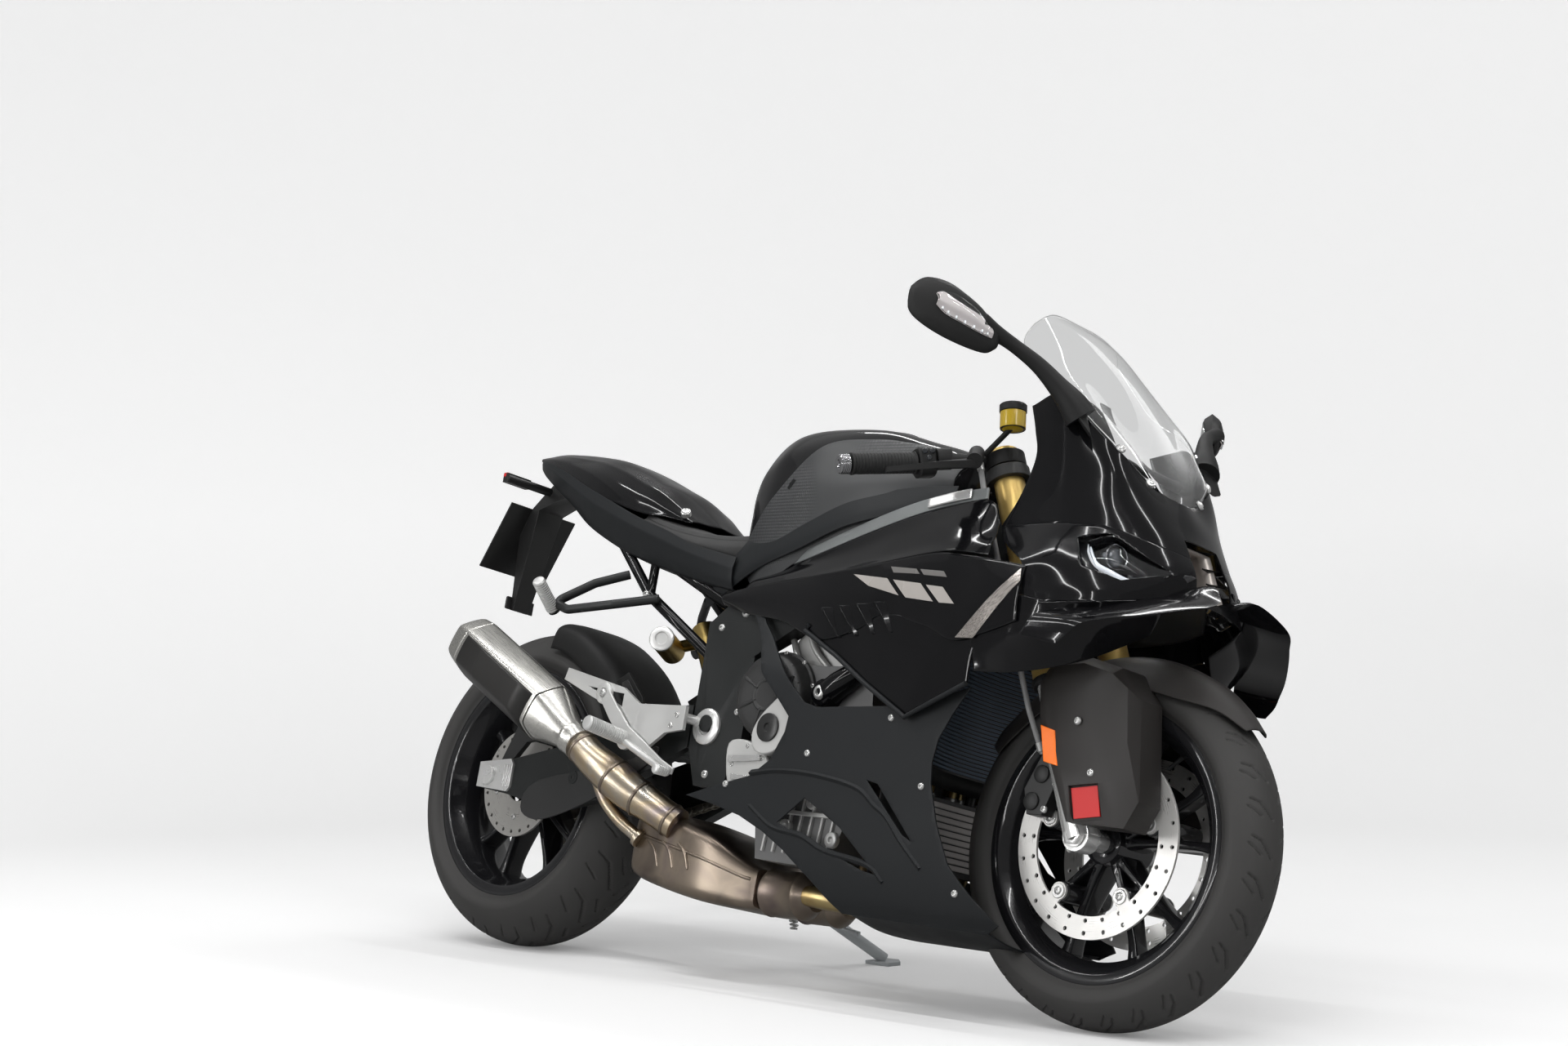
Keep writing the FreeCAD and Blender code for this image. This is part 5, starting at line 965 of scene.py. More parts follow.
# Inner panel between the frame's upper edge and the side fairing's crisp top line.
INNER_PANEL = [
    [(640, -158, 700), (652, -152, 716), (676, -140, 730), (700, -133, 742)],
    [(768, -182, 709), (772, -174, 724), (786, -164, 742), (800, -162, 756)],
    [(926, -203, 720), (934, -192, 738), (942, -176, 770), (950, -166, 802)],
    [(1029, -215, 732), (1036, -203, 752), (1046, -186, 790), (1058, -170, 830)],
    [(1187, -234, 746), (1192, -222, 768), (1202, -204, 806), (1214, -178, 850)],
    [(1290, -243, 736), (1284, -232, 758), (1276, -214, 776), (1262, -193, 806)],
]
pair_of("inner_panel", INNER_PANEL, 61, 21, GLOSS_BLACK, (0, -1, 0.3))

# Front cheek that turns in from the side panel towards the radiator.
CHEEK = [
    [(1300, -252, 640), (1384, -260, 664), (1440, -258, 654), (1512, -228, 660), (1562, -112, 690)],
    [(1282, -247, 592), (1362, -252, 602), (1428, -246, 604), (1500, -204, 622), (1548, -100, 664)],
    [(1290, -236, 540), (1352, -228, 540), (1416, -210, 552), (1478, -168, 580), (1522, -84, 636)],
]
pair_of("front_cheek", CHEEK, 25, 61, GLOSS_BLACK, (0.6, -1, -0.4), column_creases=(1,))


def film(outline, lift=0.6, thick=0.4, step=6.0):
    """Thin film on the side panel. The outline's upper and lower edges are cut into short steps and
    joined by rows of points, each of which stands a little off the panel."""
    outline = np.asarray(outline, float)
    count = max(3, int(np.linalg.norm(outline[1] - outline[0]) / step))
    share = np.linspace(0, 1, count)[:, None]
    top = outline[0] + (outline[1] - outline[0]) * share
    low = outline[3] + (outline[2] - outline[3]) * share
    rows = [low + (top - low) * part for part in np.linspace(0, 1, 6)]
    grid = np.array([[(x, -(panel_out(x, z) + lift), z) for x, z in row] for row in rows])
    under = grid + [0, thick, 0]
    return grid_part(np.concatenate([grid, under[::-1]]), ring_rows=True)


STRIPE_GREY = finish("stripe_grey_film", (0.30, 0.28, 0.26), 0.3, coat=0.8, grain=0.02)
STRIPE_DARK = finish("stripe_dark_film", (0.11, 0.105, 0.10), 0.3, coat=0.8, grain=0.02)
SLASHES = [
    # four corners in x and z: upper edge left to right, then lower edge right to left
    ([(966, 712), (1062, 700), (1100, 668), (1016, 688)], STRIPE_GREY),
    ([(1078, 697), (1150, 688), (1188, 655), (1118, 664)], STRIPE_GREY),
    ([(1164, 685), (1206, 680), (1240, 650), (1203, 653)], STRIPE_GREY),
    ([(1062, 722), (1130, 715), (1142, 705), (1074, 710)], STRIPE_DARK),
    ([(1140, 714), (1200, 708), (1211, 697), (1153, 703)], STRIPE_DARK),
]
for title, tone in (("pale", STRIPE_GREY), ("dark", STRIPE_DARK)):
    shapes = [film(corners) for corners, look in SLASHES if look is tone]
    gather("side_slashes_" + title, both(shapes), "chassis", tone)
blade = film([(1378, 708), (1250, 594), (1292, 592), (1384, 686)], lift=0.9)
gather("side_blades", both([blade]), "chassis", BLADE_SILVER)

# Four gills let warm air out: each is a curved fin that slants forward and tapers downwards.
GILL_COUNT = 4
GILL_FIRST = (914, 650)
GILL_STEP = (46, 2)
GILL_HIGH, GILL_LEAN, GILL_WIDE, GILL_OUT = 52, 38, 17, 14
gills = []
for number in range(GILL_COUNT):
    x, top = np.array(GILL_FIRST) + np.array(GILL_STEP) * number
    fins = []
    for part in np.linspace(0, 1, 6):
        z = top - GILL_HIGH * part
        out = panel_out(x, z)
        mid = x + GILL_LEAN * part
        wide = GILL_WIDE * (1 - 0.72 * part)
        fins.append([(mid - wide, -out + 2, z), (mid, -out - GILL_OUT * (1 - 0.5 * part), z),
                     (mid + wide, -out - 1, z + 3), (mid, -out + 4, z)])
    gills.append(block(fins))
rounded(gather("side_gills", both(gills), "chassis", GLOSS_BLACK), 1.5)

# %% [markdown]
# The frame's upper edge carries a grained silver band that follows the spar, with a bright plain
# plate near the steering head.

# %% Frame bands
BAND = [
    [(700, -136, 742), (712, -137, 762)],
    [(800, -163, 757), (806, -160, 780)],
    [(950, -167, 803), (950, -163, 828)],
    [(1058, -171, 831), (1056, -166, 856)],
    [(1140, -172, 846), (1136, -166, 868)],
    [(1214, -178, 852), (1206, -170, 874)],
]
pair_of("frame_band", BAND, 61, 7, SILVER_GRAIN, (0, -1, 0.5), wall=4.0)
BRIGHT = [
    [(1076, -174, 840), (1074, -170, 858)],
    [(1130, -175.5, 849), (1126, -171, 867)],
    [(1176, -178, 854), (1172, -174, 872)],
]
pair_of("frame_plate_bright", BRIGHT, 17, 5, MACHINED, (0, -1, 0.5), wall=3.0)

# %% [markdown]
# The lower fairing is one matte shell per side with an arrow-shaped outline. It is made as a
# whole smooth wall first, and what lies outside its outline is then cut away, as the real
# moulding's edge is. A raised ridge runs round its vent and its slot is cut right through.

# %% Lower fairings
LOWER_WALL = [
    # z, distance out
    (104, 154), (128, 166), (150, 180), (200, 192), (260, 199), (330, 204), (410, 209), (480, 213),
    (530, 214), (570, 200), (620, 178), (680, 160), (712, 156),
]
LOWER_EDGE = [
    # top of the arm and down its front edge, to the panel's upper edge
    (648, 704), (676, 700), (700, 668), (730, 632), (768, 600), (847, 524), (896, 482), (930, 474),
    (1020, 478), (1119, 482), (1200, 497), (1272, 517),
    # front edge beside the wheel, down to the toe
    (1240, 472), (1215, 430), (1206, 390), (1209, 354), (1230, 290), (1262, 225), (1310, 178), (1358, 138),
    # lower edge, back to the rear tip
    (1330, 122), (1020, 128), (955, 176), (883, 224), (830, 252), (769, 276), (700, 292), (626, 305),
    # rear edge and up the arm
    (706, 328), (785, 348), (829, 378), (857, 428), (862, 456), (829, 488), (778, 534), (744, 590),
    (704, 636), (672, 668),
]
VENT_HOLE = [(864, 270), (924, 316), (1014, 270), (1108, 196), (1073, 202)]
SLOT_HOLE = [(1064, 354), (1091, 348), (1180, 256), (1158, 266)]
LOWER_XS = (590, 700, 820, 940, 1060, 1180, 1270, 1330, 1370)
TUCK_FROM, TUCK_SHARE = 1270, 0.14
lower_net = []
for x in LOWER_XS:
    tuck = max(0.0, (x - TUCK_FROM) * TUCK_SHARE)
    lower_net.append([(x, -(out - tuck), z) for z, out in LOWER_WALL])
for side, sign in SIDES:
    grid = smooth_net(np.asarray(lower_net) * [1, sign, 1], 61, 97)
    shell = facing(gather("lower_panel_" + side, [grid_part(grid)], "chassis", MATTE_BLACK, solid=False),
                   (0, -sign, 0))
    apply_all(walled(shell, 3.0))
    low, high = sorted((-60 * sign, -260 * sign))
    carve(shell, [slab(LOWER_EDGE, low, high)], keep=True)
    carve(shell, [slab(VENT_HOLE, low, high), slab(SLOT_HOLE, low, high)])
    rounded(shell, 0.9, 2, 45)
    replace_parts(shell, "lower_fairing_" + side)


def lower_out(z):
    """Distance out of the lower fairing's wall at a height."""
    heights, outs = np.asarray(LOWER_WALL, float).T
    return np.interp(z, heights, outs)


# The ridges run above and below the vent, towards the panel's toe.
RIDGES = [
    # path in x and z, half width
    ([(784, 352), (852, 360), (942, 357), (1042, 340), (1088, 312), (1117, 295), (1160, 252), (1204, 214)],
     7.0),
    ([(792, 296), (852, 262), (924, 250), (984, 228), (1084, 212), (1122, 186)], 6.0),
]
RIDGE_SECTION = ((-1, -2.5), (0, 4.5), (0.5, 2), (1, -2.5))  # share of the half width, height
ridges = []
for path, wide in RIDGES:
    path = smooth(np.asarray(path, float), 40)
    rings = []
    for (x, z), (dx, dz) in zip(path, lengthwise(path)):
        rings.append([(x + dz * wide * share, -lower_out(z) - high, z - dx * wide * share)
                      for share, high in RIDGE_SECTION])
    ridges.append(block(rings))
gather("lower_ridges", both(ridges), "chassis", MATTE_BLACK)
SCREW_SPOTS = [(1105, 461), (1189, 349), (1280, 180), (919, 393), (726, 330)]
fairing_screws = [screw((x, -lower_out(z) - 0.5, z), OUTWARD, 6.2) for x, z in SCREW_SPOTS]
gather("lower_fairing_screws", both(fairing_screws), "chassis", STEEL)
# The belly closes the shell below the engine. Its rows run from the right edge to the middle.
BELLY = [
    [(1030, -162, 130), (1180, -162, 126), (1330, -158, 126)],
    [(1030, -80, 112), (1180, -82, 110), (1330, -84, 110)],
    [(1030, 0, 108), (1180, 0, 106), (1330, 0, 106)],
]
left_rows = [[(x, -y, z) for x, y, z in row] for row in BELLY[-2::-1]]
panel("belly_pan", BELLY + left_rows, 41, 17, MATTE_BLACK, (0, 0, -1))
print("fairings done")

# %% [markdown]
# The tank is one closed smooth form in gloss paint. Matte covers wrap both its sides, a little
# proud of it, so they are made from the same measured rings, moved outwards, between the knee
# and the shoulder. Their grip patches have a pattern of small cells.

# %% Tank
TANK_RINGS = [
    # x, z base, out, z wide, out, z shoulder, out, z top of the side, out, z ridge
    (548, 800, 62, 845, 72, 893, 66, 922, 40, 930),
    (572, 762, 96, 856, 102, 938, 88, 985, 52, 1001),
    (610, 728, 122, 864, 124, 962, 102, 1012, 62, 1026),
    (665, 704, 141, 872, 143, 982, 114, 1026, 66, 1035),
    (755, 740, 150, 884, 160, 985, 122, 1027, 70, 1037),
    (860, 776, 151, 890, 161, 972, 122, 1018, 72, 1026),
    (950, 806, 140, 898, 152, 958, 112, 996, 66, 1004),
    (1020, 830, 120, 904, 130, 948, 98, 978, 58, 986),
    (1072, 850, 96, 905, 106, 936, 82, 954, 46, 958),
]


def tank_half(lift=0.0):
    """Right half of each ring, from the base up to the ridge, moved outwards by lift."""
    rows = []
    for x, z0, y0, z1, y1, z2, y2, z3, y3, z4 in TANK_RINGS:
        rows.append([(x, -y0 - lift, z0), (x, -(y0 + y1) / 2 - 3 - lift, (z0 + z1) / 2), (x, -y1 - lift, z1),
                     (x, -(y1 + y2) / 2 - 5 - lift, (z1 + z2) / 2 + 2), (x, -y2 - lift, z2 + lift * 0.5),
                     (x, -y3, z3 + lift), (x, 0, z4 + lift)])
    return np.array(rows, float)


COVER_LIFT = 3.6
CAP_X, CAP_Z = 830, 1026
UPWARD = (0, 0, 1)
half_tank = tank_half()
under = half_tank[:, :1] * [1, 0, 1] + [0, 0, 26]
tank_grid = smooth_net(np.concatenate([half_tank, mirror_y(half_tank[:, -2::-1]), under], 1), 57, 85)
tank_piece = gather("tank_form", [grid_part(tank_grid, ring_columns=True, caps=True)], "chassis", GLOSS_BLACK)
carve(tank_piece, [turned([(-9, 38.5), (40, 38.5)], (CAP_X, 0, CAP_Z), UPWARD, 64)])
rounded(tank_piece, 1.2, 2, 50)
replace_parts(tank_piece, "fuel_tank")


GRIP_PATCHES = [
    # middle on the upright machine, then metres from it where the cells end and where they are full
    ((690, -140, 850), 0.115, 0.09),
    ((910, -110, 960), 0.075, 0.055),
]


def cell_grip(name, colour, rough):
    """Matte cover with a pattern of small raised cells in two patches, at the knee and on top.
    The cells come from a Voronoi pattern without randomness on a slanted lattice."""
    look = finish(name, colour, rough, grain=0.1, size=0.5)
    tree = look.node_tree
    shader = tree.nodes["Principled BSDF"]
    place = node(tree, "TexCoord").outputs["Object"]
    shear = node(tree, "VectorMath", [(0, place), (1, (1.0, 0.0, 0.577))], operation="DOT_PRODUCT")
    parts = node(tree, "SeparateXYZ", [("Vector", place)])
    lattice = node(tree, "CombineXYZ", [("X", shear.outputs["Value"]), ("Y", parts.outputs["Z"])])
    cells = node(tree, "TexVoronoi", [("Vector", lattice.outputs[0]), ("Scale", 170.0), ("Randomness", 0.0)])
    near = []
    for middle, end, full in GRIP_PATCHES:
        away = node(tree, "VectorMath", [(0, place), (1, tuple(lean_over(middle)))], operation="DISTANCE")
        near.append(node(tree, "MapRange", [("Value", away.outputs["Value"]), ("From Min", end),
                                            ("From Max", full)]))
    patch = node(tree, "Math", [(0, near[0].outputs[0]), (1, near[1].outputs[0])], operation="MAXIMUM")
    raised = node(tree, "Math", [(0, cells.outputs["Distance"]), (1, patch.outputs[0])], operation="MULTIPLY")
    grain = shader.inputs["Normal"].links[0].from_socket
    bump = node(tree, "Bump", [("Strength", 0.9), ("Distance", 0.0016), ("Height", raised.outputs[0]),
                               ("Normal", grain)], invert=True)
    plug(tree, shader, [("Normal", bump.outputs[0])])
    return look


COVER_GRIP = cell_grip("tank_cover_grip", (0.021, 0.022, 0.023), 0.46)
COVER_LIMITS = [
    # lowest and highest share of the half ring that the side cover takes, station by station
    (0.00, 0.14), (0.00, 0.24), (0.00, 0.36), (0.02, 0.63), (0.04, 0.73), (0.06, 0.77), (0.10, 0.77),
    (0.16, 0.74),
]
cover_rows = []
for half_ring, (low, high) in zip(tank_half(COVER_LIFT)[1:], COVER_LIMITS):
    fine = smooth(half_ring, 600)
    pick = np.linspace(low, high, 15) * (len(fine) - 1)
    cover_rows.append([fine[int(round(p))] for p in pick])
pair_of("tank_cover", cover_rows, 65, 33, COVER_GRIP, (0, -1, 0.2), wall=2.2, soften=0.8)
FLANK = [
    # rows of the shell that runs from the seat's front corner up along the tank's flank
    [(488, -104, 672), (500, -118, 700), (540, -120, 752), (560, -100, 800)],
    [(566, -128, 704), (590, -140, 732), (606, -136, 778), (612, -120, 820)],
    [(660, -150, 742), (676, -156, 762), (690, -152, 800), (700, -144, 838)],
    [(768, -166, 772), (776, -168, 792), (784, -164, 822), (790, -158, 852)],
    [(882, -170, 812), (886, -170, 828), (890, -166, 850), (896, -160, 872)],
    [(1000, -156, 838), (1004, -156, 850), (1008, -150, 868), (1010, -142, 888)],
    [(1094, -134, 854), (1094, -132, 865), (1094, -126, 880), (1088, -114, 896)],
]
pair_of("tank_flank", FLANK, 73, 21, MATTE_BLACK, OUTWARD)

# %% [markdown]
# The filler cap is a turned disc with a raised rim and six screws, and opens about its front
# edge, so it rides on its own body.

# %% Filler cap
CAP_PROFILE = [(-6, 35.5), (1.2, 35.5), (3.4, 34.6), (3.6, 31), (2.4, 30), (2.4, 24), (3.4, 22.5), (3.8, 1.0)]
CAP_HINGE = [(866, -12, CAP_Z), (866, 12, CAP_Z)]
CAP_SCREW_R = 27
cap_parts = [turned(CAP_PROFILE, (CAP_X, 0, CAP_Z + 0.3), UPWARD, 72), tube(CAP_HINGE, 2.4, 14)]
cap_piece = gather("fuel_cap_form", cap_parts, "fuel_cap", MATTE_BLACK)
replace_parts(cap_piece, "fuel_cap")
cap_screws = [screw((CAP_X + CAP_SCREW_R * math.cos(a), CAP_SCREW_R * math.sin(a), CAP_Z + 2.6),
                    UPWARD, 3.2, 0.4)
              for a in np.radians(np.arange(30, 390, 60))]
gather("fuel_cap_screws", cap_screws, "fuel_cap", STEEL)

# %% [markdown]
# The seat is padded, so its top is crowned, its front narrows between the knees and its edge
# rolls under to a base. A sewn line runs round it just inside the edge, sunk by a soft groove.

# %% Seat
SEAT_RINGS = [
    # x, half width at the base, half at its widest, half on top, z base, z wide, z edge, z middle
    (292, 128, 132, 104, 812, 842, 872, 884),
    (340, 130, 136, 108, 800, 826, 852, 862),
    (400, 132, 138, 110, 786, 810, 834, 842),
    (460, 130, 136, 106, 774, 798, 823, 829),
    (520, 122, 129, 94, 766, 792, 820, 827),
    (566, 104, 110, 76, 762, 794, 826, 836),
    (592, 78, 82, 56, 768, 802, 836, 848),
]
SEAM_AT = 0.52
seat_net = []
for x, base, wide, top, z0, z1, z2, z3 in SEAT_RINGS:
    seat_net.append(whole_row([
        (x, -base + 10, z0 - 2), (x, -base, z0 + 2), (x, -wide, z1),
        (x, -(wide + top) / 2, (z1 + z2) / 2 + 7), (x, -top, z2), (x, -top * 0.5, z3 - 1), (x, 0, z3)]))
seat_grid = smooth_net(seat_net, 61, 97)
across_share = np.abs(np.linspace(-1, 1, seat_grid.shape[1]))
groove = np.exp(-((across_share - SEAM_AT) / 0.012) ** 2)
pull = np.exp(-((across_share - SEAM_AT) / 0.07) ** 2)
seat_grid[:, :, 2] -= 1.6 * groove[None, :] + 1.4 * pull[None, :]
ends = np.abs(np.sin(np.linspace(0, math.pi, len(seat_grid)))) ** 0.35
seat_grid[:, :, 2] -= (1 - ends)[:, None] * 5 * (across_share < 0.6)[None, :]
seat = gather("seat_pad", [grid_part(seat_grid, ring_columns=True, caps=True)], "chassis", SEAT_COVER)
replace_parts(seat, "rider_seat")
STITCH_OUT = 0.03
stitches = []
for sign in (-1, 1):
    off_line = np.linspace(-1, 1, seat_grid.shape[1]) - sign * (SEAM_AT + STITCH_OUT)
    fine = smooth(seat_grid[3:-3, np.argmin(np.abs(off_line))], 330)
    for number in range(0, len(fine) - 3, 5):
        stitches.append(tube(fine[number:number + 3] + [0, 0, 0.5], 0.45, 6))
gather("seat_stitches", stitches, "chassis", SOFT_BLACK)

# %% [markdown]
# The tail is a deep channel of matte plastic that rises to the rear; the gloss cowl sits in it,
# with a facet line on each side, and a small lock below its front edge.

# %% Tail and pillion cowl
TAIL_RIGHT = [
    # x, upper out and z, crease out and z, lower out and z, under out and z
    (586, 140, 766, 146, 742, 140, 712, 118, 700),
    (470, 146, 792, 150, 772, 138, 738, 112, 722),
    (384, 143, 822, 148, 800, 130, 758, 104, 744),
    (290, 139, 852, 144, 830, 124, 784, 98, 770),
    (200, 133, 886, 138, 862, 116, 814, 90, 800),
    (93, 116, 926, 121, 904, 100, 856, 74, 846),
    (0, 92, 962, 96, 944, 78, 908, 54, 898),
    (-80, 68, 990, 71, 976, 56, 946, 34, 938),
    (-150, 40, 1010, 41, 1001, 32, 980, 16, 974),
    (-190, 16, 1018, 16, 1012, 12, 1000, 4, 996),
]
tail_net = []
for x, *rest in TAIL_RIGHT:
    outs, heights = rest[0::2], rest[1::2]
    tail_net.append(whole_row([(x, -out, z) for out, z in zip(outs, heights)] + [(x, 0, heights[-1] - 3)]))
panel("tail_shell", tail_net, 73, 73, MATTE_BLACK, (0, 0, -1), replaces="tail_fairing", column_creases=(1, 7))

COWL_ROWS = [
    # x, half width, z edge, facet out, facet z, z top
    (383, 84, 852, 60, 858, 862),
    (340, 112, 858, 82, 886, 896),
    (290, 128, 862, 96, 914, 932),
    (234, 130, 876, 98, 936, 956),
    (170, 126, 896, 92, 962, 982),
    (100, 114, 920, 82, 984, 1004),
    (20, 94, 950, 66, 1000, 1018),
    (-60, 70, 980, 48, 1014, 1028),
    (-125, 48, 1000, 32, 1022, 1033),
    (-186, 22, 1016, 14, 1026, 1030),
]
cowl_net = []
for x, half, z_edge, facet, z_facet, z_top in COWL_ROWS:
    between = (x, -(half * 0.62 + facet * 0.38) - 3, z_edge * 0.45 + z_facet * 0.55)
    cowl_net.append(whole_row([(x, -half, z_edge), between, (x, -facet, z_facet),
                               (x, -facet * 0.5, z_top - 3), (x, 0, z_top)]))
panel("cowl_shell", cowl_net, 73, 65, GLOSS_BLACK, (0, 0, 1), replaces="pillion_cowl", column_creases=(2, 6))
LOCK_PROFILE = [(-8, 10), (1.5, 10), (2.2, 9), (1.2, 7.6), (1.2, 3)]
gather("cowl_lock", [turned(LOCK_PROFILE, (372, -92, 872), (0.35, -0.72, 0.6), 32)], "chassis", STEEL)

# %% [markdown]
# The screen is a clear bubble. Its edge is thick enough to show a bright line, and three screws a
# side with bright washers hold it to the nose.

# %% Screen
SCREEN_NET_ROWS = [
    # middle x and z, quarter out, x, z, side x, out, z
    (1478, 872, 34, 1474, 876, 1460, 72, 890),
    (1466, 905, 62, 1458, 912, 1452, 104, 916),
    (1450, 938, 76, 1440, 944, 1438, 132, 941),
    (1420, 992, 92, 1404, 990, 1394, 160, 986),
    (1384, 1046, 100, 1366, 1040, 1352, 184, 1030),
    (1340, 1100, 102, 1322, 1092, 1300, 192, 1066),
    (1290, 1150, 98, 1274, 1144, 1256, 184, 1100),
    (1246, 1190, 88, 1236, 1184, 1228, 164, 1138),
    (1208, 1216, 62, 1206, 1212, 1212, 126, 1178),
]
SCREEN_OFF_NOSE = (2, 0, 3)
screen_net = []
for mx, mz, qy, qx, qz, sx, sy, sz in SCREEN_NET_ROWS:
    between = ((qx + sx) / 2 + 7, -(qy + sy) / 2 - 7, (qz + sz) / 2 + 4)
    screen_net.append(whole_row([(sx, -sy, sz), between, (qx + 3, -qy, qz + 2), (mx, 0, mz)]))
screen_net = np.asarray(screen_net, float) + SCREEN_OFF_NOSE
panel("screen_bubble", screen_net, 49, 65, CLEAR, (1, 0, 0.6), wall=2.6, soften=0, replaces="windscreen")
SCREEN_SCREWS = [
    # place, way
    ((1441, -126, 944), (0.55, -0.6, 0.58)),
    ((1470, -72, 898), (0.7, -0.35, 0.6)),
    ((1372, -172, 1012), (0.3, -0.85, 0.4)),
]
WASHER_PROFILE = [(-2, 8.5), (3.2, 8.5), (4.0, 7.5), (4.0, 4)]
screen_screws = [screw(np.array(place) + 3.5 * np.array(way), way, 5.2) for place, way in SCREEN_SCREWS]
screen_screws += [turned(WASHER_PROFILE, place, way, 28) for place, way in SCREEN_SCREWS]
gather("screen_screws", both(screen_screws), "chassis", MACHINED)

# %% [markdown]
# Each mirror is a faceted egg on a curved stalk that widens into a foot on the nose. A clear
# indicator with a row of small pale reflectors is let into its front.

# %% Mirrors
MIRROR_RINGS = [
    # out, middle x, middle z, half height, half depth
    (316, 1298, 1080, 14, 9),
    (326, 1292, 1086, 27, 16),
    (350, 1274, 1103, 40, 23),
    (384, 1248, 1120, 46, 24),
    (412, 1222, 1130, 40, 19),
    (425, 1206, 1133, 27, 12),
    (430, 1200, 1134, 12, 6),
]
MIRROR_SECTION = [
    # shares of the half depth ahead and of the half height up
    (-0.9, 0.8), (-0.2, 1), (0.7, 0.62), (1, -0.05), (0.7, -0.7), (-0.2, -1), (-0.9, -0.85), (-1, 0),
]
mirror_grid = smooth([[(x + deep * ahead, -out, z + tall * up) for ahead, up in MIRROR_SECTION]
                      for out, x, z, tall, deep in MIRROR_RINGS], 25)
closed = np.concatenate([mirror_grid, mirror_grid[:, :1]], 1)
mirror_grid = np.swapaxes(smooth(np.swapaxes(closed, 0, 1), 48, creases=(1, 6)), 0, 1)[:, :-1]
STALK = [(1392, -180, 984), (1380, -194, 1006), (1362, -214, 1030), (1338, -244, 1060), (1312, -282, 1084),
         (1296, -318, 1098), (1288, -344, 1108)]
STALK_R = [28, 24, 18, 14, 12, 14, 16]
stalk = tube(smooth(STALK, 36), smooth(np.array(STALK_R, float)[:, None], 36)[:, 0], 20)
FOOT_WAY = (0.4, -0.85, 0.35)
FOOT_STEPS = [
    # middle, wide way, half width, half depth
    ((1405, -172, 972), (0.55, -0.35, -0.76), 34, 12),
    ((1388, -184, 994), (0.55, -0.35, -0.76), 30, 13),
    ((1368, -203, 1022), (0.6, -0.4, -0.7), 17, 12),
]
foot = block(smooth([soft_ring(middle, wide_way, FOOT_WAY, wide, deep)
                     for middle, wide_way, wide, deep in FOOT_STEPS], 12))
housing = grid_part(mirror_grid, ring_columns=True, caps=True)
mirror_piece = gather("mirror_housings", both([housing, stalk, foot]), "chassis", SOFT_BLACK)
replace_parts(mirror_piece, "mirrors")
INDICATOR_ROWS = [
    # out, middle x, middle z, half height
    (334, 1310, 1090, 9), (350, 1300, 1102, 17), (376, 1280, 1117, 22), (400, 1260, 1126, 19),
    (412, 1249, 1130, 10),
]
indicator_net = np.asarray([[(x + 1, -out, z - tall), (x + 4, -out - 1, z), (x - 4, -out, z + tall)]
                            for out, x, z, tall in INDICATOR_ROWS])
lens_grid = smooth_net(indicator_net + [-4, -1, 0], 17, 7)
for side, sign in SIDES:
    lens = gather("mirror_indicator_" + side, [grid_part(lens_grid * [1, sign, 1])], "chassis", LAMP_CLEAR,
                  solid=False)
    walled(facing(lens, (1, -sign, 0)), 1.2, offset=1)
back_rows = indicator_net + [-7, 0, 0]
indicator_cells = []
for part in np.linspace(0.14, 0.86, 7):
    spot = smooth(back_rows, 60)[int(part * 59)]
    indicator_cells.append(tube([spot[0] + [4, -1, 2], spot[0] + [4, -1, 6]], 1.8, 10, up=(0, 1, 0)))
gather("mirror_indicator_cells", both(indicator_cells), "chassis", WHITE_BAR)
BLUSH = finish("indicator_reflector", (0.50, 0.46, 0.45), 0.3, metal=0.5, grain=0.02)
plate = smooth_net(back_rows + [2.5, 0, 0], 25, 9)
plate_rings = np.concatenate([plate, plate[:, ::-1] - [2, 0, 0]], 1)
gather("mirror_indicator_plates", both([grid_part(plate_rings, ring_columns=True, caps=True)]), "chassis",
       BLUSH)
pane_rows = [[(x - deep - 0.6, -out, z - tall * 0.7), (x - deep - 1.2, -out, z),
              (x - deep - 0.6, -out, z + tall * 0.7)] for out, x, z, tall, deep in MIRROR_RINGS[1:-1]]
mirror_glass = finish("mirror_glass", (0.8, 0.82, 0.83), 0.03, metal=1.0, grain=0.0, swing=0.01)
pair_of("mirror_pane", pane_rows, 17, 9, mirror_glass, (-1, 0, 0), wall=1.5, soften=0)

# %% [markdown]
# Each headlamp is a dark shell with a stepped reflector, a round projector lens and a pale
# L-shaped light bar, under a clear cover that carries on the nose's surface.

# %% Headlamps
LAMP_COVER = [
    [(1437, -170, 776), (1474, -150, 788), (1520, -122, 762), (1562, -94, 738)],
    [(1448, -178, 756), (1486, -158, 764), (1526, -132, 746), (1556, -110, 726)],
    [(1462, -180, 736), (1498, -164, 738), (1526, -146, 724), (1545, -128, 712)],
    [(1472, -176, 722), (1496, -162, 715), (1510, -148, 708), (1524, -134, 704)],
]
pair_of("lamp_cover", LAMP_COVER, 25, 33, LAMP_CLEAR, (0.7, -0.7, 0.1), wall=1.6, soften=0)
BOWL_STEPS = [
    # depth behind the cover, share of the cover's outline
    (22, 1.5), (14, 1.26), (16, 1.0), (26, 0.84), (26, 0.74), (40, 0.62), (42, 0.02),
]
BOWL_WAY = np.array([-0.75, 0.62, 0.05])
lamp_net = np.asarray(LAMP_COVER, float)
lamp_edge = np.concatenate([lamp_net[0], lamp_net[1:-1, -1], lamp_net[-1, ::-1], lamp_net[-2:0:-1, 0]])
bowl_middle = lamp_net.reshape(-1, 3).mean(0)
bowl_rows = [bowl_middle + (lamp_edge - bowl_middle) * share + BOWL_WAY * depth
             for depth, share in BOWL_STEPS]
lamp_dark = finish("lamp_dark_inside", (0.012, 0.012, 0.014), 0.25, coat=0.6, grain=0.02)
bowl = gather("lamp_bowls", both([grid_part(bowl_rows, ring_columns=True)]), "chassis", lamp_dark,
              solid=False)
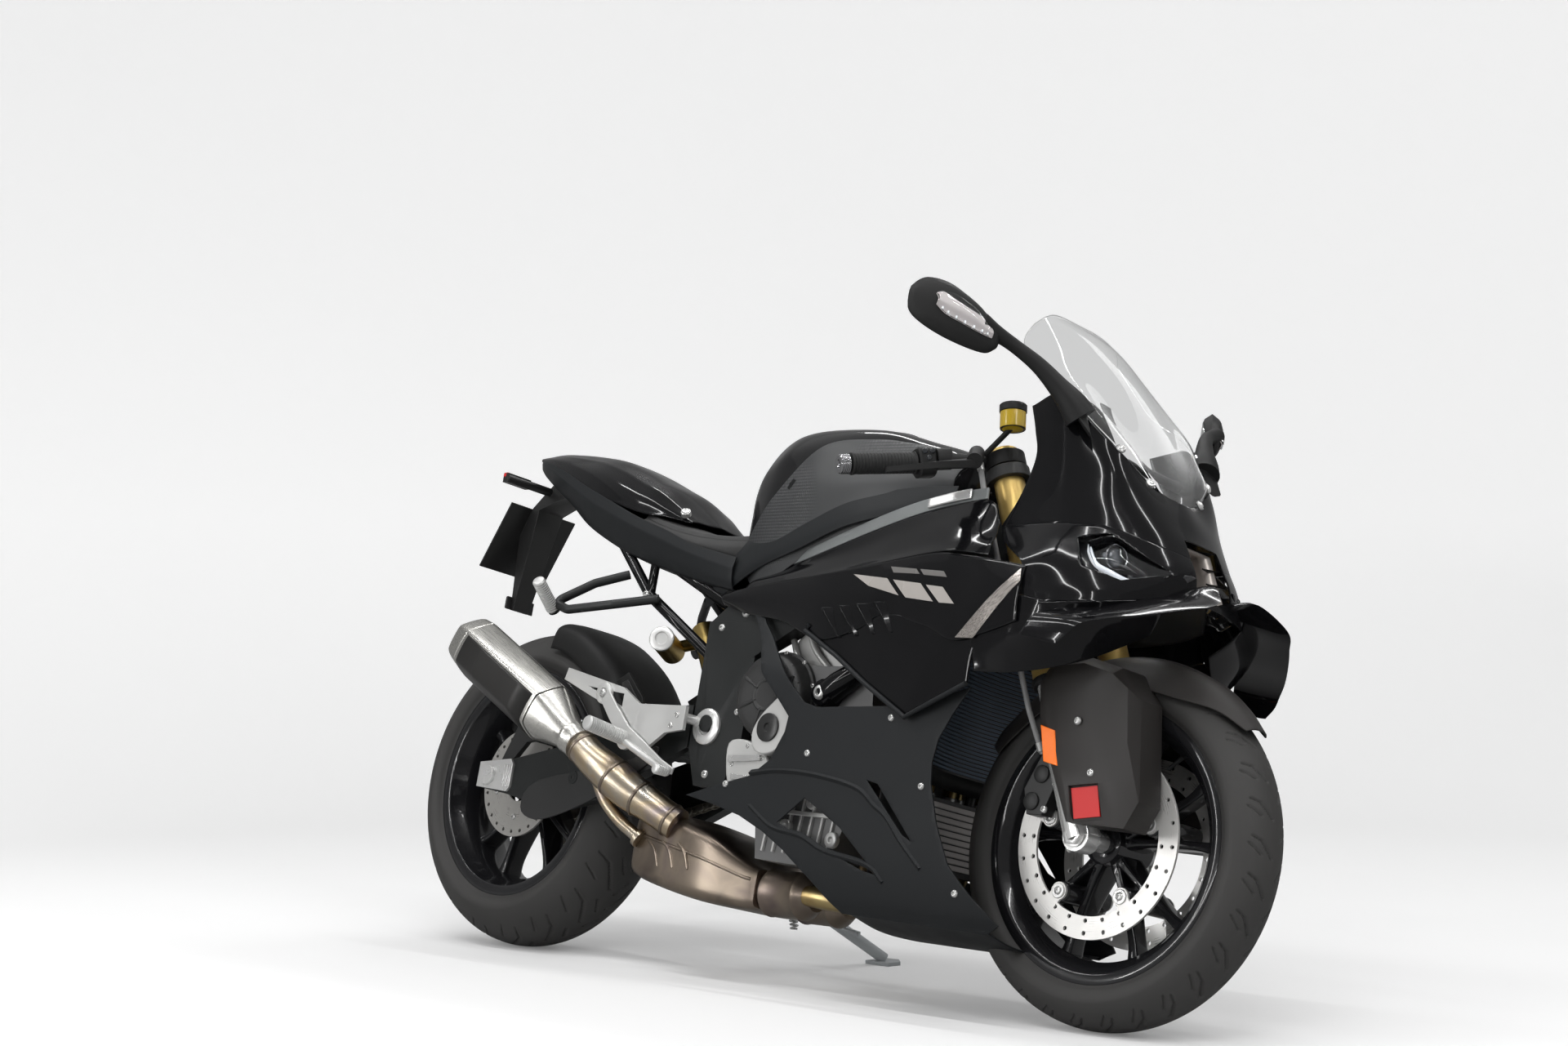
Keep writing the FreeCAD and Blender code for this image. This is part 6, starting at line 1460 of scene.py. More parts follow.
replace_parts(walled(bowl, 1.5, 0), "headlamps")
LENS_SPOT = (1478, -146, 752)
LENS_WAY = (0.93, -0.32, 0.05)
LENS_RING = [(-14, 18), (4, 19), (5, 20.5), (3, 22), (-14, 21)]
LENS_GLASS = [(-16, 17), (-4, 17.5), (2, 15.5), (6, 10.5), (7.5, 4), (7.6, 0.5)]
gather("projector_rings", both([ring_turned(LENS_RING, LENS_SPOT, LENS_WAY, 40)]), "chassis", DARK_CHROME)
projector = finish("projector_glass", (0.05, 0.055, 0.065), 0.03, coat=1.0, grain=0.0, swing=0.01)
gather("projector_lenses", both([turned(LENS_GLASS, LENS_SPOT, LENS_WAY, 40)]), "chassis", projector)
DRL_PATH = [(1441, -170, 768), (1452, -176, 750), (1466, -176, 733), (1484, -168, 724), (1510, -146, 712),
            (1528, -130, 709), (1543, -117, 717)]
drl_glow, tree, glow = blank_look("drl_glow")
frost = node(tree, "TexNoise", [("Scale", 300.0)])
frost_level = node(tree, "MapRange", [("Value", frost.outputs["Fac"]), ("To Min", 0.15), ("To Max", 0.35)])
plug(tree, glow, [("Roughness", frost_level.outputs[0]), ("Base Color", (0.85, 0.88, 0.92, 1)),
                  ("Emission Color", (0.9, 0.95, 1.0, 1)), ("Emission Strength", 0.35)])
drl_path = smooth(np.asarray(DRL_PATH, float) + [-4, 3, 1], 40)
drl_radius = np.interp(np.linspace(0, 1, len(drl_path)), [0, 0.1, 0.9, 1], [2.5, 4.6, 4.6, 3.0])
gather("light_bars", both([tube(drl_path, drl_radius, 12)]), "chassis", drl_glow)

# Central intake: a pale duct that narrows to the rear, with three small black fins each side.
DUCT_STEPS = [
    # x, half width, lowest, highest
    (1572, 47, 712, 800), (1545, 44, 716, 800), (1490, 38, 722, 792), (1440, 32, 730, 780),
]
DUCT_SLOPE = 0.46
FIN_ENDS = [
    # out, rear x, front x, half thickness
    (50, -22, 3, 3),
    (26, -20, -16, 1.2),
]
duct_rings = []
for x, wide, low, high in DUCT_STEPS:
    back, front, broad = x - (high - low) * DUCT_SLOPE - 8, x - 8, wide * 1.04
    duct_rings.append([(back, -wide, high), (back, wide, high), (front, broad, low), (front, 0, low - 6),
                       (front, -broad, low)])
walled(gather("intake_duct", [grid_part(duct_rings, ring_columns=True)], "chassis", PALE_DUCT, solid=False),
       1.5, 0)
fins = []
for z in (776, 750, 806):
    base = 1546 + (776 - z) * DUCT_SLOPE
    for side in (-1, 1):
        fins.append(block([[(base + rear, side * out, z + thick), (base + front, side * out, z),
                            (base + rear, side * out, z - thick)] for out, rear, front, thick in FIN_ENDS]))
gather("intake_fins", fins, "chassis", SOFT_BLACK)

# %% [markdown]
# The winglets are thin aerofoils that sweep back from the nose's lip and turn down at their tips
# into end plates. Each section is a thin drop between a leading and a trailing point.

# %% Winglets
WING_STATIONS = [
    # out, lead x, lead z, trail x, trail z, thickness
    (40, 1592, 716, 1540, 712, 9),
    (64, 1622, 722, 1546, 712, 10),
    (100, 1660, 686, 1540, 700, 11),
    (150, 1634, 664, 1520, 684, 11),
    (200, 1602, 645, 1490, 664, 10),
    (250, 1566, 628, 1462, 644, 9),
    (284, 1536, 612, 1440, 626, 7),
    (294, 1522, 594, 1432, 606, 6),
    (297, 1504, 576, 1424, 590, 5),
]
WING_SECTION = [
    # share of the way back from the leading point, share of the half thickness up
    (0, 0), (0.12, 0.7), (0.35, 1), (0.7, 0.6), (1, 0), (0.7, -0.4), (0.35, -0.6), (0.12, -0.5),
]
END_PLATE_FROM = 280
wing_rings = []
for out, lx, lz, tx, tz, thick in WING_STATIONS:
    lead, trail = np.array([lx, -out, lz], float), np.array([tx, -out, tz], float)
    up = np.array([0, -0.5 if out > END_PLATE_FROM else 0, 1.0])
    wing_rings.append([lead + (trail - lead) * back + up * high * thick / 2 for back, high in WING_SECTION])
winglets = gather("winglet_blades", both([block(smooth(np.array(wing_rings), 49))]), "chassis", GLOSS_BLACK)
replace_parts(winglets, "winglets")
INNER_WALL = [
    # plain inner wall under the nose, beside each fork leg: lower, middle and upper point
    [(1270, -147, 664), (1270, -148, 700), (1274, -150, 742)],
    [(1350, -147, 668), (1350, -148, 702), (1354, -150, 742)],
    [(1420, -143, 676), (1420, -144, 706), (1422, -146, 740)],
    [(1474, -128, 686), (1474, -129, 712), (1476, -132, 738)],
]
pair_of("nose_inner_wall", INNER_WALL, 17, 9, SOFT_BLACK, OUTWARD, wall=2.5)

# %% [markdown]
# The front mudguard is a smooth shell over the tyre. On each side a thick faceted guard covers the
# fork leg, with a recessed red panel, a reflector and two screws.

# %% Mudguard and fork guards
GUARD_TURNS = [
    # degrees round the axle from straight ahead, half width, drop at the side
    (40, 30, 10), (50, 52, 24), (62, 70, 48), (80, 74, 62), (100, 74, 64), (120, 74, 62), (142, 72, 58),
    (150, 66, 48),
]
guard_net = []
for degrees, half, drop in GUARD_TURNS:
    angle = math.radians(degrees)
    row = []
    for share in np.linspace(-1, 1, 9):
        radius = FRONT_R + 18 - drop * abs(share) ** 2.6
        row.append((FRONT_AXLE[0] + radius * math.cos(angle), half * share * (1 - 0.03 * abs(share)),
                    FRONT_AXLE[2] + radius * math.sin(angle)))
    guard_net.append(row)
panel("mudguard_shell", guard_net, 61, 49, GUARD_GREY, (0, 0, 1), body="steering",
      replaces="front_mudguard")
FORK_GUARD = [
    # rim x, z and distance out, then the same corner of the flat outer face
    (1350, 548, 134, 1382, 534, 152), (1372, 588, 126, 1404, 572, 148), (1444, 590, 124, 1446, 576, 147),
    (1506, 574, 122, 1506, 560, 147), (1552, 522, 126, 1542, 536, 150), (1584, 356, 138, 1560, 448, 156),
    (1568, 312, 146, 1544, 386, 157), (1456, 316, 150, 1462, 328, 157), (1414, 398, 150, 1434, 402, 157),
    (1368, 486, 144, 1396, 478, 156),
]
GUARD_DEPTH = 60.0
rim = np.array([(x, -out, z) for x, z, out, *_ in FORK_GUARD], float)
guard_face = np.array([(x, -out, z) for *_, x, z, out in FORK_GUARD], float)
guard_stack = [rim + [0, GUARD_DEPTH, 0], rim + [0, 5, 0], rim, guard_face]
guards = gather("fork_guards", both([block(np.array(guard_stack))]), "steering", GUARD_GREY)
carve(guards, both([slab([(1456, 373), (1514, 380), (1528, 324), (1471, 317)], -170, -150),
                    turned([(0, 31), (330, 31)], on_fork(40, -FORK_SPREAD), FORK_UP, 48)]))
rounded(guards, 1.4, 2, 30)
red_face = [slab([(1459, 370), (1511, 377), (1524, 328), (1473, 321)], -152.5, -148)]
gather("guard_red_panels", both(red_face), "steering", RED)
reflector = [slab([(1382, 470), (1412, 462), (1428, 404), (1398, 410)], -157, -150)]
rounded(gather("side_reflectors", both(reflector), "steering", AMBER_LENS), 1.2, 2)
guard_screws = [screw((x, -out, z), OUTWARD, 6.5) for x, z, out in ((1456, 479, 156), (1497, 396, 157))]
gather("guard_screws", both(guard_screws), "steering", STEEL)
print("front end done")

# %% [markdown]
# ## Exhaust
# The silencer's section is a hexagon with very round corners, a shape that a folded and pressed
# sheet has. Two points beside each corner and a smooth closed curve through them give it, and a
# few such rings along the can's axis make the cone, the straight can and the drawn-in end cap.

# %% Silencer
CAN_AXIS = np.array(CAN_ALONG, float) / np.linalg.norm(CAN_ALONG)
CAN_SIDE = np.array([0.0, 1.0, 0.0])
CAN_UP = np.cross(CAN_SIDE, CAN_AXIS)
CAN_FRONT = np.array([236.0, -229.0, 438.0])


def closed_curve(corners, per_side):
    """Smooth closed curve through the corners, made by running on past its own start."""
    corners = np.asarray(corners, float)
    wrapped = np.concatenate([corners[-2:], corners, corners[:3]])
    count = per_side * (len(wrapped) - 1)
    return smooth(wrapped, count)[2 * per_side:(2 + len(corners)) * per_side]


def can_ring(distance, wide, tall, corner=0.16):
    """Ring of the can's hexagon at a distance back along its axis from the front seam."""
    turns = np.radians(np.arange(6) * 60 + 30)
    tips = np.stack([np.cos(turns), np.sin(turns)], 1)
    before = tips + corner * (np.roll(tips, 1, 0) - tips)
    after = tips + corner * (np.roll(tips, -1, 0) - tips)
    flat = closed_curve(np.stack([before, after], 1).reshape(-1, 2), 5)
    return (CAN_FRONT + distance * CAN_AXIS + flat[:, :1] * wide * CAN_SIDE
            + flat[:, 1:] * tall * CAN_UP)


def round_ring(distance, radius, shift=(0, 0, 0), count=60):
    """Circle with as many points as a can ring, for the neck of the cone."""
    turn = np.linspace(0, 2 * math.pi, count, endpoint=False) + math.radians(18)
    return (CAN_FRONT + distance * CAN_AXIS + np.asarray(shift, float)
            + radius * (np.cos(turn)[:, None] * CAN_SIDE + np.sin(turn)[:, None] * CAN_UP))


CAN_STEPS = [(0, 60, 63), (3, 61, 64), (120, 61, 64), (252, 61, 64), (255, 60, 63)]
CAP_STEPS = [(256, 59, 62), (258, 60.5, 63.5), (284, 56, 59), (292, 52, 55), (294, 48, 51)]
NECK_STEPS = [
    # distance back, radius, shift
    (-62, 35, (0, 2, -4)), (-76, 32, (0, 4, -6)), (-80, 33.5, (0, 4, -6)), (-86, 33.5, (0, 5, -6)),
    (-90, 31.5, (0, 5, -7)), (-106, 32, (0, 7, -8)),
]
can = gather("silencer_can", [block([can_ring(*step) for step in CAN_STEPS])], "chassis", CAN_STEEL)
gather("silencer_end_cap", [block([can_ring(*step) for step in CAP_STEPS])], "chassis", CAN_STEEL)
cone = [can_ring(-2, 58, 61)] + [round_ring(*step) for step in NECK_STEPS]
gather("silencer_cone", [block(cone)], "chassis", CAN_STEEL)
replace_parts(can, "silencer")
# The points of the can's ring that don't face up or inwards carry a dark film, in order round it. It is
# painted shade: it stands for the dark floor mirrored in the can's lower and outer faces.
height = (can_ring(0, 1, 1) - CAN_FRONT) @ CAN_UP
inward = (can_ring(0, 1, 1) - CAN_FRONT) @ CAN_SIDE
shade_columns = np.where((height < 0.42) & (inward < 0.45))[0]
start = shade_columns[np.argmin([inward[c] * -0.3 - height[c] for c in shade_columns])]
order = sorted(shade_columns, key=lambda c: (c - start) % 60)
shade_rows = [can_ring(d, 61.4, 64.4)[order] for d in (8, 60, 120, 180, 247)]
walled(gather("silencer_painted_shade_film", [grid_part(shade_rows)], "chassis", CAN_PAINTED_SHADE, solid=False), 0.5, 0)
OUTLET = [(0, 24), (12, 24), (12, 21), (2, 21)]
gather("silencer_outlet", [turned(OUTLET, CAN_FRONT + 286 * CAN_AXIS, CAN_AXIS)], "chassis", CAN_STEEL)

# %% [markdown]
# A bent pipe joins the can to the collector, and it is widest between its two weld rings. A weld
# is a low round bead, so each one is a short turned ring set square to the pipe.

# %% Link pipe and welds
LINK = [(322, -211, 384), (360, -204, 358), (404, -190, 332), (446, -174, 306), (492, -158, 284),
        (548, -136, 256)]
LINK_R = [31, 33, 37, 36, 32, 31]
link_path = smooth(LINK, 40)
link_radius = smooth(np.array(LINK_R, float)[:, None], 40)[:, 0]
gather("link_pipe", [tube(link_path, link_radius, 32)], "chassis", LINK_STRAW)
link_way = lengthwise(link_path)
beads = []
for share in (0.06, 0.42, 0.70, 0.95):
    spot = round(share * (len(link_path) - 1))
    r = link_radius[spot]
    beads.append(turned([(-4, r - 0.5), (-2.5, r + 1.6), (0, r + 2.4), (2.5, r + 1.6), (4, r - 0.5)],
                        link_path[spot], link_way[spot], 36))
gather("link_welds", beads, "chassis", BOX_BROWN)
THIN_PIPE = [(372, -196, 322), (392, -184, 284), (428, -170, 250), (462, -152, 226)]
gather("bypass_pipe", [tube(THIN_PIPE, 12, 18, count=20),
                       turned([(-8, 18), (0, 18), (0, 13), (5, 13)], THIN_PIPE[-1], (-1, -0.4, 0.7))],
       "chassis", LINK_STRAW)

# %% [markdown]
# The collector is a pressed box whose two halves meet in a raised seam. Its rings are rounded
# boxes, and their sides follow |y|^n + |z|^n = 1 with n = 8. Three slanting beads are pressed in
# its outer side. Two round catalyst cans run forward from it to the four header pipes.

# %% Collector and header pipes


def soft_box(x, y_low, y_high, z_low, z_high, power=8.0, count=64):
    """Ring at x through a rounded box."""
    turn = np.linspace(0, 2 * math.pi, count, endpoint=False)
    wide, tall = np.cos(turn), np.sin(turn)
    reach = (np.abs(wide)**power + np.abs(tall)**power)**(-1 / power)
    middle = np.array([(y_low + y_high) / 2, (z_low + z_high) / 2])
    half = np.array([(y_high - y_low) / 2, (z_high - z_low) / 2])
    ring = middle + np.stack([wide, tall], 1) * reach[:, None] * half
    return np.column_stack([np.full(count, float(x)), ring])


BOX_STATIONS = [(742, -104, 64, 124, 196), (716, -118, 70, 120, 206), (640, -142, 72, 122, 246),
                (560, -147, 68, 132, 268), (470, -148, 60, 150, 284), (444, -140, 52, 164, 272),
                (434, -116, 36, 188, 256)]
box_rows = smooth([soft_box(*station) for station in BOX_STATIONS], 36)
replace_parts(gather("exhaust_collector", [block(box_rows)], "chassis", BOX_BROWN), "exhaust_headers")
seam = tube([(ring[0, 0], ring[:, 1].min() + 1, ring[:, 2].mean() + 14) for ring in box_rows[3:-1]], 3.2, 10)
BEAD_XS = (490, 530, 570)
ribs = [tube([(x, -146.4, 222), (x + 22, -147.6, 204), (x + 34, -145.6, 176)], 3.2, 8, up=(0, 1, 0.3),
             count=10) for x in BEAD_XS]
gather("collector_seam_and_beads", [seam] + ribs, "chassis", BOX_BROWN)
CATS = [(-58, 158), (34, 158)]
CAT_PROFILE = [(0, 30), (14, 42), (20, 44), (24, 42), (96, 42), (100, 44), (106, 42), (124, 28), (128, 26)]
gather("catalyst_cans", [turned(CAT_PROFILE, (728, y, z), (1, 0, 0), 36) for y, z in CATS], "chassis",
       BOX_BROWN)
CLAMP_PROFILE = [(-5, 20), (-4, 21.6), (4, 21.6), (5, 20)]
header_tubes = []
header_clamps = []
for number, port in enumerate((-132, -44, 44, 132)):
    merge = -58 + 92 * (number // 2) + (-16 if number % 2 == 0 else 16)
    run = smooth([(1050, port * 0.62, 668), (1086, port * 0.7, 610), (1080, port * 0.8, 520),
                  (1056, port * 0.9, 420), (1040, port * 0.9, 300), (1008, port * 0.8, 196),
                  (940, merge * 0.9, 158), (846, merge, 158)], 60)
    header_tubes.append(tube(run, 19, 20, up=(0, 1, 0.2)))
    for share in (0.5, 0.86):
        spot = round(share * (len(run) - 1))
        header_clamps.append(turned(CLAMP_PROFILE, run[spot], lengthwise(run)[spot], 28))
gather("header_pipes", header_tubes, "chassis", HEADER_GOLD)
gather("header_clamps", header_clamps, "chassis", STEEL)

# %% [markdown]
# ## Engine and its covers
# Castings have rounded corners, ribs that stiffen a flat face and a ring of small screws. The
# block keeps the solid model's shape with its corners rounded. The covers are turned profiles:
# a flange, a short wall, a rounded shoulder and a slightly dished face.

# %% Engine block and covers
case_ribs = []
for x in range(800, 980, 26):
    case_ribs.append(slab([(x, 330), (x + 5, 330), (x - 5, 222), (x - 10, 222)], -156, -148))
case_ribs.append(slab([(784, 300), (986, 296), (986, 288), (784, 292)], -157, -148))
case_ribs += [turned([(0, 15), (9, 14), (10, 12), (10, 5), (6, 4)], (x, -149, z), OUTWARD, 28)
              for x, z in ((842, 268), (900, 316), (958, 252))]
rounded(gather("case_ribs", both(case_ribs), "chassis", CAST_SILVER), 1.5)


def cover(centre, side, radius, tall, start=150.0):
    """Round cover on the engine's side, with its flange and rounded shoulder."""
    x, z = centre
    profile = [(0, radius), (7, radius), (8, radius - 5), (tall - 12, radius * 0.90),
               (tall - 5, radius * 0.86), (tall - 1, radius * 0.78), (tall, radius * 0.66),
               (tall - 1.5, radius * 0.5), (tall - 2, 2)]
    return turned(profile, (x, side * start, z), (0, side, 0), 64)


def cover_screws(centre, side, radius, depth, count, turn=0.0):
    """Screws round a cover's flange."""
    x, z = centre
    turns = [2 * math.pi * number / count + turn for number in range(count)]
    return [screw((x + radius * math.cos(angle), side * depth, z + radius * math.sin(angle)),
                  (0, side, 0), 4.6) for angle in turns]


CLUTCH = (776.0, 497.0)
CLUTCH_R = 86.0
CLUTCH_FACE = np.array([CLUTCH[0], -193, CLUTCH[1]])
RIB_TURNS = (20, 48, 100, 152, 204, 256, 308)
COVER_RING = [(-1.5, 22), (1.2, 25), (1.6, 29), (-1.5, 32)]
LEFT_COVER = (880, 440)
clutch_parts = [cover(CLUTCH, -1, CLUTCH_R, 44)]
for angle in np.radians(RIB_TURNS):
    way = np.array([math.cos(angle), 0, math.sin(angle)])
    rib_path = [CLUTCH_FACE + way * 24, CLUTCH_FACE + way * 60, CLUTCH_FACE + way * 76 + (0, 8, 0)]
    clutch_parts.append(tube(rib_path, [2.2, 3.2, 2.4], 10, up=(0, 1, 0)))
clutch_parts.append(turned(COVER_RING, CLUTCH_FACE, OUTWARD, 48))
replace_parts(gather("clutch_cover", clutch_parts, "chassis", CAST_BLACK), "engine_covers")
WEDGE = [(800, 505), (838, 498), (840, 532), (806, 524)]
gather("clutch_cover_window", [slab(WEDGE, -195.5, -190)], "chassis", PLATE_BLACK)
gather("clutch_cover_screws", cover_screws(CLUTCH, -1, CLUTCH_R - 3, 157, 10, 0.3), "chassis", STEEL)
gather("left_covers", [cover(LEFT_COVER, 1, 82, 42), cover((828, 500), 1, 48, 20)], "chassis", CAST_BLACK)
gather("left_cover_screws", cover_screws(LEFT_COVER, 1, 79, 157, 10), "chassis", STEEL)

GENERATOR = [(806, 482), (822, 494), (842, 490), (860, 466), (864, 430), (842, 402), (806, 388), (776, 396),
             (766, 426), (780, 456)]
PUMP = [(694, 408), (742, 414), (790, 392), (806, 366), (796, 338), (760, 318), (722, 322), (700, 350)]
HOUSINGS = [
    # name, outline, outer and inner distance, soft edge
    ("generator_cover", GENERATOR, -201, -150, 3),
    ("pump_housing", PUMP, -184, -104, 4),
]
for name, outline, outer, inner, soft in HOUSINGS:
    rounded(gather(name, [slab(closed_curve(outline, 4), outer, inner)], "chassis", CAST_SILVER), soft, 3)
PLUG_PROFILE = [(0, 26), (3, 26), (4, 24), (4, 8), (1, 7), (1, 1)]
gather("generator_plug", [turned(PLUG_PROFILE, (806, -201, 436), OUTWARD, 40)], "chassis", PLATE_BLACK)
pump_parts = [slab([(704, 384), (784, 388), (784, 378), (704, 372)], -189, -183),
              slab([(716, 352), (780, 348), (776, 340), (718, 342)], -188, -183),
              *cover_screws((752, 364), -1, 40, 183, 5, 0.5), screw((836, -190, 474), OUTWARD, 9),
              screw((790, -190, 404), OUTWARD, 7)]
gather("pump_ribs_and_screws", pump_parts, "chassis", STEEL)

# %% [markdown]
# The cylinder head shows between the fairings as a pale casting with slanting ribs. In front of
# it a black coolant elbow ends in a large screw.

# %% Cylinder head and coolant elbow
HEAD = [(742, 548), (770, 612), (836, 668), (900, 668), (968, 612), (940, 540), (872, 500), (790, 502)]
rounded(gather("head_casting", [slab(HEAD, -128, -84)], "chassis", CAST_SILVER), 8, 3)
RIB_TOPS = [(762, 612), (796, 636), (836, 654), (880, 662)]
head_ribs = [tube([(x, -129, z), (x + 34, -137, z - 46), (x + 88, -131, z - 92)], 6, 12, up=(0, 1, 0),
                  count=14) for x, z in RIB_TOPS]
head_ribs.append(tube([(748, -126, 560), (800, -134, 528), (872, -130, 512)], 7, 12, up=(0, 1, 0), count=14))
gather("head_ribs", head_ribs, "chassis", CAST_SILVER)
ELBOW = [(902, -166, 506), (930, -168, 524), (966, -164, 548), (1000, -146, 572), (1020, -118, 590)]
ELBOW_END = [(-20, 25), (14, 25), (17, 22), (17, 6)]
elbow_parts = [tube(ELBOW, [24, 24, 21, 21, 21], 24), turned(ELBOW_END, ELBOW[0], OUTWARD, 36)]
gather("coolant_elbow", elbow_parts, "chassis", GLOSS_BLACK)
gather("elbow_screw", [screw((902, -183, 506), OUTWARD, 14)], "chassis", STEEL)

# %% [markdown]
# ## Radiators
# A radiator core is a stack of flat tubes with folded strips between them. From outside only the
# tubes' front edges show, so each is a long bar that follows the core's bowed plane.

# %% Radiator cores
CORES = [
    # name, look, low row (z, middle x, side x, half width), high row, spacing, bar height
    ("radiator_core_bars", CORE_BLUE, (394, 1114, 1152, 158), (634, 1167, 1198, 156), 6.6, 4.2),
    ("oil_cooler_bars", CORE_PALE, (230, 1087, 1095, 100), (348, 1099, 1109, 112), 11.0, 8.6),
]
BOWED = np.linspace(-1, 1, 7)
for name, look, low, high, spacing, tall in CORES:
    low, high = np.array(low, float), np.array(high, float)
    section = np.array([(0, 0, -tall / 2), (0, 0, tall / 2), (-9, 0, tall / 2), (-9, 0, -tall / 2)])
    bars = []
    for z in np.arange(low[0] + spacing, high[0] - 1, spacing):
        share = (z - low[0]) / (high[0] - low[0])
        _, middle, side, half = low + share * (high - low)
        line = [(middle + (side - middle) * out**2 + 2, out * half, z) for out in BOWED]
        bars.append(block(np.array(line)[:, None] + section))
    gather(name, bars, "chassis", look)
BAND_ENDS = [(394, 1114, 1152, 158), (366, 1108, 1146, 158)]
band_rows = [[(middle + (side - middle) * out**2 + 3, out * half, z) for out in BOWED]
             for z, middle, side, half in BAND_ENDS]
band = gather("radiator_band", [grid_part(band_rows)], "chassis", SOFT_BLACK, solid=False)
walled(facing(band, (1, 0, 0)), 8)
# Plain black walls close the space between the cores' ends and the lower fairing.
SHROUD_LINE = [
    # z, x, distance out of its inner edge
    (200, 1090, 98), (300, 1100, 108), (362, 1110, 118), (396, 1146, 152), (500, 1176, 162), (590, 1188, 158),
]
shroud_rows = [[(x, -inner, z), (x - 4, -(inner + lower_out(z)) / 2, z), (x - 6, -lower_out(z) + 4, z)]
               for z, x, inner in SHROUD_LINE]
pair_of("radiator_shroud", shroud_rows, 33, 9, SOFT_BLACK, (1, 0, 0), wall=2.5)

# %% [markdown]
# ## Swingarm, guard and footrests
# The swingarm, frame and subframe are welded from castings and tube, so they keep the solid
# model's shape and only their corners are rounded. Silver adjuster blocks hold the rear axle.

# %% Frame and swingarm
SHOCK_CAP = [(-3, 25), (2, 25), (4, 22), (4, 13), (1, 12), (1, 1)]
gather("shock_can_cap", [turned(SHOCK_CAP, (398, -120, 612), (38, -70, 12), 40)], "chassis", REARSET)
ADJUSTER = [(-34, 296), (60, 290), (68, 300), (68, 346), (60, 356), (-34, 346)]
adjuster_parts = both([slab(ADJUSTER, -156, -149)])
for x in (46, 54, 62):
    adjuster_parts += both([slab([(x, 300), (x + 3, 300), (x + 3, 344), (x, 344)], -158, -155)])
rounded(gather("axle_adjusters", adjuster_parts, "chassis", MACHINED), 1.2)
ARM_RELIEF = [(110, 262), (150, 318), (380, 362), (470, 398), (466, 372), (380, 318), (250, 262), (160, 240)]
relief = both([slab(closed_curve(ARM_RELIEF, 4), -153, -149)])
rounded(gather("swingarm_relief", relief, "chassis", CAST_BLACK), 1.5)
FRAME_SCREWS = [(649, -150, 657, 9), (591, -150, 628, 7), (612, -150, 352, 8), (668, -150, 470, 6)]
gather("frame_screws", both([screw((x, y, z), OUTWARD, r) for x, y, z, r in FRAME_SCREWS]), "chassis", STEEL)
SUB_SCREWS = [((600, -131, 664), 12), ((572, -127, 560), 10), ((330, -121, 785), 9), ((330, -119, 700), 8)]
gather("subframe_screws", both([screw(place, OUTWARD, r) for place, r in SUB_SCREWS]), "chassis", STEEL)
PIVOT_CAP = [(0, 34), (5, 34), (8, 30), (8, 17), (3, 16), (3, 1)]
gather("pivot_caps", both([turned(PIVOT_CAP, (598, -150, 440), OUTWARD, 48)]), "chassis", MACHINED)

# %% [markdown]
# The guard over the rear tyre is one moulded skin round the tyre's shoulder. Its rings are swung
# about the axle, and a raised frame with a dark slot stands on each flank.

# %% Rear guard
HUGGER_MIDDLE = (0, 0, 320)
HUGGER_R = 342
HUGGER_TURNS = (18, 32, 48, 64, 74, 80)
HUGGER_RIGHT = [
    # across the machine, drop below the guard's top
    (-98.5, 62), (-97, 30), (-88, 13), (-60, 2), (0, 0),
]
END_LIFT = 0.35
hugger_section = HUGGER_RIGHT + [(-y, drop) for y, drop in HUGGER_RIGHT[-2::-1]]
hugger_net = np.array([[wheel_point(HUGGER_MIDDLE, HUGGER_R - drop, math.radians(turn), y)
                        for y, drop in hugger_section] for turn in HUGGER_TURNS])
hugger_net[-1, :, 2] += (hugger_net[-2, :, 2] - hugger_net[-1, :, 2]) * END_LIFT
hugger = gather("rear_guard_shell", [grid_part(smooth_net(hugger_net, 24, 40))], "chassis", SOFT_BLACK,
                solid=False)
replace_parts(walled(facing(hugger, (0.6, 0, 0.8)), 3), "rear_hugger")
GUARD_LEG = [(322, 398), (439, 400), (439, 440), (318, 448)]
rounded(gather("rear_guard_leg", [slab(GUARD_LEG, -50, 50)], "chassis", SOFT_BLACK), 6, 3)
VENT_FRAME = [(268, 530), (300, 548), (352, 500), (366, 462), (330, 452)]
VENT_SLOT = [(286, 526), (303, 533), (340, 496), (346, 472), (328, 468)]
rounded(gather("rear_guard_vent", both([slab(VENT_FRAME, -102, -95)]), "chassis", SOFT_BLACK), 1.5)
rounded(gather("rear_guard_slot", both([slab(VENT_SLOT, -103.5, -100)]), "chassis", PLATE_BLACK), 0.8)

# %% [markdown]
# The rear sets are milled plates. A peg's grip is cut with rings and flats, which a turned
# profile of many small steps gives.

# %% Footrests


def knurled_peg(start, end, radius):
    """Peg with a groove every five millimetres and a domed tip."""
    start, end = np.asarray(start, float), np.asarray(end, float)
    long = np.linalg.norm(end - start)
    profile = [(0, radius - 2)]
    for place in np.arange(2, long - 6, 5.0):
        profile += [(place, radius - 1.6), (place + 0.8, radius), (place + 3.4, radius),
                    (place + 4.2, radius - 1.6)]
    profile += [(long - 4, radius), (long - 1, radius - 2), (long, radius - 6)]
    return turned(profile, start, end - start, 24)


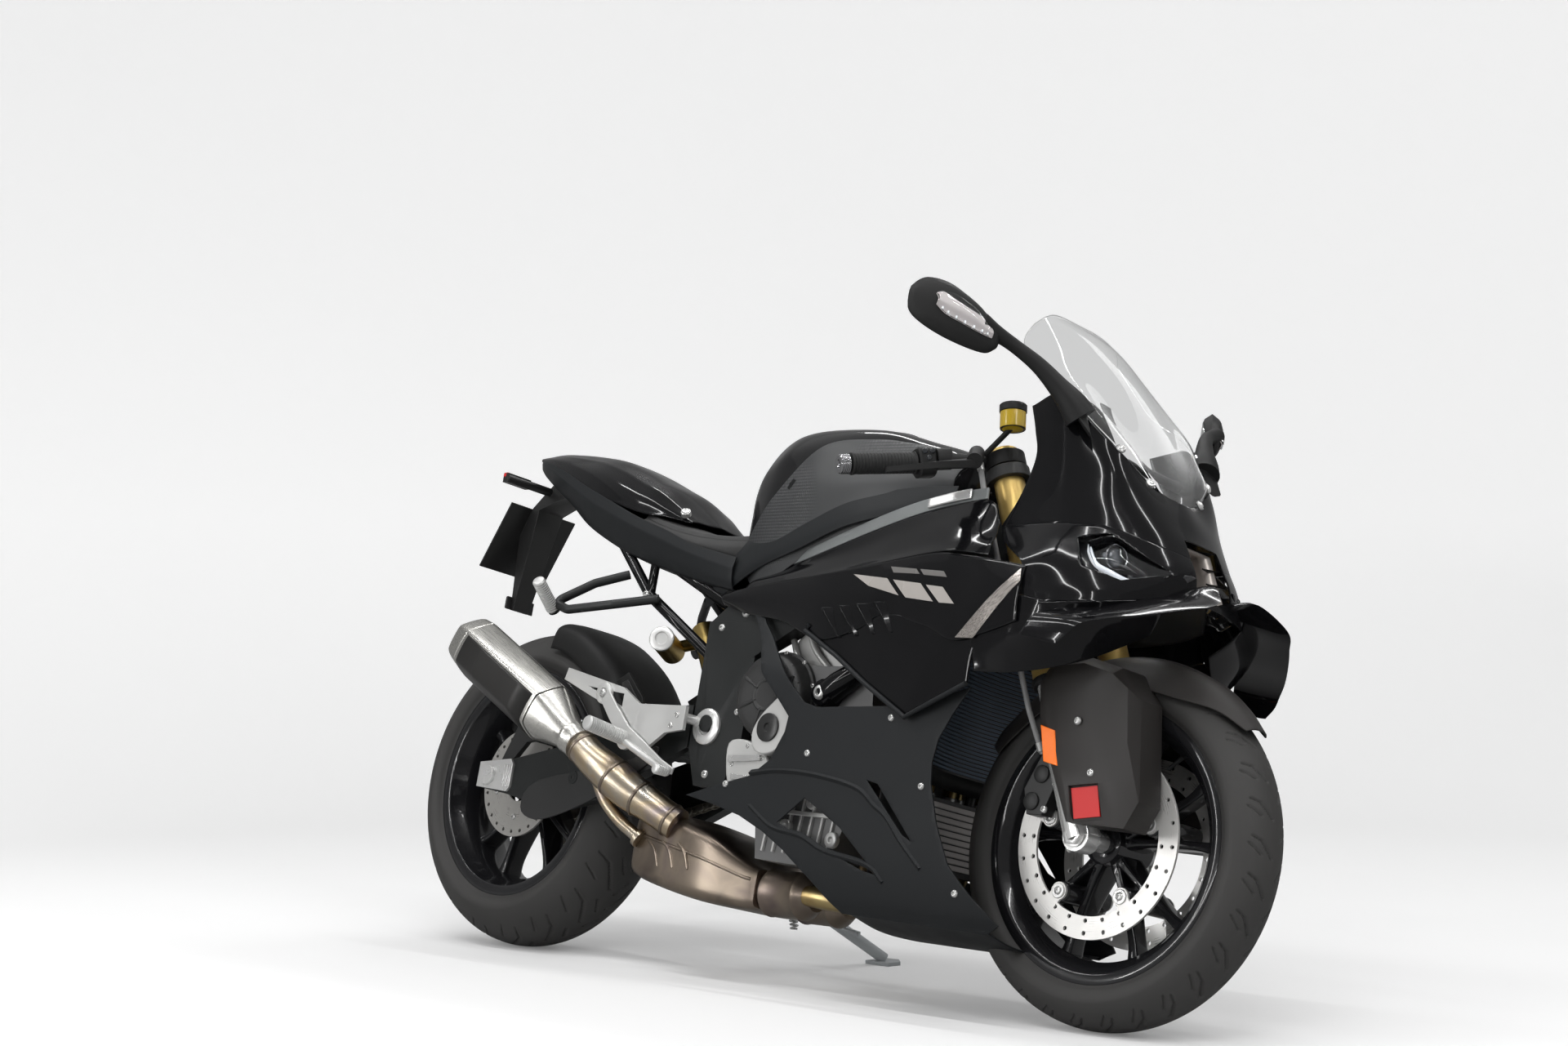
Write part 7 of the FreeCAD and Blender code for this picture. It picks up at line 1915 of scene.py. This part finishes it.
pegs = [knurled_peg((432, -206, 403), (425, -294, 414.5), 14.5),
        knurled_peg((571, -207, 344), (571, -240, 344), 9.5)]
gather("rider_pegs", both(pegs), "chassis", REARSET)
gather("pillion_pegs", both([knurled_peg((157, -200, 649.5), (172.5, -264, 694.5), 13)]), "chassis", REARSET)
PIVOT_PROFILE = [(0, 21), (6, 21), (8, 18), (8, 10), (5, 9), (5, 1)]
PIVOT_SPOTS = [(352, 487), (433, 402)]
pivots = [turned(PIVOT_PROFILE, (x, -195, z), OUTWARD, 36) for x, z in PIVOT_SPOTS]
gather("rear_set_pivots", both(pivots), "chassis", REARSET)
gather("rear_set_screws", both([screw((x, -203, z), OUTWARD, 8) for x, z in PIVOT_SPOTS]
                               + [screw((x, -196, z), OUTWARD, 6) for x, z in ((560, 452), (548, 432))]),
       "chassis", STEEL)
REAR_ARM = [(352, 470), (380, 440), (420, 402), (470, 384), (540, 350), (578, 340), (582, 352), (548, 366),
            (480, 404), (440, 426), (392, 470), (366, 496)]
rounded(gather("rear_set_links", both([slab(REAR_ARM, -204, -199)]), "chassis", REARSET), 1.2)

# %% [markdown]
# ## Side stand's spring, and the chain
# A spring is a round wire along a helix: its path turns n times round the line between two hooks.

# %% Stand spring
STAND_PIN = upright(joints["side_stand_fold"]["pos_m"])
SPRING_ENDS = [STAND_PIN + (14, -10, -62), STAND_PIN + (-2, -30, 26)]


def helix(start, end, radius, turns, per_turn=14):
    """Path round the line from start to end, a number of turns at a radius."""
    start, end = np.asarray(start, float), np.asarray(end, float)
    share = np.linspace(0, 1, turns * per_turn)
    way = (end - start) / np.linalg.norm(end - start)
    side = np.cross(way, (1.0, 0, 0))
    side /= np.linalg.norm(side)
    other = np.cross(way, side)
    angle = 2 * math.pi * turns * share
    return (start + share[:, None] * (end - start)
            + radius * (np.cos(angle)[:, None] * side + np.sin(angle)[:, None] * other))


gather("stand_spring", [tube(helix(*SPRING_ENDS, 7, 13), 1.9, 8)], "side_stand", STEEL)
stand_axis = np.array(joints["side_stand_fold"]["axis"]) @ lean_turn
if stand_axis[1] > 0:
    stand_axis = -stand_axis
BOLT_PROFILE = [(0, 12), (6, 12), (7, 10), (7, 2)]
gather("stand_bolt", [turned(BOLT_PROFILE, STAND_PIN + 24 * stand_axis, stand_axis, 6)], "chassis", STEEL)

# %% [markdown]
# A roller chain's pins stand at one pitch along the loop round both sprockets. The loop's length
# is cut into whole links, and each link has two waisted plates, a roller and a pin.

# %% Chain links
DRIVE_SHAFT = (685.0, 465.0)
CHAIN_Y = 112.0
BIG_R, SMALL_R = 101.0, 41.0
PITCH = 15.875
PLATE_R = 7.2
PLATE_THICK = 1.8
PIN_PROFILE = [(-9.0, 2.6), (-8.8, 4.6), (8.8, 4.6), (9.0, 2.6)]
gap = np.array([DRIVE_SHAFT[0] - REAR_AXLE[0], DRIVE_SHAFT[1] - REAR_AXLE[2]])
slope = math.atan2(gap[1], gap[0])
opening = math.asin((BIG_R - SMALL_R) / np.linalg.norm(gap))
top_turn, low_turn = slope + math.pi / 2 - opening, slope - math.pi / 2 + opening
rear_spot = np.array([REAR_AXLE[0], REAR_AXLE[2]])
front_spot = np.array(DRIVE_SHAFT)
rear_arc = np.linspace(top_turn, low_turn + 2 * math.pi, 60)
front_arc = np.linspace(low_turn, top_turn, 40)
loop = np.concatenate([rear_spot + BIG_R * np.stack([np.cos(rear_arc), np.sin(rear_arc)], 1),
                       front_spot + SMALL_R * np.stack([np.cos(front_arc), np.sin(front_arc)], 1)])
loop = np.concatenate([loop, loop[:1]])
steps = np.linalg.norm(np.diff(loop, axis=0), axis=1)
travelled = np.concatenate([[0], np.cumsum(steps)])
link_count = 2 * round(travelled[-1] / PITCH / 2)
places = np.linspace(0, travelled[-1], link_count, endpoint=False)
pins = np.stack([np.interp(places, travelled, loop[:, axis]) for axis in (0, 1)], 1)
link_parts = []
for number, pin in enumerate(pins):
    following = pins[(number + 1) % link_count]
    ahead = (following - pin) / np.linalg.norm(following - pin)
    beside = np.array([-ahead[1], ahead[0]])
    outline = []
    for centre, turns in ((pin, (80, 130, 180, 230, 280)), (following, (-100, -50, 0, 50, 100))):
        for turn in np.radians(turns):
            outline.append(centre + PLATE_R * (math.cos(turn) * ahead + math.sin(turn) * beside))
    outer = 2.0 if number % 2 else 0.0
    for side in (-1, 1):
        near = CHAIN_Y + side * (5.0 + outer)
        link_parts.append(slab(outline, *sorted((near, near + side * PLATE_THICK))))
    link_parts.append(turned(PIN_PROFILE, (pin[0], CHAIN_Y, pin[1]), (0, 1, 0), 10))
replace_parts(gather("chain_links", link_parts, "chassis", CHAIN_STEEL), "chain")
print(link_count, "chain links")

# %% [markdown]
# ## Plate carrier
# The carrier keeps its shape. Slim indicators with red ends stand on its stalks, and a small
# dark reflector hangs under the plate.

# %% Plate carrier and indicators
INDICATOR = [(-146, -92, 944), (-140, -112, 946), (-136, -150, 950)]
INDICATOR_R = np.array([[7], [10], [5.5]])
INDICATOR_END = [(-16, 7.6), (-2, 7.0), (3, 4.4), (4, 1)]
gather("rear_indicators", both([tube(smooth(INDICATOR, 12), smooth(INDICATOR_R, 12)[:, 0], 16)]), "chassis",
       SOFT_BLACK)
gather("indicator_ends", both([turned(INDICATOR_END, (-136, -149, 950), (0.02, -1, 0.05), 18)]), "chassis",
       RED)
REFLECTOR = [
    # x, half width, lowest, highest
    (-196, 38, 690, 718),
    (-203, 36, 692, 716),
]
reflector_rings = [[(x, -half, high), (x, half, high), (x, half, low), (x, -half, low)]
                   for x, half, low, high in REFLECTOR]
rounded(gather("plate_reflector", [block(reflector_rings)], "chassis", PLATE_BLACK), 1.5)

# %% [markdown]
# ## Fork, brakes and axle
# The tubes are polished and keep their shape. A cap with a hexagon closes the top of each, and
# the axle ends in a large hexagon with a bore, as the photograph shows.

# %% Fork and front brake
CAP_RING = [(0, 26.6), (3, 26.6), (5, 24), (5, 15), (4, 14)]
WIPER = [(-4, 29), (-2, 31), (6, 31), (9, 28.5), (9, 24)]
AXLE_FACE = 124
POT_PROFILE = [(0, 15), (4, 15), (6, 12), (6, 1)]
CALIPER_POTS = [(1338, 352), (1352, 398)]
fork_caps, wipers, axle_ends, pinch = [], [], [], []
for side in (-1, 1):
    top = on_fork(712, side * FORK_SPREAD)
    fork_caps.append(turned(CAP_RING, top, FORK_UP, 40))
    fork_caps += hex_head(top + FORK_UP * 4, FORK_UP, 10, 9, 4)
    wipers.append(turned(WIPER, on_fork(272, side * FORK_SPREAD), FORK_UP, 40))
    axle_ends += hex_head(FRONT_AXLE + (0, side * AXLE_FACE, 0), (0, side, 0), 17, 9, 11)
    pinch += [screw(on_fork(-14, side * 112, ahead), FORK_AHEAD, 5.5) for ahead in (-24, -8)]
gather("fork_caps", fork_caps, "steering", GOLD)
gather("fork_wipers", wipers, "steering", SOFT_BLACK)
gather("axle_ends", axle_ends, "steering", MACHINED)
gather("pinch_screws", pinch, "steering", STEEL)
pots = [turned(POT_PROFILE, (x, -96, z), OUTWARD, 32) for x, z in CALIPER_POTS]
gather("caliper_pots", both(pots), "steering", CAST_BLACK)
caliper_bolts = [screw((x, -97, z), OUTWARD, 6.5) for x, z in ((1384, 424), (1366, 340))]
gather("caliper_bolts", both(caliper_bolts), "steering", STEEL)
gather("stem_nut", hex_head(on_fork(678, 0, -32), FORK_UP, 17, 12, 9), "steering", MACHINED)

# %% [markdown]
# The brake hoses keep the solid model's shape. A turned fitting stands at each end, in line with
# the hose's last stretch.

# %% Hose fittings
HOSE_ENDS = [
    # end of the hose, next point along it
    ((1340, -92, 436), (1322, -118, 500)),
    ((1160, -150, 925), (1190, -152, 850)),
]
FITTING = [(-16, 6.4), (-2, 6.8), (0, 5), (4, 4)]
fittings = [turned(FITTING, end, np.array(end, float) - np.array(beyond), 18) for end, beyond in HOSE_ENDS]
gather("hose_fittings", both(fittings), "steering", STEEL)

# %% [markdown]
# ## Controls
# Grips have rings of ribs, made as a turned profile that steps in and out. The bar ends are
# knurled metal, and small boxes with rounded corners carry the switches.

# %% Grips, switches and levers
GRIP_OUT = np.array([1037.0, -352.0, 871.0])
GRIP_IN = np.array([1094.0, -243.0, 901.0])
grip_way = (GRIP_OUT - GRIP_IN) / np.linalg.norm(GRIP_OUT - GRIP_IN)
grip_profile = [(0, 20), (2, 20), (3, 18)]
for place in np.arange(6, 112, 6.0):
    grip_profile += [(place, 17.2), (place + 1, 18.4), (place + 4, 18.4), (place + 5, 17.2)]
grip_profile += [(114, 19.5), (117, 19.5), (118, 17)]
gather("ribbed_grips", both([turned(grip_profile, GRIP_IN, grip_way, 30)]), "steering", RUBBER)
end_profile = [(119, 14), (121, 17)]
for place in np.arange(122, 136, 2.4):
    end_profile += [(place, 17.6), (place + 1.2, 16.8)]
end_profile += [(137, 17), (139, 15), (139, 8), (136, 7), (136, 1)]
gather("bar_ends", both([turned(end_profile, GRIP_IN, grip_way, 30)]), "steering", DARK_CHROME)
SWITCH_BOX = [(-34, 21, 24), (-31, 24, 27), (-6, 24, 27), (-3, 21, 24)]
bar_up = np.cross(grip_way, np.cross((0, 0, 1.0), grip_way))
bar_side = np.cross(grip_way, bar_up)
switch_rings = []
turn = np.linspace(0, 2 * math.pi, 24, endpoint=False)
for place, half, tall in SWITCH_BOX:
    reach = (np.abs(np.cos(turn))**3.4 + np.abs(np.sin(turn))**3.4)**(-1 / 3.4)
    switch_rings.append(GRIP_IN + grip_way * place + np.cos(turn)[:, None] * reach[:, None] * half * bar_side
                        + np.sin(turn)[:, None] * reach[:, None] * tall * bar_up)
gather("switch_boxes", both([block(switch_rings)]), "steering", SOFT_BLACK)
BUTTON = [(0, 5), (5, 5), (6.5, 3.6), (6.5, 1)]
BUTTON_SPOTS = [(-26, 18), (-12, 18), (-19, 6)]  # along the grip, up
buttons = [turned(BUTTON, GRIP_IN + grip_way * place + bar_up * rise - bar_side * 20, -bar_side, 18)
           for place, rise in BUTTON_SPOTS]
gather("switch_buttons", both(buttons), "steering", SCREEN_GREY)
POT_PIECES = [
    # name, profile, look
    ("fluid_pot", [(-1, 14), (1, 22.6), (30, 22.6), (31, 20)], FLUID_AMBER),
    ("fluid_pot_lid", [(30, 20), (31, 24), (43, 24), (45, 22), (45, 2)], SOFT_BLACK),
]
for name, profile, look in POT_PIECES:
    gather(name, [turned(profile, (1219, -146, 983), (-0.15, 0, 1), 40)], "steering", look)

# %% [markdown]
# The display is a dark glass on the face of its housing that looks at the rider. It shows no figures.

# %% Display
FACE_LOW, FACE_HIGH = np.array([1262.0, 0, 985]), np.array([1232.0, 0, 1072])
GLASS_HALF = (57.0, 38.0)
face_up = (FACE_HIGH - FACE_LOW) / np.linalg.norm(FACE_HIGH - FACE_LOW)
face_out = np.cross(face_up, ACROSS)
glass_rings = [soft_ring((FACE_LOW + FACE_HIGH) / 2 + face_out * rise, ACROSS, face_up, GLASS_HALF[0] - inset,
                         GLASS_HALF[1] - inset, 8.0, 48)
               for rise, inset in ((0.1, 0), (1.1, 0), (1.7, 0.8))]
gather("dash_glass", [block(glass_rings)], "chassis", SCREEN_GREY)

# %% [markdown]
# The floor is a wide dish: flat under the machine, and curving up into a pale wall all round, so
# that no edge shows from any side. Seen from outside, the wall is clear. Soft lamps above and to
# the sides light the machine at an even level, and long narrow lamps draw the thin bright lines
# that gloss panels show. The camera stands where the photograph was taken from.

# %% Floor, light and camera
FLAT_R = 3.4
BEND_R = 3.6
WALL_TOP = 5.2


def seen_ray(tree):
    """1 for a ray from the camera or through glass, and 0.3 for one off a mirror-like surface."""
    ray = node(tree, "LightPath")
    through = node(tree, "Math", [(0, ray.outputs["Is Camera Ray"]), (1, ray.outputs["Is Transmission Ray"])],
                   operation="MAXIMUM")
    mirrored = node(tree, "Math", [(0, ray.outputs["Is Glossy Ray"]), (1, 0.3)], operation="MULTIPLY")
    return node(tree, "Math", [(0, through.outputs[0]), (1, mirrored.outputs[0])], operation="MAXIMUM")


def studio_look(name, colour, rough):
    """Pale matt paint that keeps its shadows, and mirrors as the dark floor of the photographed room."""
    look, tree, shader = blank_look(name)
    grit = node(tree, "TexNoise", [("Scale", 40.0), ("Detail", 3.0)])
    base = two_tone(tree, grit.outputs["Fac"], np.array(colour) * 0.99, colour)
    mirrored = node(tree, "Mix", [(0, node(tree, "LightPath").outputs["Is Glossy Ray"]), (6, base),
                                  (7, [*(np.array(colour) * 0.35), 1])], data_type="RGBA")
    spot = node(tree, "NewGeometry")
    away = node(tree, "VectorMath", [(0, spot.outputs["Position"])], operation="LENGTH")
    lift = node(tree, "MapRange", [("Value", away.outputs["Value"]), ("From Min", 1.2), ("From Max", 6.0),
                                   ("To Min", 0.12), ("To Max", 0.5)])
    seen = node(tree, "Math", [(0, seen_ray(tree).outputs[0]), (1, lift.outputs[0])], operation="MULTIPLY")
    plug(tree, shader, [("Base Color", mirrored.outputs[2]), ("Roughness", rough),
                        ("Emission Color", (1, 1, 1, 1)), ("Emission Strength", seen.outputs[0])])
    clear_back = node(tree, "BsdfTransparent")
    either = node(tree, "MixShader", [(0, spot.outputs["Backfacing"]), (1, shader.outputs[0]),
                                      (2, clear_back.outputs[0])])
    plug(tree, tree.nodes["Material Output"], [("Surface", either.outputs[0])])
    return look


bend = np.linspace(0, math.pi / 2, 40)
bowl_wall = np.stack([BEND_R * (1 - np.cos(bend)), FLAT_R + BEND_R * np.sin(bend)], 1)
dish = np.concatenate([[(0, 0.001), (0, 1.2)], bowl_wall, [(WALL_TOP, FLAT_R + BEND_R)]])
dish_part = grid_part(turned_grid(dish, (0, 0, 0), UPWARD, 96), ring_columns=True)
studio_paint = studio_look("studio_paint", (0.78, 0.78, 0.78), 0.7)
floor = gather("studio_floor", [dish_part], "chassis", studio_paint, solid=False, leaned=False)
facing(floor, UPWARD)
floor.parent = None
del floor["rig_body"]


def lamp(name, place, target, size, power, mirrored=False, colour=(1, 1, 1)):
    """Rectangular lamp at a place, looking at a target; size is (width, height) in metres. Gloss
    paint mirrors only the narrow lamps, so its lights stay thin lines."""
    data = bpy.data.lights.new(name, "AREA")
    data.shape = "RECTANGLE"
    data.size, data.size_y = size
    data.energy = power
    data.color = colour
    item = bpy.data.objects.new(name, data)
    item.location = place
    item.rotation_euler = (Vector(target) - Vector(place)).to_track_quat("-Z", "Y").to_euler()
    item.visible_glossy = mirrored
    bpy.context.scene.collection.objects.link(item)
    return item


lamp("key", (2.6, -3.4, 3.6), (0, 0, 0.5), (2.4, 1.6), 50)
lamp("fill_rear", (-3.6, -2.6, 2.6), (0, 0, 0.5), (2.2, 1.8), 26)
lamp("far_side", (0.8, 3.6, 2.8), (0, 0, 0.6), (2.6, 1.4), 30)
STRIPS = [
    # name, place, size, power
    ("strip_overhead", (0.2, -1.6, 3.0), (5.0, 0.07), 46),
    ("strip_middle", (0.2, -0.3, 3.2), (5.0, 0.06), 30),
    ("strip_far", (0.4, 1.3, 3.0), (5.0, 0.06), 30),
    ("strip_front", (3.4, -1.0, 2.2), (0.07, 3.0), 28),
    ("strip_side", (-1.4, -3.6, 1.7), (0.07, 2.6), 32),
    ("strip_low", (0.4, -4.2, 1.15), (3.6, 0.05), 26),
]
STRIP_TARGET = (0.2, -0.1, 0.7)
for name, place, size, power in STRIPS:
    lamp(name, place, STRIP_TARGET, size, power, mirrored=True)

world = bpy.data.worlds.new("studio_air")
bpy.context.scene.world = world
world.use_nodes = True
tree = world.node_tree
level = node(tree, "MapRange", [("Value", seen_ray(tree).outputs[0]), ("To Min", 0.2), ("To Max", 0.84)])
plug(tree, tree.nodes["Background"], [("Color", (1, 1, 1, 1)), ("Strength", level.outputs[0])])

CAMERA_PLACE = (3.264, -3.531, 0.697)
AZIMUTH = math.radians(44.5)
LOOK_UP = math.radians(1.78)
FOCAL_MM = 58.1
camera_data = bpy.data.cameras.new("photo_camera")
camera_data.lens = FOCAL_MM
camera_data.sensor_width = 36.0
camera = bpy.data.objects.new("photo_camera", camera_data)
camera.location = CAMERA_PLACE
camera.rotation_euler = (math.pi / 2 + LOOK_UP, 0, AZIMUTH)
bpy.context.scene.collection.objects.link(camera)
bpy.context.scene.camera = camera
bpy.context.scene.view_settings.view_transform = "Standard"
